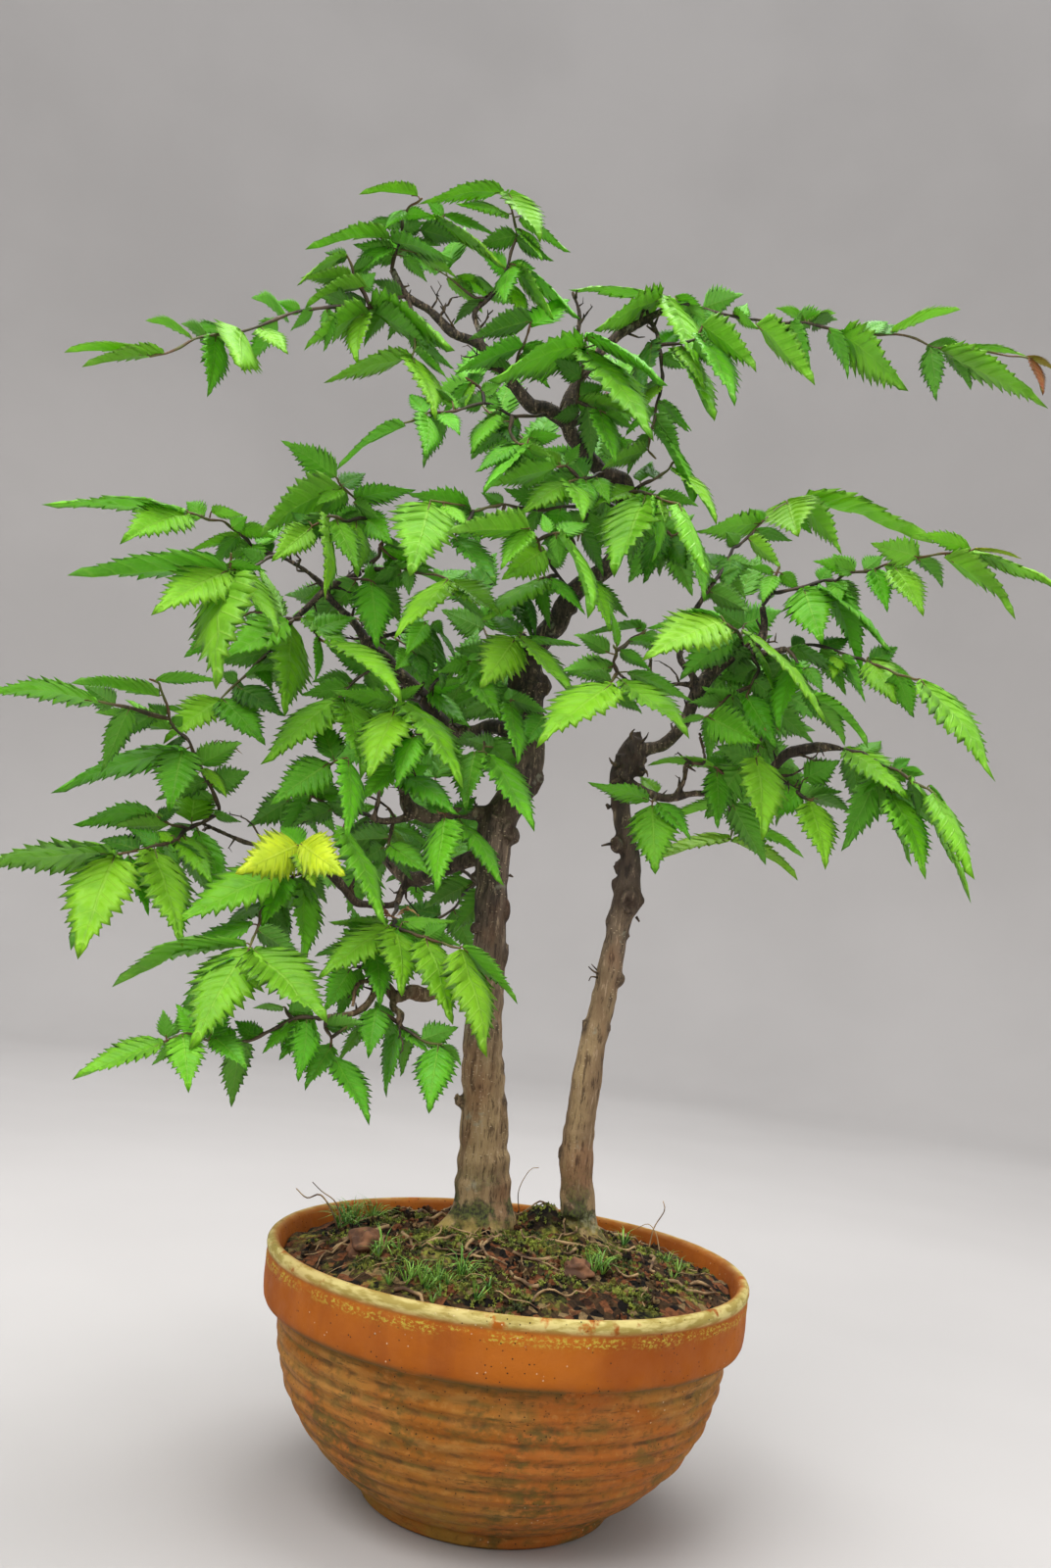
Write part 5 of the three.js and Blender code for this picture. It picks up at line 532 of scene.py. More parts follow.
        (228, 547, 254, 544, 6, 3, 4.45), (160, 527, 137, 530, 8, 9, 1.8), (149, 519, 153, 507, -6, 11, 1.4),
        (113, 519, 108, 503, -8, 10, 1.5), (117, 521, 128, 512, 8, 8, 1.4), (113, 521, 99, 522, 8, 5, 1.2),
        (131, 513, 143, 484, -18, 24, 1.2), (139, 516, 182, 483, -14, 2.5, 1),
        (144, 519, 166, 471, 10, 13, 1)]),
    "right_middle": ([[(124, 476, 0), (137, 480, -4), (155, 477, -8), (163, 475, -12), (171, 473, -16),
        (183, 470, -22), (195, 467, -28), (201, 466, -32)], [(124, 476, 0), (130, 470, -8), (136, 462, -14),
        (140, 450, -18)]],
        [(172, 475, 188, 452, -18, 17, 2.7), (202, 466, 245, 416, -22, 15, 2.9),
        (171, 476, 196, 466, 8, 5, 1.8), (154, 476, 152, 462, -6, 10, 2.9),
        (129, 478, 161, 461, -12, 6, 0.6), (136, 466, 146, 453, -6, 8, 0.4),
        (130, 468, 125, 430, -10, 14, 1), (124, 473, 114, 450, 14, 16, 0), (139, 454, 143, 438, -6, 9, 0.3),
        (141, 450, 172, 425, -12, 4, 1.4), (140, 448, 160, 425, 6, 12, 1.5),
        (154, 474, 185, 455, 12, 3, 2.2)]),
    "right_inner": ([[(103, 473, 8), (109, 463, 0), (105, 452, -3), (101, 440, -5)], [(105, 452, -3),
        (94, 446, -8), (82, 432, -12)]],
        [(99, 441, 79, 448, -8, 11, 1), (103, 446, 121, 420, -14, 17, 0.8),
        (83, 431, 112, 420, -20, 19, 1.1), (80, 431, 66, 425, 6, 4, 1), (108, 462, 88, 455, 12, 14, 0.3)]),
    "right_low": ([[(160, 421, -4), (172, 420, -8), (180, 416, -12), (192, 412, -16), (200, 407, -20),
        (210, 403, -24), (213, 401, -26)], [(180, 416, -12), (184, 408, -14), (190, 398, -16)]],
        [(162, 422, 197, 397, -24, 14, 2), (195, 413, 207, 411, 6, 4, 1.3),
        (214, 401, 238, 358, -22, 12, 2.7), (211, 405, 223, 381, 4, 4, 1), (165, 418, 175, 385, 12, 14, 0.3),
        (190, 396, 211, 355, -20, 15, 2.1), (188, 401, 220, 381, 8, 10, 1), (182, 408, 165, 366, 4, 17, 0.8),
        (187, 401, 203, 361, 12, 3, 1.4), (200, 409, 236, 346, 12, 3, 1.8)]),
    "right_lower": ([[(137, 393, -2), (142, 390, -6), (146, 389, -8)], [(137, 393, -2), (139, 400, 4)]],
        [(144, 388, 155, 354, -20, 17, 2.4), (138, 394, 122, 378, -8, 14, 1),
        (140, 401, 158, 413, -10, 15, 0.9), (146, 391, 167, 385, 10, 8, 0.4),
        (136, 396, 127, 374, 12, 8, 0.2)]),
    "right_front": ([[(105, 394, 8), (107, 404, -4), (112, 412, -14)], [(105, 394, 8), (97, 398, 0),
        (90, 402, -4)], [(105, 394, 8), (99, 380, 18), (101, 369, 28), (101, 363, 34)]],
        [(112, 411, 118, 367, -20, 20, 2.6), (104, 406, 88, 375, 2, 20, 0.6),
        (90, 400, 93, 370, -8, 14, 0.9), (103, 409, 119, 404, 12, 13, 0.9), (88, 403, 53, 400, 8, 5, 2.4),
        (101, 363, 62, 348, -12, 8, 3.5), (102, 362, 138, 345, -10, 6, 3.4), (103, 370, 140, 357, 4, 6, 2.2),
        (97, 383, 66, 370, 12, 5, 2), (100, 396, 84, 410, 14, 12, 0.7)]),
    "second_low": ([[(56, 383, 3), (56, 381, -6), (55, 379, -12)]],
        [(53, 380, 20, 386, -12, 10, 1), (55, 377, 60, 341, -18, 23, 1.9), (58, 379, 77, 361, -12, 10, 0.9),
        (57, 384, 47, 392, 12, 7, 2.2)]),
    # The shoots behind the trunks have low, dark tones: painted shade for the back of the crown.
    "back_low_left": ([[(-31, 318, 6), (-40, 322, 16), (-54, 330, 28), (-74, 334, 38), (-96, 330, 46),
        (-114, 322, 54)], [(-54, 330, 28), (-58, 346, 34), (-66, 362, 42), (-70, 380, 50)], [(-40, 322, 16),
        (-50, 308, 26), (-64, 298, 36)]],
        [(-42, 322, -66, 306, 14, 14, 0.6), (-56, 331, -46, 352, 18, 15, 0.7),
        (-75, 334, -92, 356, 14, 16, 0.4), (-80, 333, -70, 308, 16, 15, 0.8),
        (-97, 330, -122, 346, 20, 16, 0.5), (-104, 327, -110, 300, 12, 15, 0.8),
        (-114, 321, -142, 306, 22, 17, 0.9), (-58, 347, -38, 362, 14, 15, 0.5),
        (-66, 363, -92, 374, 16, 16, 0.4), (-70, 380, -58, 408, 12, 16, 0.6),
        (-70, 380, -96, 396, 14, 16, 0.5), (-51, 306, -38, 284, 14, 15, 0.5),
        (-64, 298, -88, 290, 16, 16, 0.5), (-64, 298, -66, 270, 14, 15, 0.7)]),
    "back_left": ([[(-20, 420, 12), (-36, 430, 20), (-60, 440, 30), (-86, 450, 40), (-110, 462, 48),
        (-134, 470, 56)], [(-60, 440, 30), (-72, 424, 38), (-90, 410, 46), (-106, 396, 52)], [(-36, 430, 20),
        (-42, 450, 30), (-52, 470, 40), (-60, 488, 50)]],
        [(-38, 431, -26, 456, 22, 15, 0.5), (-60, 440, -70, 414, 14, 16, 0.6),
        (-62, 441, -56, 468, 18, 16, 0.4), (-87, 451, -98, 478, 16, 17, 0.4),
        (-92, 453, -84, 428, 20, 16, 0.6), (-111, 462, -124, 440, 14, 17, 0.5),
        (-116, 464, -110, 492, 20, 16, 0.6), (-134, 471, -162, 466, 22, 16, 0.7),
        (-72, 424, -54, 404, 14, 16, 0.5), (-74, 422, -98, 430, 14, 15, 0.4),
        (-90, 410, -112, 414, 14, 16, 0.5), (-106, 396, -130, 384, 16, 16, 0.6),
        (-106, 396, -100, 368, 12, 16, 0.5), (-42, 450, -20, 462, 14, 15, 0.5),
        (-52, 470, -76, 478, 14, 16, 0.4), (-54, 473, -32, 490, 12, 16, 0.6),
        (-60, 488, -84, 502, 14, 16, 0.5), (-60, 488, -50, 514, 12, 15, 0.6)]),
    "back_right": ([[(84, 460, 8), (88, 456, 16), (98, 452, 26), (112, 452, 38), (128, 448, 48)],
        [(98, 452, 26), (94, 470, 36), (98, 488, 44), (94, 504, 52)], [(112, 452, 38), (118, 434, 44),
        (112, 416, 50), (122, 402, 56)]],
        [(90, 455, 72, 436, 18, 16, 0.3), (92, 455, 108, 474, 16, 16, 0.4), (98, 452, 92, 426, 18, 16, 0.5),
        (112, 452, 132, 470, 16, 16, 0.5), (114, 452, 116, 424, 14, 17, 0.5),
        (128, 448, 152, 436, 20, 16, 0.7), (127, 449, 134, 476, 20, 15, 0.6),
        (94, 470, 72, 480, 14, 16, 0.5), (98, 488, 118, 498, 14, 16, 0.5), (98, 490, 80, 506, 14, 16, 0.6),
        (94, 504, 104, 530, 12, 16, 0.7), (118, 434, 142, 430, 16, 16, 0.5),
        (112, 416, 88, 410, 14, 16, 0.5), (113, 418, 136, 406, 14, 16, 0.5),
        (122, 402, 104, 382, 12, 15, 0.6), (122, 402, 148, 390, 14, 16, 0.6)]),
    "back_top": ([[(21, 550, 12), (8, 556, 20), (-10, 566, 30), (-32, 580, 38), (-56, 596, 46),
        (-76, 616, 54)], [(-10, 566, 30), (-2, 586, 38), (6, 606, 46), (4, 626, 52)], [(8, 556, 20),
        (24, 546, 30), (40, 534, 40), (54, 530, 50)]],
        [(6, 556, 26, 540, 18, 15, 0.7), (-10, 566, -26, 544, 16, 16, 0.5), (-12, 567, 4, 592, 16, 16, 0.6),
        (-32, 580, -54, 566, 16, 16, 0.4), (-34, 581, -26, 608, 18, 16, 0.8),
        (-56, 596, -70, 574, 14, 16, 0.7), (-58, 598, -50, 628, 18, 16, 0.9),
        (-76, 616, -100, 606, 18, 16, 1), (-76, 617, -72, 646, 18, 16, 0.8), (-2, 586, 22, 592, 14, 16, 0.6),
        (6, 606, -16, 618, 14, 16, 0.7), (6, 608, 30, 618, 14, 16, 0.8), (4, 626, -8, 652, 12, 16, 0.9),
        (4, 626, 24, 646, 12, 16, 0.9), (24, 546, 8, 526, 14, 16, 0.5), (40, 534, 62, 550, 14, 16, 0.6),
        (41, 533, 30, 508, 12, 16, 0.6), (54, 530, 78, 520, 14, 16, 0.6), (54, 530, 66, 504, 12, 15, 0.6)])}


def srgb(code):
    """The linear colour of a hexadecimal one."""
    parts = [int(code[i:i + 2], 16) / 255 for i in (1, 3, 5)]
    return [p / 12.92 if p <= 0.04045 else ((p + 0.055) / 1.055) ** 2.4 for p in parts]


def depth_scale(y):
    """How much larger a thing at depth y is than it looks on the trunks' plane."""
    return (y + VIEW_DEPTH) / VIEW_DEPTH


def place(x, z, y):
    """The real point, in metres, that is seen at x, z on the trunks' plane and lies at depth y."""
    scale = depth_scale(y)
    return Vector((x * scale, y, VIEW_HEIGHT + (z - VIEW_HEIGHT) * scale)) * MM


def drawn_out(y):
    """The real depth for one in the tables."""
    beyond = max(0, abs(y) - CORE_DEPTH)
    return math.copysign(min(abs(y), CORE_DEPTH) + beyond * DEPTH_STRETCH, y)


def clip(value):
    """The value, kept between 0 and 1."""
    return max(0.0, min(1.0, value))


# Meshes

def mesh_object(name, verts, faces, material=None, edges=()):
    """An object in the scene, smooth where a material is given with it."""
    mesh = bpy.data.meshes.new(name)
    mesh.from_pydata([tuple(v) for v in verts], list(edges), faces)
    mesh.validate()
    obj = bpy.data.objects.new(name, mesh)
    bpy.context.scene.collection.objects.link(obj)
    if material:
        mesh.materials.append(material)
        smooth(obj)
    return obj


def smooth(obj):
    obj.data.polygons.foreach_set("use_smooth", [True] * len(obj.data.polygons))
    obj.data.update()


def store(obj, name, values, kind="FLOAT", domain="POINT"):
    """Writes an attribute of floats, vectors or colours."""
    layer = obj.data.attributes.new(name, kind, domain)
    key = {"FLOAT": "value", "FLOAT_VECTOR": "vector", "FLOAT_COLOR": "color"}[kind]
    layer.data.foreach_set(key, np.array(values, dtype=np.float32).ravel())


def drop(obj):
    bpy.data.objects.remove(obj, do_unlink=True)


def finished(obj, name):
    """The object with its modifiers turned into a plain mesh, as a new object."""
    evaluated = obj.evaluated_get(bpy.context.evaluated_depsgraph_get())
    mesh = bpy.data.meshes.new_from_object(evaluated)
    mesh.name = name
    done = bpy.data.objects.new(name, mesh)
    bpy.context.scene.collection.objects.link(done)
    drop(obj)
    return done


def hand_over(obj, slot, *nodes):
    """Hangs a piece on the root body and hides the solids it stands for. The slot is not used."""
    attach(obj, "root")
    if nodes:
        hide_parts(*nodes)


def catmull(points, step):
    """A smooth path through rows of x, y, z, radius, with about one row each step."""
    rows = np.array(points, dtype=float)
    padded = np.vstack([2 * rows[0] - rows[1], rows, 2 * rows[-1] - rows[-2]])
    path = []
    for i in range(1, len(padded) - 2):
        a, b, c, d = padded[i - 1:i + 3]
        count = max(1, round(np.linalg.norm(c[:3] - b[:3]) / step))
        for t in np.arange(count) / count:
            path.append(0.5 * (2 * b + (c - a) * t + (2 * a - 5 * b + 4 * c - d) * t * t
                               + (3 * b - a - 3 * c + d) * t ** 3))
    path.append(rows[-1])
    return np.array(path)


def band(first, second, count, inward=False):
    """Faces between two rings of vertices that start at the given numbers."""
    faces = []
    for s in range(count):
        t = (s + 1) % count
        low, high = (first + s, first + t), (second + t, second + s)
        faces.append((low[0], high[1], high[0], low[1]) if inward else low + high)
    return faces


def fan(centre, first, count, inward=False):
    """Faces between a ring of vertices and the one in its middle."""
    faces = [(centre, first + s, first + (s + 1) % count) for s in range(count)]
    return [face[::-1] for face in faces] if inward else faces


def turned(rows, segments, spot, inward=False):
    """Vertices and faces of rings round the axis, where spot(row, angle) gives each vertex."""
    verts, faces = [], []
    for k, row in enumerate(rows):
        verts += [spot(row, 2 * math.pi * s / segments) for s in range(segments)]
        if k:
            faces += band((k - 1) * segments, k * segments, segments, inward)
    return verts, faces


class Shape:
    """A mesh in the making, to which closed tubes, rings and lumps are added."""

    def __init__(self):
        self.verts, self.faces = [], []

    def tube(self, path, sides):
        """Adds a closed tube along rows of x, y, z, radius."""
        path = np.array(path, dtype=float)
        spoke = np.array([0.3, -1, 0.1])
        first = len(self.verts)
        for k, row in enumerate(path):
            along = path[min(k + 1, len(path) - 1)][:3] - path[max(k - 1, 0)][:3]
            along /= np.linalg.norm(along) + 1e-12
            spoke = spoke - along * spoke.dot(along)
            spoke /= np.linalg.norm(spoke)
            other = np.cross(along, spoke)
            for s in range(sides):
                angle = 2 * math.pi * s / sides
                out = spoke * math.cos(angle) + other * math.sin(angle)
                self.verts.append(row[:3] + row[3] * out)
            if k:
                self.faces += band(first + (k - 1) * sides, first + k * sides, sides)
        last = first + (len(path) - 1) * sides
        self.faces.append(tuple(first + s for s in reversed(range(sides))))
        self.faces.append(tuple(last + s for s in range(sides)))

    def lump(self, centre, radii, seed, rough=0.0, level=2):
        """Adds a closed, slightly uneven ball."""
        ball = bmesh.new()
        bmesh.ops.create_icosphere(ball, subdivisions=level, radius=1)
        first = len(self.verts)
        for v in ball.verts:
            bump = 1 + rough * noise.noise(v.co * 1.7 + Vector((seed * 3.1, seed, 0)))
            self.verts.append(np.array(centre) + np.array(v.co) * np.array(radii) * bump)
        self.faces += [tuple(first + v.index for v in f.verts) for f in ball.faces]
        ball.free()

    def ring(self, centre, outward, radius, thickness):
        """Adds a raised ring such as grows round a cut branch."""
        turn = Vector(outward).normalized().to_track_quat("Z", "Y")
        path = []
        for k in range(13):
            angle = 2 * math.pi * k / 12
            out = turn @ Vector((math.cos(angle) * radius, math.sin(angle) * radius * 1.25, 0))
            thick = thickness * (1 + 0.3 * math.sin(angle * 2 + radius * 900))
            path.append([*(Vector(centre) + out), thick])
        self.tube(path, 8)

    def made(self, name, material=None):
        return mesh_object(name, self.verts, self.faces, material)


# Node trees

class Tree:
    """Adds nodes to a tree and joins them."""

    def __init__(self, owner):
        self.owner = owner

    def join(self, source, socket):
        """Feeds a socket from another one or from a node's first output, or sets its value."""
        if isinstance(source, bpy.types.Node):
            source = source.outputs[0]
        if isinstance(source, bpy.types.NodeSocket):
            self.owner.links.new(source, socket)
        else:
            socket.default_value = source

    def add(self, kind, links=None, **options):
        node = self.owner.nodes.new(kind)
        for key, value in options.items():
            setattr(node, key, value)
        for key, value in (links or {}).items():
            self.join(value, node.inputs[key])
        return node

    def math(self, operation, a, b=0.0):
        return self.add("ShaderNodeMath", {0: a, 1: b}, operation=operation).outputs[0]

    def times(self, *values):
        """The product of sockets and numbers."""
        total = values[0]
        for value in values[1:]:
            total = self.math("MULTIPLY", total, value)
        return total

    def vector(self, operation, a, b=(0, 0, 0), **more):
        return self.add("ShaderNodeVectorMath", {0: a, 1: b, **more}, operation=operation).outputs[0]


class GeometryTree(Tree):
    """A Geometry Nodes tree with a geometry socket and named inputs, given as kind and default."""

    def __init__(self, name, **inputs):
        super().__init__(bpy.data.node_groups.new(name, "GeometryNodeTree"))
        sockets = self.owner.interface
        for way in ("INPUT", "OUTPUT"):
            sockets.new_socket("Geometry", in_out=way, socket_type="NodeSocketGeometry")
        for label, (kind, default) in inputs.items():
            socket = sockets.new_socket(label.replace("_", " "), in_out="INPUT",
                                        socket_type="NodeSocket" + kind)
            if default is not None:
                socket.default_value = default
        self.given = self.add("NodeGroupInput").outputs

    def named(self, name, kind="FLOAT"):
        """The value of an attribute."""
        return self.add("GeometryNodeInputNamedAttribute", {"Name": name}, data_type=kind).outputs[0]

    def geometry(self, kind, links):
        return self.add("GeometryNode" + kind, links)

    def coated(self, geometry, material):
        return self.geometry("SetMaterial", {"Geometry": geometry, "Material": self.given[material]})

    def moved(self, geometry, direction, amount):
        """The geometry, moved along a direction at each point."""
        offset = self.vector("SCALE", direction, Scale=amount)
        return self.geometry("SetPosition", {"Geometry": geometry, "Offset": offset})

    def end(self, geometry):
        self.join(geometry, self.add("NodeGroupOutput").inputs[0])
        return self.owner


def apply_tree(obj, tree, name, **values):
    """Runs the tree on the object with its inputs set by identifier, and returns a plain mesh."""
    modifier = obj.modifiers.new(tree.name, "NODES")
    modifier.node_group = tree
    for item in tree.interface.items_tree:
        key = item.name.replace(" ", "_")
        if item.item_type == "SOCKET" and item.in_out == "INPUT" and key in values:
            modifier[item.identifier] = values[key]
    return finished(obj, name)


# Materials

class Finish(Tree):
    """A material with a Principled shader, and helpers for its colour and bump."""

    def __init__(self, name, **sockets):
        self.material = bpy.data.materials.new(name)
        self.material.use_nodes = True
        super().__init__(self.material.node_tree)
        self.shader = self.owner.nodes["Principled BSDF"]
        self.feed(**sockets)
        self.place = self.add("ShaderNodeTexCoord").outputs["Object"]

    def feed(self, **sockets):
        """Sets or joins inputs of the shader, named with _ for each space."""
        for key, value in sockets.items():
            self.join(value, self.shader.inputs[key.replace("_", " ")])

    def height(self):
        return self.add("ShaderNodeSeparateXYZ", {0: self.place}).outputs[2]

    def stretched(self, stretch):
        return self.add("ShaderNodeMapping", {"Vector": self.place, "Scale": stretch})

    def noise(self, scale, detail=4.0, stretch=(1, 1, 1), rough=0.55):
        return self.add("ShaderNodeTexNoise", {"Vector": self.stretched(stretch), "Scale": scale,
                                               "Detail": detail, "Roughness": rough}).outputs[0]

    def cells(self, scale, stretch=(1, 1, 1)):
        links = {"Vector": self.stretched(stretch), "Scale": scale}
        return self.add("ShaderNodeTexVoronoi", links).outputs["Distance"]

    def painted(self, name, output="Fac"):
        """The value of an attribute of the mesh."""
        return self.add("ShaderNodeAttribute", attribute_name=name).outputs[output]

    def ramp(self, value, low, high, start=0.0, end=1.0):
        links = {"Value": value, "From Min": low, "From Max": high, "To Min": start, "To Max": end}
        return self.add("ShaderNodeMapRange", links, interpolation_type="SMOOTHSTEP").outputs[0]

    def mask(self, *parts):
        """The product of parts, each a value or the arguments of a ramp."""
        return self.times(*(self.ramp(*part) if isinstance(part, tuple) else part for part in parts))

    def mix(self, amount, a, b, blend="MIX"):
        """A mix of two colours, each a socket, a hexadecimal colour or a linear one."""
        node = self.add("ShaderNodeMix", data_type="RGBA", blend_type=blend)
        self.join(amount, node.inputs[0])
        for number, value in ((6, a), (7, b)):
            if isinstance(value, str):
                value = srgb(value)
            if not isinstance(value, bpy.types.NodeSocket):
                value = (*value, 1)
            self.join(value, node.inputs[number])
        return node.outputs[2]

    def coats(self, base, *coats):
        """The base colour with coats laid over it, each a colour and the parts of its mask."""
        for colour, *parts in coats:
            base = self.mix(self.mask(*parts), base, colour)
        return base

    def bumps(self, *bumps):
        """Relief from one or more layers of value, distance and strength."""
        for number, (value, distance, strength) in enumerate(bumps):
            links = {"Height": value, "Distance": distance, "Strength": strength}
            if number:
                links["Normal"] = node
            node = self.add("ShaderNodeBump", links)
        self.feed(Normal=node)
        return self.material


def clay_finish(dark, light):
    """Weathered terracotta: a clean band, a pale lip, and stained lines along the ribs below."""
    f = Finish("terracotta", Roughness=0.85, Specular_IOR_Level=0.25)
    fine, drawn = f.noise(90, 6), f.noise(26, 7, (1, 1, 9), 0.62)
    patches, mottle = f.noise(20, 6, (1, 1, 1.8), 0.62), f.noise(210, 6, (1, 1, 1.5), 0.65)
    height = f.height()
    below = f.ramp(height, 0.0955, 0.0925)
    pits = f.mask((f.cells(330), 0.15, 0.08), (f.noise(40), 0.44, 0.54))
    grime = f.coats("#3a2e16", ("#6a5a28", (fine, 0.42, 0.58)))
    crust = f.coats("#a08e48", ("#cabb78", (f.noise(90, 6, (1, 1, 4)), 0.4, 0.6)))
    body = f.coats(
        "#945818",
        ("#ae7632", (patches, 0.36, 0.64)),
        ("#a87c3e", (f.noise(34, 5, (1, 1, 3)), 0.52, 0.66, 0, 0.6)),
        ("#a4541a", (f.noise(11, 5, (1, 1, 1.3)), 0.48, 0.6, 0, 0.6)),
        ("#6b4a20", (drawn, 0.54, 0.62, 0, 0.3)),
        ("#3f3116", (f.noise(60, 6, (1, 1, 12), 0.7), 0.56, 0.62), (patches, 0.46, 0.58), 0.6),
        ("#5c5226", (patches, 0.52, 0.66), (fine, 0.4, 0.55), 0.6),
        ("#9a8236", (height, 0.055, 0.012), (patches, 0.5, 0.4), 0.5),
        ("#5f421b", (mottle, 0.54, 0.62, 0, 0.45)),
        ("#bd8b48", (mottle, 0.42, 0.36, 0, 0.25)),
        ("#5a5020", (f.noise(26, 6), 0.5, 0.62), (mottle, 0.4, 0.56), 0.7),
        (grime, f.painted("groove"), (f.noise(70, 6), 0.4, 0.56, 0.2, 0.75)))
    base = f.coats(
        dark,
        (light, (f.noise(14, 5), 0.35, 0.68)),
        ("#844012", (f.noise(40, 5, (1, 1, 0.3)), 0.5, 0.7, 0, 0.45)),
        (body, below),
        ("#5a4a20", (height, 0.0975, 0.094), (height, 0.088, 0.093), (patches, 0.36, 0.5), 0.8),
        (crust, f.painted("crust"), (f.noise(70, 7), 0.66, 0.58)),
        ("#b8a63c", f.painted("algae"), (f.noise(480, 7, (1, 1, 1.6), 0.7), 0.49, 0.58),
         (f.noise(60, 5, (1, 1, 2)), 0.36, 0.52)),
        ("#2a1c10", pits),
        ("#e0cda8", (f.cells(250), 0.12, 0.06), (f.noise(30), 0.55, 0.62), 0.7))
    f.feed(Base_Color=base, Roughness=f.ramp(fine, 0.3, 0.7, 0.66, 0.9))
    return f.bumps((f.noise(190, 7), 0.0008, 0.65), (f.times(drawn, below), -0.001, 0.55),
                   (pits, -0.0006, 0.7))


def bark_finish(name, low_height, high_height):
    """Bark that is tan and mossy near the soil and darker higher up, with fine upright fissures."""
    f = Finish(name, Roughness=0.82)
    height, blotch = f.height(), f.noise(45, 6, (1, 1, 0.4))
    streak = f.noise(150, 7, (1, 1, 0.13), 0.65)
    fissure = f.noise(420, 6, (1, 1, 0.16), 0.7)
    fine = f.noise(600, 5)
    level = f.math("ADD", height, f.times(f.math("SUBTRACT", blotch, 0.5), 0.2))
    upper = f.coats("#3c3029", ("#6b5a4b", (blotch, 0.38, 0.6)), ("#261d18", (streak, 0.5, 0.64, 0, 0.8)))
    top = f.coats("#16110e", ("#4d4032", (fine, 0.42, 0.6)))
    moss = f.coats("#171d10", ("#4f5a22", (fine, 0.4, 0.6)))
    base = f.coats(
        "#81684a",
        ("#a88f66", (blotch, 0.38, 0.6)),
        ("#64492f", (streak, 0.52, 0.66, 0, 0.6)),
        (upper, (level, low_height, high_height)),
        (top, (level, 0.38, 0.45, 0, 0.75)),
        ("#8c5c3a", (f.noise(30, 3, (1, 1, 0.5)), 0.52, 0.64, 0, 0.4), (level, 0.36, 0.3)))
    base = f.coats(
        base,
        (f.mix(1.0, base, "#6a5546", "MULTIPLY"), (fissure, 0.52, 0.62, 0, 0.75)),
        ("#b9a083", (fissure, 0.44, 0.36, 0, 0.5)),
        ("#c9b492", (f.cells(260, (1, 1, 2.4)), 0.2, 0.1), (blotch, 0.45, 0.55), 0.7),
        ("#3b2b1f", f.painted("knot"), (fine, 0.38, 0.58, 0.35, 0.85)),
        (moss, (height, 0.178, 0.14), (f.noise(80, 6), 0.44, 0.54)),
        ("#a8924e", (height, 0.146, 0.138), (f.noise(120, 5), 0.42, 0.58, 0.2, 0.9)),
        ("#9a9a84", (f.noise(60, 3), 0.63, 0.69), (f.noise(300), 0.4, 0.6), 0.5))
    f.feed(Base_Color=base)
    return f.bumps((f.math("ADD", streak, fissure), -0.0012, 0.8), (fine, 0.0005, 0.6))


def stem_finish():
    """Thin bark that turns green and reddish towards the tip."""
    f = Finish("young_bark", Roughness=0.6)
    young = f.coats("#6c7330", ("#714a2d", (f.noise(90), 0.4, 0.6)))
    f.feed(Base_Color=f.coats(
        "#281f17", ("#4a3828", (f.noise(60), 0.4, 0.6)), ("#94805f", (f.noise(700, 3), 0.6, 0.7, 0, 0.5)),
        (young, f.painted("young"))))
    return f.bumps((f.noise(900), 0.0002, 0.4))


def leaf_finish():
    """Leaf colour from each leaf's own tint, with veins laid out on the leaf's own coordinates."""
    f = Finish("zelkova_leaf", Specular_IOR_Level=0.5, Sheen_Weight=0.09, Sheen_Roughness=0.45)
    tint, side = f.painted("tint", "Color"), f.math("ABSOLUTE", f.painted("across"))
    wave = f.math("ABSOLUTE", f.math("SUBTRACT", f.math("FRACT", f.painted("rib")), 0.5))
    veins = f.math("MAXIMUM", f.mask((wave, 0.42, 0.49), (side, 1.0, 0.8)), f.ramp(side, 0.07, 0.02))
    spotted = f.noise(500, 5)
    pale = f.mix(0.4, tint, "#d0f070")
    base = f.coats(
        tint,
        (f.mix(1.0, tint, "#9fc26a", "MULTIPLY"), (f.noise(70, 3), 0.4, 0.62, 0, 0.35)),
        (pale, (spotted, 0.45, 0.7, 0, 0.25)),
        (pale, veins, 0.5),
        ("#8cc060", f.painted("under"), 0.3),
        ("#e6efb4", (f.cells(900), 0.1, 0.04), (f.noise(150), 0.55, 0.65), 0.7))
    f.feed(Base_Color=base, Roughness=f.ramp(spotted, 0.3, 0.7, 0.44, 0.58))
    through = f.add("ShaderNodeBsdfTranslucent", {"Color": f.mix(0.35, base, "#c8f020")})
    both = f.add("ShaderNodeMixShader", {0: 0.38, 1: f.shader, 2: through})
    f.join(both, f.owner.nodes["Material Output"].inputs["Surface"])
    return f.bumps((f.math("SUBTRACT", f.ramp(spotted, 0, 1, 0, 0.5), veins), 0.0005, 0.7))


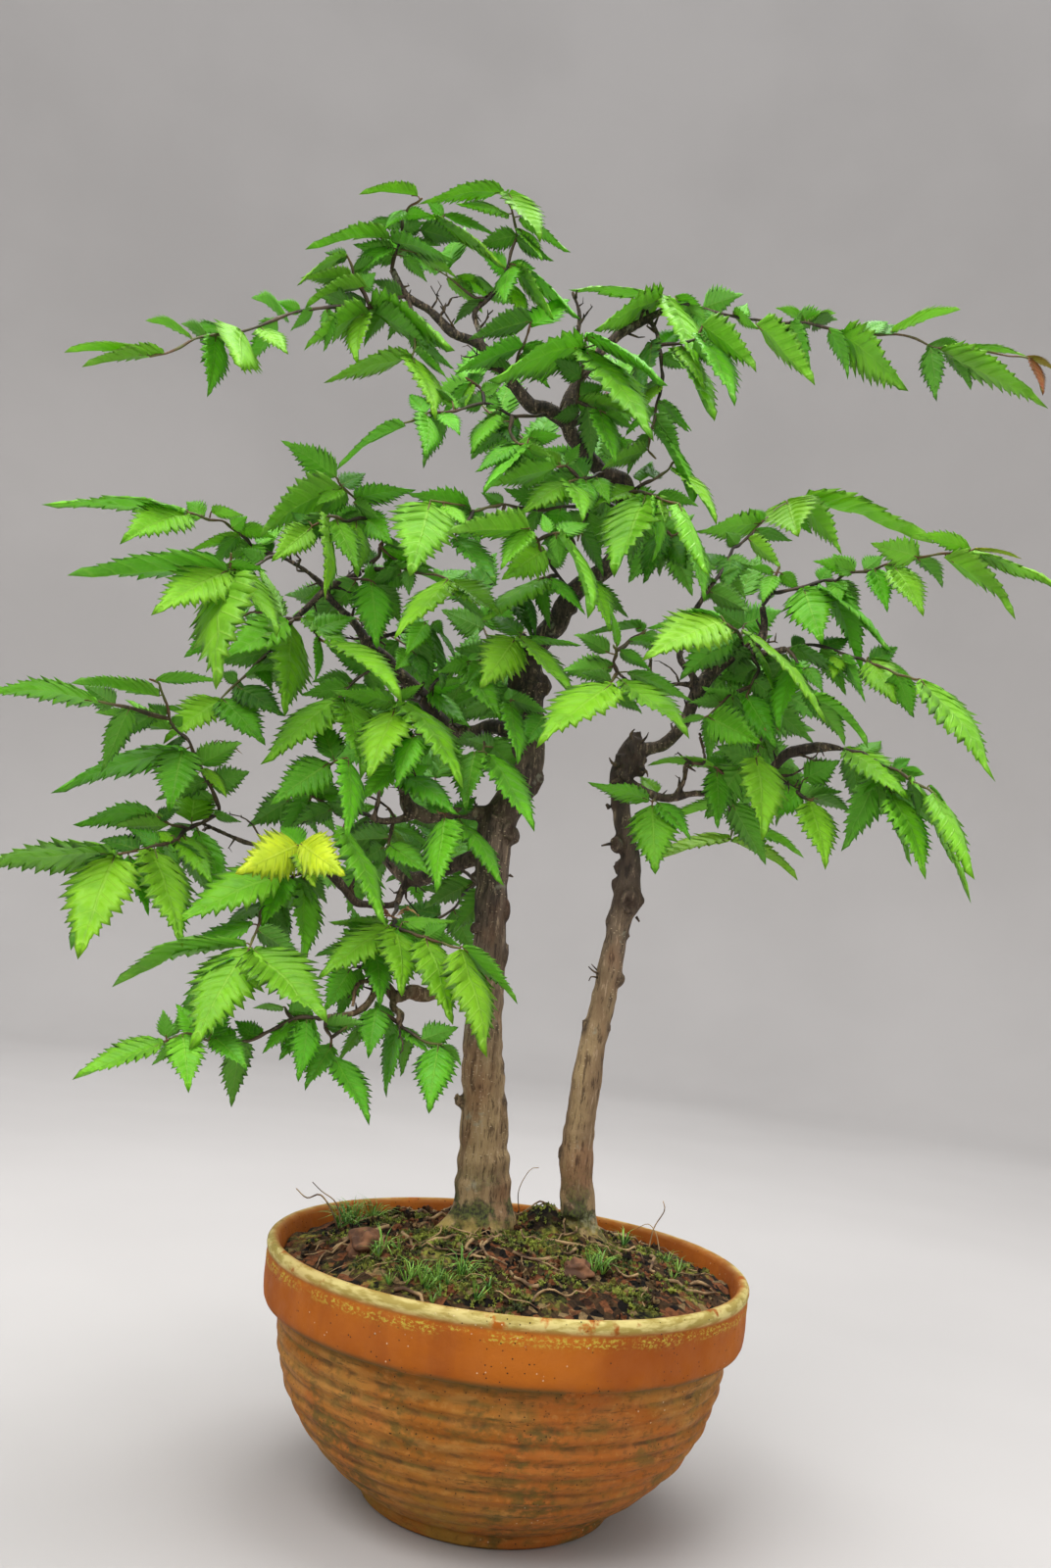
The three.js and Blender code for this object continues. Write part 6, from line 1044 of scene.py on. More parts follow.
def soil_finish():
    """Crumbs of dark and reddish loam, each of a colour of its own, with moss dust and pale bits."""
    f = Finish("loam", Roughness=0.95, Specular_IOR_Level=0.2)
    fine = f.noise(420, 7)
    each = f.add("ShaderNodeTexVoronoi", {"Vector": f.place, "Scale": 230.0}).outputs["Color"]
    each = f.add("ShaderNodeSeparateXYZ", {0: each}).outputs
    moss = f.coats("#454a1a", ("#8f8f3a", (f.noise(200), 0.4, 0.6)))
    mound = f.add("ShaderNodeVectorMath", {0: f.place, 1: MOUND_CENTRE}, operation="DISTANCE")
    f.feed(Base_Color=f.coats(
        "#0e0a07",
        ("#47331f", (each[0], 0.2, 0.8)),
        ("#7c4a2c", (each[1], 0.72, 0.8, 0, 0.8)),
        ("#8d7550", (each[2], 0.86, 0.92, 0, 0.8)),
        ("#0d0906", (fine, 0.42, 0.62, 0, 0.5)),
        (moss, (f.noise(40, 5), 0.53, 0.62), (f.noise(330, 5), 0.4, 0.56), 0.75),
        ("#0d0b07", (mound.outputs["Value"], 0.02, 0.012, 0, 0.85))))
    return f.bumps((fine, 0.0012, 0.9))


def plain_finish(name, dark, light, scale, roughness=0.9, depth=0.0005):
    """A fine grain of two colours."""
    f = Finish(name, Roughness=roughness)
    grain = f.noise(scale, 6)
    f.feed(Base_Color=f.coats(dark, (light, (grain, 0.36, 0.64))))
    return f.bumps((grain, depth, 0.6))


def stage_finish():
    f = Finish("pale_stage", Roughness=0.9)
    f.feed(Base_Color=f.coats("#b2afad", ("#b8b5b3", (f.noise(1.5, 3), 0.3, 0.7))))
    return f.material


# Wood

def limb_rows(rows):
    """A limb's rows of x, z, radius, y as real points with radii, in metres."""
    deep = [(x, z, r, drawn_out(y)) for x, z, r, y in rows]
    return [[*place(x, z, y), r * depth_scale(y) * MM] for x, z, r, y in deep]


def add_roots(shape, foot, roots):
    """Adds the roots that run out from a trunk's foot and down into the soil."""
    for bearing, reach, radius in roots:
        rows = []
        for part, height, thick in ROOT_ROWS:
            angle = math.radians(bearing) + 0.12 * math.sin(part * 5 + bearing)
            out = foot + Vector((math.cos(angle), math.sin(angle), 0)) * reach * part * MM
            rows.append([out.x, out.y, foot.z + height * MM, radius * thick * MM])
        shape.tube(catmull(rows, 3 * MM), 12)


def relief_tree():
    """Small swellings and grooves along the bark."""
    t = GeometryTree("bark relief", Depth=("Float", 0.0006), Scale=("Float", 90.0),
                     Stretch=("Vector", (1, 1, 0.35)), Bark=("Material", None))
    spot = t.vector("MULTIPLY", t.add("GeometryNodeInputPosition"), t.given["Stretch"])
    broad = t.add("ShaderNodeTexNoise", {"Vector": spot, "Scale": t.given["Scale"], "Detail": 3.0})
    fine = t.add("ShaderNodeTexNoise", {"Vector": spot, "Scale": t.times(t.given["Scale"], 3.2),
                                        "Detail": 2.0})
    height = t.math("ADD", t.math("SUBTRACT", broad, 0.5), t.times(t.math("SUBTRACT", fine, 0.5), 0.45))
    moved = t.moved(t.given["Geometry"], t.add("GeometryNodeInputNormal"), t.times(height, t.given["Depth"]))
    return t.end(t.coated(t.geometry("RealizeInstances", {0: moved}), "Bark"))


def trunk(name, wood, bark, voxel):
    """A trunk with its limbs, roots, bumps, rings and torn wood, joined under one skin."""
    shape = Shape()
    for rows in wood["limbs"].values():
        rows = limb_rows(rows)
        wander = [[x, y, z, r * (1 + 0.1 * noise.noise(Vector((x, y, z)) * 160))]
                  for x, y, z, r in catmull(rows, 2.5 * MM)]
        shape.tube(wander, 20 if rows[0][3] > 5 * MM else 12)
    x, z, _, y = wood["limbs"]["trunk"][1]
    add_roots(shape, place(x, z, y), wood["roots"])
    for i, (x, z, across, up, y) in enumerate(wood["bumps"]):
        shape.lump(place(x, z, y), (across * MM, across * MM, up * MM), i, 0.5)
    for x, z, y, dx, dy, dz, radius in wood["rings"]:
        shape.ring(place(x, z, y), (dx, dy, dz), radius * MM, radius * 0.34 * MM)
    for i, (x, z, y, size, reach) in enumerate(wood["torn"]):
        shape.lump(place(x, z, y), (size * MM, size * MM, reach * MM), 40 + i, 1.2)
    obj = shape.made(name)
    skin = obj.modifiers.new("skin", "REMESH")
    skin.mode, skin.voxel_size = "VOXEL", voxel
    relax = obj.modifiers.new("relax", "SMOOTH")
    relax.factor, relax.iterations = 0.5, 2
    obj = finished(obj, name)
    obj = apply_tree(obj, relief_tree(), name, Depth=RELIEF_DEPTH, Scale=RELIEF_SCALE, Bark=bark)
    smooth(obj)
    spots = np.array([[*place(x, z, y), (across + up) / 2 * MM] for x, z, across, up, y in wood["bumps"]])
    points = np.array([v.co for v in obj.data.vertices])
    near = np.min(np.linalg.norm(points[:, None, :] - spots[None, :, :3], axis=2)
                  - spots[None, :, 3], axis=1)
    store(obj, "knot", np.clip(1 - near / (2 * MM), 0, 1))
    hand_over(obj, "bark", wood["solid"])


def aside(rng):
    """A vector that points anywhere."""
    return Vector([rng.uniform(-1, 1) for _ in range(3)])


def dead_twig(shape, start, heading, steps, thick, rng):
    """A bare crooked twig with a swelling and a short spur at each node."""
    rows, here = [[*start, thick * 1.3]], Vector(start)
    for step in range(steps):
        heading = (heading + Vector([rng.uniform(-0.55, 0.55) for _ in range(3)])).normalized()
        here = here + heading * rng.uniform(3.5, 7.0) * MM
        width = thick * (1 - 0.6 * (step + 1) / steps)
        rows += [[*here, width * 1.45], [*(here + heading * 0.8 * MM), width]]
        if rng.random() < 0.75:
            out = (heading.cross(aside(rng)).normalized() + heading * 0.5).normalized()
            reach = rng.uniform(1.2, 3.6) * MM
            shape.tube([[*here, width], [*(here + out * reach), width * 0.8],
                        [*(here + out * (reach + 0.9 * MM)), width * 0.25]], 5)
    shape.tube(rows, 6)


# Leaves

def leaf_pattern(name, teeth, seed):
    """One leaf, 1 long and 1 wide, as a closed thin shell with a tooth at the end of each side vein."""
    rng = random.Random(seed)
    xs, ws = zip(*LEAF_OUTLINE)

    def half_width(x):
        return float(np.interp(x, xs, ws))

    # Each row is a line from the midrib to the edge: rib number, edge place, half width.
    rows = [(0.0, 0.0, 0.03), (0.5, 0.03, 0.13)]
    start = 0.055
    pitches = np.linspace(1.12, 0.72, teeth)
    pitches *= (0.9 - start) / pitches.sum()
    for k, pitch in enumerate(pitches):
        wide = half_width(start + pitch)
        depth = TOOTH_DEPTH * min(wide ** 0.5, wide * 2.4) * rng.uniform(0.85, 1.15)
        notch = half_width(start) - depth * 0.62
        point = start + pitch * rng.uniform(1.16, 1.3)
        rows.append((k + 0.55, start, max(notch, 0.02)))
        for rib, part, out in ((0.72, 0.45, 0.1), (0.8, 0.55, -0.16)):
            x = start + pitch * part
            rows.append((k + rib, x, half_width(x) + depth * out))
        rows.append((k + 1.0, min(point, 0.96), wide + depth * 0.5))
        start += pitch
    verts, ribs, across, faces, under = [], [], [], [], []

    def add(x, y, z, rib, out):
        verts.append((x, y, z))
        ribs.append(rib)
        across.append(out)
        return len(verts) - 1

    def close(corners, face):
        faces.append(tuple(reversed(corners)) if face == 1 else tuple(corners))
        under.append(float(face == -1))

    outs = (-1, -0.62, -0.28, 0, 0.28, 0.62, 1)
    grid, middle = {}, -0.01
    for i, (rib, x, w) in enumerate(rows):
        middle = max(middle + 0.004, x - VEIN_SLANT * w - 0.02)
        swell = 0.5 - 0.5 * math.cos(2 * math.pi * rib)
        for face in (1, -1):
            for out in outs:
                edge = abs(out) == 1
                if edge and face == -1:
                    grid[face, i, out] = grid[1, i, out]
                    continue
                quilt = QUILT * swell * math.sin(math.pi * abs(out)) - MIDRIB_DEPTH * (out == 0)
                thick = 0 if edge else face * LEAF_THICKNESS * (1 - abs(out) * 0.5)
                grid[face, i, out] = add(middle + (x - middle) * abs(out), w * out, quilt + thick, rib, out)
    tip = add(1.03, 0, 0, teeth + 0.5, 0)
    last = len(rows) - 1
    for face in (1, -1):
        for i in range(last):
            for a, b in zip(outs, outs[1:]):
                close([grid[face, i, a], grid[face, i + 1, a], grid[face, i + 1, b], grid[face, i, b]], face)
        for a, b in zip(outs, outs[1:]):
            close([grid[face, last, a], tip, grid[face, last, b]], face)
    close([grid[1, 0, o] for o in outs] + [grid[-1, 0, o] for o in reversed(outs[1:-1])], 0)
    obj = mesh_object(name, verts, faces)
    store(obj, "rib", ribs)
    store(obj, "across", across)
    store(obj, "along", [v[0] for v in verts])
    store(obj, "under", under, domain="FACE")
    smooth(obj)
    return obj


def shoot_tree(patterns):
    """Stems from edges, and a leaf on each loose point, turned, sized and bent by the point's values."""
    t = GeometryTree("leafy shoot", Stem_sides=("Int", 7), Curl=("Float", 1.0),
                     Stem_bark=("Material", None), Leaf_skin=("Material", None))
    parts = t.geometry("SeparateGeometry", {"Geometry": t.given["Geometry"],
                                            "Selection": t.named("is_leaf")}).outputs
    line = t.geometry("MeshToCurve", {0: parts[1]})
    line = t.add("GeometryNodeCurveSplineType", {"Curve": line}, spline_type="CATMULL_ROM")
    line = t.geometry("SetSplineResolution", {"Geometry": line, "Resolution": 3})
    circle = t.geometry("CurvePrimitiveCircle", {"Resolution": t.given["Stem sides"], "Radius": 1.0})
    stem = t.geometry("CurveToMesh", {"Curve": line, "Profile Curve": circle, "Fill Caps": True,
                                      "Scale": t.named("thick")})
    stem = t.coated(t.geometry("SetShadeSmooth", {"Geometry": stem}), "Stem bark")
    choice = t.add("GeometryNodeGeometryToInstance")
    for pattern in patterns:
        info = t.geometry("ObjectInfo", {"Object": pattern, "As Instance": False})
        t.join(info.outputs["Geometry"], choice.inputs[0])
    size, lift = t.named("size", "FLOAT_VECTOR"), t.named("lift", "FLOAT_VECTOR")
    turn = t.add("FunctionNodeAxesToRotation",
                 {"Primary Axis": t.named("axis", "FLOAT_VECTOR"), "Secondary Axis": lift},
                 primary_axis="X", secondary_axis="Z")
    which = t.add("FunctionNodeFloatToInt", {0: t.named("pattern")})
    leaves = t.geometry("InstanceOnPoints", {"Points": parts[0], "Instance": choice, "Pick Instance": True,
                                             "Instance Index": which, "Rotation": turn, "Scale": size})
    leaves = t.geometry("RealizeInstances", {0: leaves})
    along, (length, width, _) = t.named("along"), t.add("ShaderNodeSeparateXYZ", {0: size}).outputs
    arch = t.times(along, t.math("SUBTRACT", along, 1.0))
    droop = t.times(arch, t.times(length, t.times(t.named("bend"), -1.0)))
    fold = t.math("POWER", t.math("ABSOLUTE", t.named("across")), 1.3)
    fold = t.times(fold, t.times(width, t.named("fold")))
    wobble = t.add("ShaderNodeTexNoise", {"Vector": t.add("GeometryNodeInputPosition"), "Scale": 45.0,
                                          "Detail": 1.0})
    ripple = t.times(t.math("SUBTRACT", wobble, 0.5), t.times(width, RIPPLE))
    bent = t.times(t.given["Curl"], t.math("ADD", droop, t.math("ADD", fold, ripple)))
    leaves = t.coated(t.moved(leaves, lift, bent), "Leaf skin")
    both = t.geometry("JoinGeometry", {0: stem})
    t.join(leaves, both.inputs[0])
    return t.end(t.geometry("RealizeInstances", {0: both}))


def nearest_on_stems(stem_rows, x, z):
    """The point of the stems that is seen nearest to x, z."""
    best = None
    for row in stem_rows:
        for (x0, z0, y0), (x1, z1, y1) in zip(row, row[1:]):
            run = math.hypot(x1 - x0, z1 - z0)
            t = min(1, max(0, ((x - x0) * (x1 - x0) + (z - z0) * (z1 - z0)) / run ** 2))
            near = (x0 + (x1 - x0) * t, z0 + (z1 - z0) * t, y0 + (y1 - y0) * t)
            gap = math.hypot(near[0] - x, near[1] - z)
            if best is None or gap < best[0]:
                best = (gap, near)
    return best[1]


def blade_frame(stem_rows, row):
    """Where a leaf's blade lies and how it is turned, so that the width that shows is its row's."""
    bx, bz, tx, tz, dy, shown, _ = row
    nx, nz, depth = nearest_on_stems(stem_rows, bx, bz)
    base, tip = place(bx, bz, depth), place(tx, tz, depth + dy)
    axis = tip - base
    length = axis.length
    axis.normalize()
    to_viewer = (Vector((0, -VIEW_DEPTH, VIEW_HEIGHT)) * MM - base).normalized()
    across = axis.cross(to_viewer).normalized()
    inward = axis.cross(across).normalized()
    seen = shown * depth_scale(depth) * MM
    width = max(length * NARROWEST, min(seen, length * WIDEST))
    turn = math.acos(min(1, seen / width))
    sides = [across * math.cos(angle) + inward * math.sin(angle) for angle in (turn, -turn)]
    best = max((axis.cross(side) for side in sides), key=lambda normal: abs(normal.z))
    lift = best if best.z > 0 else -best
    return base, axis, lift, length, width, place(nx, nz, depth)


def tone_colour(tone, brightness, rng):
    """A leaf's linear colour for its tone, painted shade and painted light included, no two quite alike."""
    tones = [srgb(code) for code in LEAF_TONES]
    low = min(int(tone), 4)
    part = tone - low if low != 3 else (tone - low) ** 2.5
    red, green, blue = (a + (b - a) * part for a, b in zip(tones[low], tones[low + 1]))
    shade = rng.uniform(0.86, 1.14) * brightness
    warm = rng.uniform(-0.1, 0.1) if tone < 3 else rng.uniform(-0.04, 0)
    return [red * shade * (1 + warm), green * shade, blue * shade * (1 - warm), 1]


def kinked(row, rng):
    """The stem's points with one more between each two, set a little aside, where it bends at a node."""
    points = [row[0]]
    for here, ahead in zip(row, row[1:]):
        reach = math.dist(here, ahead)
        points.append([(a + b) / 2 + rng.uniform(-0.07, 0.07) * reach for a, b in zip(here, ahead)])
        points.append(ahead)
    return points


def inner_leaves(stem_rows, spacing, rng):
    """Small leaves along the older part of each stem, as rows like those of the tables, whose dark tones are
    painted shade inside the crown.
    """
    rows = []
    for row in stem_rows:
        side = rng.choice((-1, 1))
        older = row[:max(2, round(len(row) * OLDER_SHARE))]
        for (x0, z0, _), (x1, z1, _) in zip(older, older[1:]):
            count = math.hypot(x1 - x0, z1 - z0) / spacing
            for _ in range(int(count + rng.random())):
                part = rng.random()
                length = rng.uniform(*INNER_LENGTHS)
                angle = math.atan2(z1 - z0, x1 - x0) + side * rng.uniform(0.5, 1.5)
                bx, bz = x0 + (x1 - x0) * part, z0 + (z1 - z0) * part
                tx = bx + math.cos(angle) * length
                tz = bz + min(0.35, math.sin(angle) - rng.uniform(0, 0.45)) * length
                rows.append([bx, bz, tx, tz, rng.uniform(-6, 16), length * rng.uniform(0.3, 0.55),
                             rng.uniform(0, 1.1)])
                side = -side
    return rows


def make_shoot(seed, name, stem_rows, leaf_rows, tree, choice, finishes):
    """One leafy shoot, from points that carry the values of stems and leaves."""
    rng = random.Random(seed)
    stem_rows = [[(x, z, drawn_out(y)) for x, z, y in row] for row in stem_rows]
    verts, edges = [], []
    values = {key: [] for key in POINT_VALUES}

    def point(spot, before=None, **own):
        """Adds a point with its own values, joined to the one before, and returns its number."""
        verts.append(spot)
        for key, (_, usual) in POINT_VALUES.items():
            values[key].append(own.get(key, usual))
        if before is not None:
            edges.append((before, len(verts) - 1))
        return len(verts) - 1

    for row in stem_rows:
        last = None
        for i, (x, z, y) in enumerate(kinked(row, rng)):
            part = i / (2 * len(row) - 2)
            swollen = 1.25 if i % 2 else 0.9
            last = point(place(x, z, y), last, young=max(0.0, part * 1.4 - 0.6),
                         thick=(1.15 - 0.6 * part) * rng.uniform(0.9, 1.1) * swollen * MM)
    spacing = BACK_SPACING if name.startswith("back_") else INNER_SPACING
    for row in leaf_rows + inner_leaves(stem_rows, spacing, rng):
        base, axis, lift, length, width, node = blade_frame(stem_rows, row)
        stalk = [(node, 0.5), (base, 0.4), (base + axis * length * 0.12, 0.3)]
        if (base - node).length < 0.8 * MM:
            del stalk[1]
        last = None
        for spot, thick in stalk:
            last = point(spot, last, thick=thick * MM, young=0.8)
        point(base, is_leaf=1.0, pattern=rng.randrange(3), bend=rng.uniform(0.05, 0.3),
              fold=rng.uniform(-0.1, 0.12), axis=axis, lift=lift,
              size=(length * choice.leaf_length, width * choice.leaf_width, length),
              tint=tone_colour(row[6], choice.leaf_shade, rng))
    source = mesh_object("leafy_" + name, verts, [], edges=edges)
    for key, (kind, _) in POINT_VALUES.items():
        store(source, key, values[key], kind)
    made = apply_tree(source, tree, "leafy_" + name, Curl=choice.leaf_curl, **finishes)
    hand_over(made, "leaf", "shoot_" + name)


# The bowl and what is in it

def bowl_profile():
    """Rows of radius, height, rib share, crust share and algae share, up the outside and down the inside."""
    rs, zs = zip(*BODY_OUTLINE)
    rows = [(r, 0, 0, 0, 0) for r in FOOT_RADII]
    for z in np.linspace(0, BODY_TOP, BODY_RINGS):
        ribbed = min(clip((z - RIB_START) / 6), clip((RIB_END - z) / 4))
        rows.append((float(np.interp(z, zs, rs)), z, ribbed, 0, 0))
    rows += [(r, z, 0, crust, algae) for r, z, crust, algae in LIP_OUTLINE]
    return rows + [(r, z, 0, 0, 0) for r, z in INSIDE_OUTLINE]


def rib_wave(c, s, z):
    """How far the thrown ribs stand out in millimetres in a direction and at a height."""
    drift = 1.1 * noise.noise(Vector((c * 1.3, s * 1.3, z * 0.02)))
    main = math.sin(2 * math.pi * (z / RIB_PITCH) + drift)
    ribs = 0.8 * main * (0.75 + 0.6 * noise.noise(Vector((c * 2, s * 2, z * 0.06 + 4))))
    lines = 0.6 * noise.noise(Vector((c * 1.6, s * 1.6, z * 0.42 + 9)))
    return ribs + lines + 0.22 * noise.noise(Vector((c * 7, s * 7, z * 0.6)))


def make_bowl(clay, segments):
    """The bowl as one turned solid, with its drain holes cut out."""
    layers = {"groove": [], "crust": [], "algae": []}

    def spot(row, angle):
        r, z, ribbed, crust, algae = row
        c, s = math.cos(angle), math.sin(angle)
        wander = noise.noise(Vector((c * 1.6, s * 1.6, z * 0.05 + 7)))
        local = noise.noise(Vector((c * 4 + 3, s * 4, z * 0.05)))
        wave = rib_wave(c, s, z) * ribbed
        radius = r + wave - 0.4 * ribbed + 0.35 * wander * (z > 5)
        layers["groove"].append(clip(-wave * 1.6 - 0.35))
        layers["crust"].append(clip(crust * (1 + 0.35 * local)))
        layers["algae"].append(algae * clip(0.6 - 0.7 * s + local))
        return radius * c * MM, radius * s * MM, z * MM

    rows = bowl_profile()
    verts, faces = turned(rows, segments, spot)
    last = len(verts) - segments
    faces += fan(len(verts), 0, segments, inward=True) + fan(len(verts) + 1, last, segments)
    verts += [(0, 0, 0), (0, 0, rows[-1][1] * MM)]
    obj = mesh_object("bowl", verts, faces, clay)
    for name, layer in layers.items():
        store(obj, name, layer + [0, 0])
    cutters = []
    for i in range(HOLE_COUNT):
        angle = 2 * math.pi * i / HOLE_COUNT + math.pi / 2
        x, y = HOLE_DISTANCE * MM * math.cos(angle), HOLE_DISTANCE * MM * math.sin(angle)
        shape = Shape()
        shape.tube([[x, y, z * MM, HOLE_RADIUS * MM] for z in (-5, 20)], 24)
        cutters.append(shape.made("cutter"))
        cut = obj.modifiers.new("drain", "BOOLEAN")
        cut.operation, cut.object, cut.solver = "DIFFERENCE", cutters[-1], "EXACT"
    obj = finished(obj, "bowl")
    for cutter in cutters:
        drop(cutter)
    hand_over(obj, "terracotta", "pot")


def ground(x, y):
    """The height of the crumbly surface in metres at x, y in millimetres."""
    spot = Vector((x, y, 0))
    distance = math.hypot(spot.x, spot.y)
    part = min(1.0, distance / SOIL_REACH)
    base = SOIL_TOP - SOIL_FALL * part * part - max(0, distance - SOIL_REACH) * 0.2
    clods = 2.8 * noise.noise(spot * 0.05) + 2.6 * abs(noise.noise(spot * 0.12)) \
        + 1.8 * noise.noise(spot * 0.25) + 0.7 * noise.noise(spot * 0.6)
    away = (spot.x - MOUND_X) ** 2 + (spot.y - MOUND_Y) ** 2
    mound = MOUND_HEIGHT * math.exp(-away / MOUND_SPREAD)
    return (base + clods + mound - 1.0) * MM


def make_soil(loam):
    """The soil as one turned solid, which fills the bowl up to the crumbly ground."""
    def spot(row, angle):
        r, z = row
        x, y = r * math.cos(angle), r * math.sin(angle)
        return x * MM, y * MM, ground(x, y) if z is None else z * MM

    rows = [(r, None) for r in np.linspace(*SOIL_RADII, SOIL_RINGS)] + SOIL_SIDE
    verts, faces = turned(rows, SOIL_SEGMENTS, spot, inward=True)
    last = len(verts) - SOIL_SEGMENTS
    faces += fan(len(verts), 0, SOIL_SEGMENTS)
    faces += fan(len(verts) + 1, last, SOIL_SEGMENTS, inward=True)
    verts += [(0, 0, ground(0, 0)), (0, 0, SOIL_SIDE[-1][1] * MM)]
    return mesh_object("loam", verts, faces, loam)


def scatter_tree(name, part):
    """Small pieces spread over the faces that carry the attribute 'bed'."""
    t = GeometryTree(name, Density=("Float", 20000.0), Smallest=("Float", 0.5), Largest=("Float", 1.5),
                     Seed=("Int", 3), Tilt=("Float", 0.4), Finish=("Material", None))
    seed, tilt = t.given["Seed"], t.given["Tilt"]
    spots = t.geometry("DistributePointsOnFaces", {"Mesh": t.given["Geometry"], "Seed": seed,
                                                   "Density": t.times(t.given["Density"], t.named("bed"))})
    info = t.geometry("ObjectInfo", {"Object": part, "As Instance": True})
    spin = t.add("FunctionNodeRandomValue", {0: (-1, -1, -3.14), 1: (1, 1, 3.14), "Seed": seed},
                 data_type="FLOAT_VECTOR")
    spin = t.vector("MULTIPLY", spin, t.add("ShaderNodeCombineXYZ", {0: tilt, 1: tilt, 2: 1.0}))
    share = t.add("FunctionNodeRandomValue", {2: 0.0, 3: 1.0, "Seed": 11}, data_type="FLOAT").outputs[1]
    scale = t.add("ShaderNodeMapRange", {"Value": share, "To Min": t.given["Smallest"],
                                         "To Max": t.given["Largest"]})
    made = t.geometry("InstanceOnPoints", {"Points": spots, "Instance": info.outputs["Geometry"],
                                           "Rotation": spin, "Scale": scale})
    return t.end(t.coated(t.geometry("RealizeInstances", {0: made}), "Finish"))


def patch(name, spots):
    """A sheet that follows the ground around given spots: x, y, radius and strength in millimetres."""
    verts, faces, bed, n = [], [], [], 14
    for x0, y0, radius, strength in spots:
        first = len(verts)
        for i, j in np.ndindex(n + 1, n + 1):
            x, y = x0 + (i / n * 2 - 1) * radius, y0 + (j / n * 2 - 1) * radius
            verts.append((x * MM, y * MM, ground(x, y)))
            inside = 1 - math.hypot(x - x0, y - y0) / radius
            wide = inside + 0.35 * noise.noise(Vector((x, y, 3)) * 0.09)
            bed.append(strength * clip(wide * 2.5))
        for i, j in np.ndindex(n, n):
            a = first + i * (n + 1) + j
            faces.append((a, a + n + 1, a + n + 2, a + 1))
    obj = mesh_object(name, verts, faces)
    store(obj, "bed", bed)
    return obj


def tuft(name, blades, height, width, spread, seed):
    """A small rosette of pointed blades."""
    rng = random.Random(seed)
    verts, faces = [], []
    for k in range(blades):
        angle = 2 * math.pi * k / blades + rng.uniform(-0.3, 0.3)
        lean = spread * rng.uniform(0.35, 1.0)
        out = np.array([math.cos(angle), math.sin(angle), 0])
        side = np.array([-math.sin(angle), math.cos(angle), 0]) * width / 2
        tall = height * rng.uniform(0.7, 1.1)
        middle = out * lean * 0.4 * tall + np.array([0, 0, tall * 0.6])
        tip = out * lean * tall + np.array([0, 0, tall * (1 - 0.35 * lean)])
        first = len(verts)
        back = out * width * 0.35
        verts += [-side, side, back, middle - side * 0.8, middle + side * 0.8, middle + back * 0.8, tip]
        faces.append((first, first + 2, first + 1))
        for quad in band(first, first + 3, 3):
            faces += [quad, (quad[3], quad[2], first + 6)]
    return mesh_object(name, verts, faces)


def cover(pieces, part, slot, seed, **values):
    """Beds with small parts scattered over them, one for each row of a table."""
    for number, (name, node, spots) in enumerate(pieces):
        made = apply_tree(patch(name, spots), scatter_tree(name + " parts", part), name,
                          Seed=seed + number, **values)
        hand_over(made, slot, node)
    drop(part)


def merge(objects, name):
    """Joins finished meshes into the first one."""
    bpy.ops.object.select_all(action="DESELECT")
    for obj in objects:
        obj.select_set(True)
    bpy.context.view_layer.objects.active = objects[0]
    bpy.ops.object.join()
    objects[0].name = name
    return objects[0]


# What a user may change

def size_setting(name, description, default, low):
    """A length in metres."""
    return bpy.props.FloatProperty(name=name, description=description, default=default, min=low,
                                   unit="LENGTH", precision=5)


def share_setting(name, description, default):
    """A share of the usual amount."""
    return bpy.props.FloatProperty(name=name, description=description, default=default, min=0.0,
                                   max=2.0, subtype="FACTOR")


def density_setting(name, description, default):
    """How many pieces stand on a square metre."""
    return bpy.props.FloatProperty(name=name, description=description, default=default, min=0.0)


def colour_setting(name, description, code):
    return bpy.props.FloatVectorProperty(name=name, description=description, default=srgb(code), size=3,
                                         min=0.0, max=1.0, subtype="COLOR")


class BonsaiSettings(bpy.types.PropertyGroup):
    """Sizes and colours that a user may change"""
    wood_detail: size_setting("Wood detail", "Voxel size of the wood's skin", 0.001, 0.0006)
    bowl_segments: bpy.props.IntProperty(name="Bowl segments", description="Faces round the bowl",
                                         default=330, min=48, max=512)
    leaf_length: share_setting("Leaf length", "Share of the length in the tables", 1.06)
    leaf_width: share_setting("Leaf width", "Share of the width in the tables", 1.16)
    leaf_curl: share_setting("Leaf curl", "How much the leaves arch and fold", 1.0)
    leaf_shade: share_setting("Leaf shade", "How bright the leaves' colours are", 1.0)
    moss_height: size_setting("Moss height", "Height of a moss tuft", 0.0024, 0.0005)
    grass_height: size_setting("Grass height", "Height of a grass rosette", 0.013, 0.002)
    moss_density: density_setting("Moss density", "Moss tufts on a square metre", 260000.0)
    grass_density: density_setting("Grass density", "Grass rosettes on a square metre", 12500.0)
    crumb_density: density_setting("Crumb density", "Soil crumbs on a square metre", 26000.0)
    clay_dark: colour_setting("Darker clay", "The band's darker clay", "#934a0c")
    clay_light: colour_setting("Lighter clay", "The band's lighter clay", "#ad6014")
    moss_dark: colour_setting("Darker moss", "The moss in its darker parts", "#2c3711")
    moss_light: colour_setting("Lighter moss", "The moss in its lighter parts", "#8d9636")
    grass_dark: colour_setting("Darker grass", "The grass in its darker parts", "#3c7220")
    grass_light: colour_setting("Lighter grass", "The grass in its lighter parts", "#8cba48")
    stone_dark: colour_setting("Darker stone", "The stones in their darker parts", "#4e3424")
    stone_light: colour_setting("Lighter stone", "The stones in their lighter parts", "#83593c")
    stage_reach: size_setting("Stage reach", "How far round the plant the stage starts to rise", 2.2, 0.5)


# The pieces

class BONSAI_OT_bowl(bpy.types.Operator):
    """The thrown terracotta bowl with its ribs, band and lip"""
    bl_idname = "bonsai.bowl"
    bl_label = "Bowl"
    bl_options = {"REGISTER", "UNDO"}

    def execute(self, context):
        choice = context.scene.bonsai
        make_bowl(clay_finish(choice.clay_dark, choice.clay_light), choice.bowl_segments)
        return {"FINISHED"}


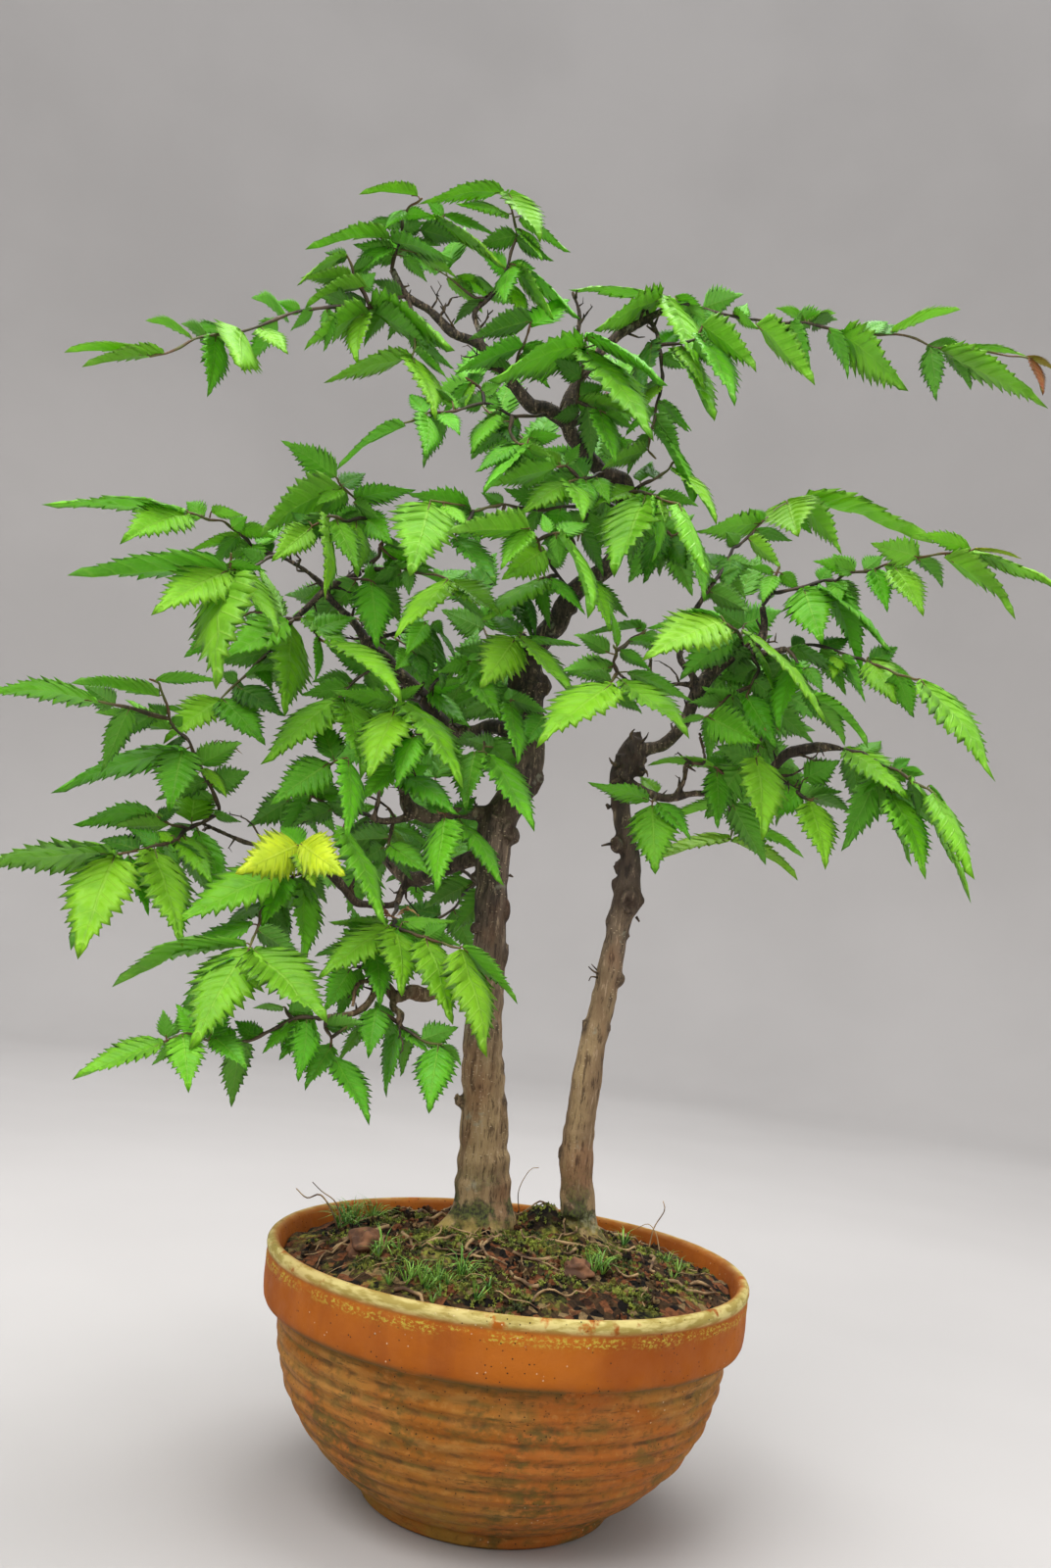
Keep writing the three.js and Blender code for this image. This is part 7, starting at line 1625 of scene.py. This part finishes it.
class BONSAI_OT_drainage(bpy.types.Operator):
    """The mesh disc over the drain holes"""
    bl_idname = "bonsai.drainage"
    bl_label = "Drainage mesh"
    bl_options = {"REGISTER", "UNDO"}

    def execute(self, context):
        shape = Shape()
        for x in range(-39, 40, MESH_PITCH):
            reach = math.sqrt(max(0.0, MESH_RADIUS ** 2 - x ** 2))
            for z, flip in ((MESH_HEIGHT + MESH_HALF, False), (MESH_HEIGHT - MESH_HALF, True)):
                ends = [(x, -reach), (x, reach)]
                shape.tube([[*(end[::-1] if flip else end), z, WIRE_RADIUS] for end in ends], 6)
        turns = np.linspace(0, 2 * math.pi, 65)
        shape.tube([[MESH_RADIUS * math.cos(a), MESH_RADIUS * math.sin(a), MESH_HEIGHT, MESH_EDGE]
                    for a in turns], 8)
        obj = mesh_object("drainage", [v * MM for v in shape.verts], shape.faces)
        obj.data.materials.append(plain_finish("black_mesh", "#0e0e0e", "#1c1c1c", 300, 0.6, 0.0001))
        hand_over(obj, "mesh", "drain_mesh")
        return {"FINISHED"}


class BONSAI_OT_soil(bpy.types.Operator):
    """The mounded soil with its crumbs"""
    bl_idname = "bonsai.soil"
    bl_label = "Soil"
    bl_options = {"REGISTER", "UNDO"}

    def execute(self, context):
        choice = context.scene.bonsai
        loam = soil_finish()
        parts = [make_soil(loam)]
        bed = patch("bed", [(0, 0, SOIL_REACH, 1.0)])
        for number, (share, low, high, level) in enumerate(CRUMB_SIZES):
            shape = Shape()
            shape.lump((0, 0, 0), (1, 0.8, 0.65), 5 + number, 0.8, level)
            part = shape.made("crumb")
            part.data.materials.append(loam)
            spread = bed.copy()
            bpy.context.scene.collection.objects.link(spread)
            parts.append(apply_tree(spread, scatter_tree("crumbs", part), "crumbs", Seed=4 + number, Tilt=3.0,
                                    Density=choice.crumb_density * share, Smallest=low * MM,
                                    Largest=high * MM, Finish=loam))
            drop(part)
        drop(bed)
        hand_over(merge(parts, "loam"), "soil", "soil")
        return {"FINISHED"}


class BONSAI_OT_trunks(bpy.types.Operator):
    """Both trunks with their limbs, knots and surface roots"""
    bl_idname = "bonsai.trunks"
    bl_label = "Trunks"
    bl_options = {"REGISTER", "UNDO"}

    def execute(self, context):
        choice = context.scene.bonsai
        for name, wood in TRUNKS.items():
            trunk(name, wood, bark_finish(*wood["bark"]), choice.wood_detail)
        return {"FINISHED"}


class BONSAI_OT_spurs(bpy.types.Operator):
    """Dead spikes, short spurs and bare twigs that stand off the limbs"""
    bl_idname = "bonsai.spurs"
    bl_label = "Spurs"
    bl_options = {"REGISTER", "UNDO"}

    def execute(self, context):
        rng, shape = random.Random(31), Shape()
        for rows in SPIKES:
            shape.tube(catmull(limb_rows([[x, z, r, y] for x, z, y, r in rows]), 1.5 * MM), 6)
        limbs = [rows for wood in TRUNKS.values() for name, rows in wood["limbs"].items() if name != "trunk"]
        for rows in limbs:
            path = catmull(limb_rows(rows), 6 * MM)
            for here, ahead in zip(path[1:], path[2:]):
                along = Vector(ahead[:3] - here[:3]).normalized()
                out = along.cross(aside(rng)).normalized()
                if rng.random() < SPUR_SHARE:
                    heading = (out + along * rng.uniform(0.1, 0.7) + Vector((0, 0, 0.25))).normalized()
                    steps = 1 if rng.random() < 0.6 else rng.randint(2, 5)
                    dead_twig(shape, Vector(here[:3]) + out * here[3] * 0.6, heading, steps,
                              rng.uniform(0.5, 0.85) * MM, rng)
        twig = plain_finish("dead_twig", "#1f1813", "#57452f", 260, 0.8, 0.0002)
        hand_over(shape.made("spurs", twig), "bark")
        return {"FINISHED"}


class BONSAI_OT_scales(bpy.types.Operator):
    """Dry bud scales and strips of old leaf that hang in the shoots"""
    bl_idname = "bonsai.scales"
    bl_label = "Dry scales"
    bl_options = {"REGISTER", "UNDO"}

    def execute(self, context):
        rng, shape = random.Random(47), Shape()
        for x, z, y, count, reach in DRY_SCALES:
            for _ in range(count):
                start = place(x + rng.uniform(-3, 3), z + rng.uniform(-2, 2), y + rng.uniform(-3, 3))
                heading = Vector((rng.uniform(-1, 1), rng.uniform(-1, 0.4), rng.uniform(-0.5, 1)))
                heading.normalize()
                bend = Vector((rng.uniform(-0.5, 0.5), 0, -0.4))
                length = reach * rng.uniform(0.5, 1.1) * MM
                shape.tube([[*(start + (heading + bend * t) * t * length), w * MM]
                            for t, w in ((0, 0.2), (0.3, 0.55), (0.6, 0.5), (1, 0.12))], 5)
        scale = plain_finish("dry_scale", "#6b3a20", "#b08a58", 90, 0.7, 0.0001)
        hand_over(shape.made("dry_scales", scale), "bark")
        return {"FINISHED"}


class BONSAI_OT_moss(bpy.types.Operator):
    """Moss cushions at the foot of the trunks and over the soil"""
    bl_idname = "bonsai.moss"
    bl_label = "Moss"
    bl_options = {"REGISTER", "UNDO"}

    def execute(self, context):
        choice = context.scene.bonsai
        skin = plain_finish("moss_blades", choice.moss_dark, choice.moss_light, 140, 0.85, 0.0001)
        part = tuft("moss_part", blades=5, height=choice.moss_height, width=0.8 * MM, spread=0.9, seed=8)
        cover(MOSS_PIECES, part, "moss", 20, Density=choice.moss_density, Smallest=0.7, Largest=1.5,
              Tilt=0.5, Finish=skin)
        return {"FINISHED"}


class BONSAI_OT_grass(bpy.types.Operator):
    """Tufts of fine bright blades"""
    bl_idname = "bonsai.grass"
    bl_label = "Grass"
    bl_options = {"REGISTER", "UNDO"}

    def execute(self, context):
        choice = context.scene.bonsai
        skin = plain_finish("grass_blades", choice.grass_dark, choice.grass_light, 180, 0.5, 0.0001)
        part = tuft("grass_part", blades=11, height=choice.grass_height, width=0.65 * MM, spread=1.3,
                    seed=17)
        cover(GRASS_PIECES, part, "grass", 40, Density=choice.grass_density, Smallest=0.6, Largest=1.25,
              Tilt=0.4, Finish=skin)
        return {"FINISHED"}


class BONSAI_OT_stones(bpy.types.Operator):
    """The small stones on the soil"""
    bl_idname = "bonsai.stones"
    bl_label = "Stones"
    bl_options = {"REGISTER", "UNDO"}

    def execute(self, context):
        choice = context.scene.bonsai
        rough = plain_finish("red_stone", choice.stone_dark, choice.stone_light, 120, 0.9, 0.0006)
        for number, (name, node, x, y, size) in enumerate(STONES):
            shape = Shape()
            centre = (x * MM, y * MM, ground(x, y) + size[2] * 0.35 * MM)
            shape.lump(centre, [s * MM for s in size], 60 + number, 0.7, 4)
            hand_over(shape.made(name, rough), "stone", node)
        return {"FINISHED"}


class BONSAI_OT_roots(bpy.types.Operator):
    """Fine roots, dry twigs and threads that lie on the soil and stand up from it"""
    bl_idname = "bonsai.roots"
    bl_label = "Fine roots"
    bl_options = {"REGISTER", "UNDO"}

    def execute(self, context):
        rng, shape = random.Random(71), Shape()
        for k in range(ROOT_COUNT):
            angle, distance = rng.uniform(0, 2 * math.pi), rng.uniform(*ROOT_STARTS)
            heading = rng.uniform(0, 2 * math.pi)
            x, y = distance * math.cos(angle), distance * math.sin(angle)
            thick = rng.choice(ROOT_RADII)
            rows = []
            for step in range(rng.randint(5, 10)):
                if math.hypot(x, y) > ROOT_END:
                    break
                lift = 0.6 + 1.6 * abs(math.sin(step * 1.3 + k))
                rows.append([x * MM, y * MM, ground(x, y) + lift * MM, thick * (1 - step * 0.07) * MM])
                heading += rng.uniform(-0.7, 0.7)
                x += 5 * math.cos(heading)
                y += 5 * math.sin(heading)
            if len(rows) > 2:
                shape.tube(catmull(rows, 2.5 * MM), 6)
        for x, y, points in DRY_TWIGS:
            height = ground(x, y)
            rows = [[(x + px) * MM, (y + py) * MM, height + pz * MM, r * MM] for px, py, pz, r in points]
            shape.tube(catmull(rows, 2 * MM), 6)
        root = plain_finish("root_skin", "#4a3220", "#b39468", 90, 0.85, 0.0002)
        hand_over(shape.made("fine_roots", root), "bark")
        return {"FINISHED"}


class BONSAI_OT_shoots(bpy.types.Operator):
    """All leafy shoots, each a stem with its toothed leaves"""
    bl_idname = "bonsai.shoots"
    bl_label = "Leafy shoots"
    bl_options = {"REGISTER", "UNDO"}

    def execute(self, context):
        choice = context.scene.bonsai
        patterns = [leaf_pattern("leaf_pattern_%d" % k, teeth, k) for k, teeth in enumerate((7, 8, 9))]
        tree = shoot_tree(patterns)
        finishes = {"Leaf_skin": leaf_finish(), "Stem_bark": stem_finish()}
        for number, (name, (stem_rows, leaf_rows)) in enumerate(SHOOTS.items()):
            make_shoot(100 + number, name, stem_rows, leaf_rows, tree, choice, finishes)
        for pattern in patterns:
            drop(pattern)
        return {"FINISHED"}


class BONSAI_OT_stage(bpy.types.Operator):
    """A pale seamless stage, soft studio light and the camera"""
    bl_idname = "bonsai.stage"
    bl_label = "Stage"
    bl_options = {"REGISTER", "UNDO"}

    def execute(self, context):
        scene = context.scene
        reach, sides = scene.bonsai.stage_reach, 96
        rows = [(0.5, 0.0), (reach, 0.0)]
        for angle in np.linspace(0, math.pi / 2, 14)[1:]:
            rows.append((reach + STAGE_BEND * math.sin(angle), STAGE_BEND * (1 - math.cos(angle))))
        rows.append((reach + STAGE_BEND, STAGE_HEIGHT))
        verts, faces = turned(rows, sides, lambda row, angle: (
            row[0] * math.cos(angle), row[0] * math.sin(angle), row[1]), inward=True)
        faces += fan(len(verts), 0, sides)
        mesh_object("stage_sweep", verts + [(0, 0, 0)], faces, stage_finish())
        scene.world = bpy.data.worlds.new("studio")
        scene.world.use_nodes = True
        sky = scene.world.node_tree.nodes["Background"].inputs
        sky["Color"].default_value, sky["Strength"].default_value = SKY_COLOUR, SKY_STRENGTH
        for name, (spot, size, power) in LAMPS.items():
            light = bpy.data.lights.new(name, "AREA")
            light.size, light.energy = size, power
            lamp = bpy.data.objects.new(name, light)
            lamp.location = spot
            lamp.rotation_euler = (LAMP_AIM - Vector(spot)).to_track_quat("-Z", "Y").to_euler()
            scene.collection.objects.link(lamp)
        camera = bpy.data.cameras.new("camera")
        camera.lens, camera.sensor_width = LENS, 36
        camera.clip_start, camera.clip_end = 0.01, 50
        eye = bpy.data.objects.new("camera", camera)
        turn = Matrix((CAMERA_RIGHT, CAMERA_UP, [-c for c in CAMERA_FORWARD])).transposed().to_4x4()
        eye.matrix_world = Matrix.Translation((0, -VIEW_DEPTH * MM, VIEW_HEIGHT * MM)) @ turn
        scene.collection.objects.link(eye)
        scene.camera = eye
        scene.view_settings.view_transform = "Standard"
        return {"FINISHED"}


PIECES = (BONSAI_OT_bowl, BONSAI_OT_drainage, BONSAI_OT_soil, BONSAI_OT_trunks, BONSAI_OT_spurs,
          BONSAI_OT_scales, BONSAI_OT_moss, BONSAI_OT_grass, BONSAI_OT_stones, BONSAI_OT_roots,
          BONSAI_OT_shoots, BONSAI_OT_stage)


class BONSAI_PT_panel(bpy.types.Panel):
    """Lists the pieces of the bonsai"""
    bl_label = "Bonsai"
    bl_idname = "BONSAI_PT_panel"
    bl_space_type = "VIEW_3D"
    bl_region_type = "UI"
    bl_category = "Bonsai"

    def draw(self, context):
        for name in BonsaiSettings.__annotations__:
            self.layout.prop(context.scene.bonsai, name)
        for piece in PIECES:
            self.layout.operator(piece.bl_idname)


CLASSES = (BonsaiSettings, *PIECES, BONSAI_PT_panel)


def register():
    for cls in CLASSES:
        bpy.utils.register_class(cls)
    bpy.types.Scene.bonsai = bpy.props.PointerProperty(type=BonsaiSettings)


def unregister():
    del bpy.types.Scene.bonsai
    for cls in reversed(CLASSES):
        bpy.utils.unregister_class(cls)


def main():
    register()
    for piece in PIECES:
        group, name = piece.bl_idname.split(".")
        getattr(getattr(bpy.ops, group), name)()
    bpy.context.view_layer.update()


if __name__ == "__main__":
    main()
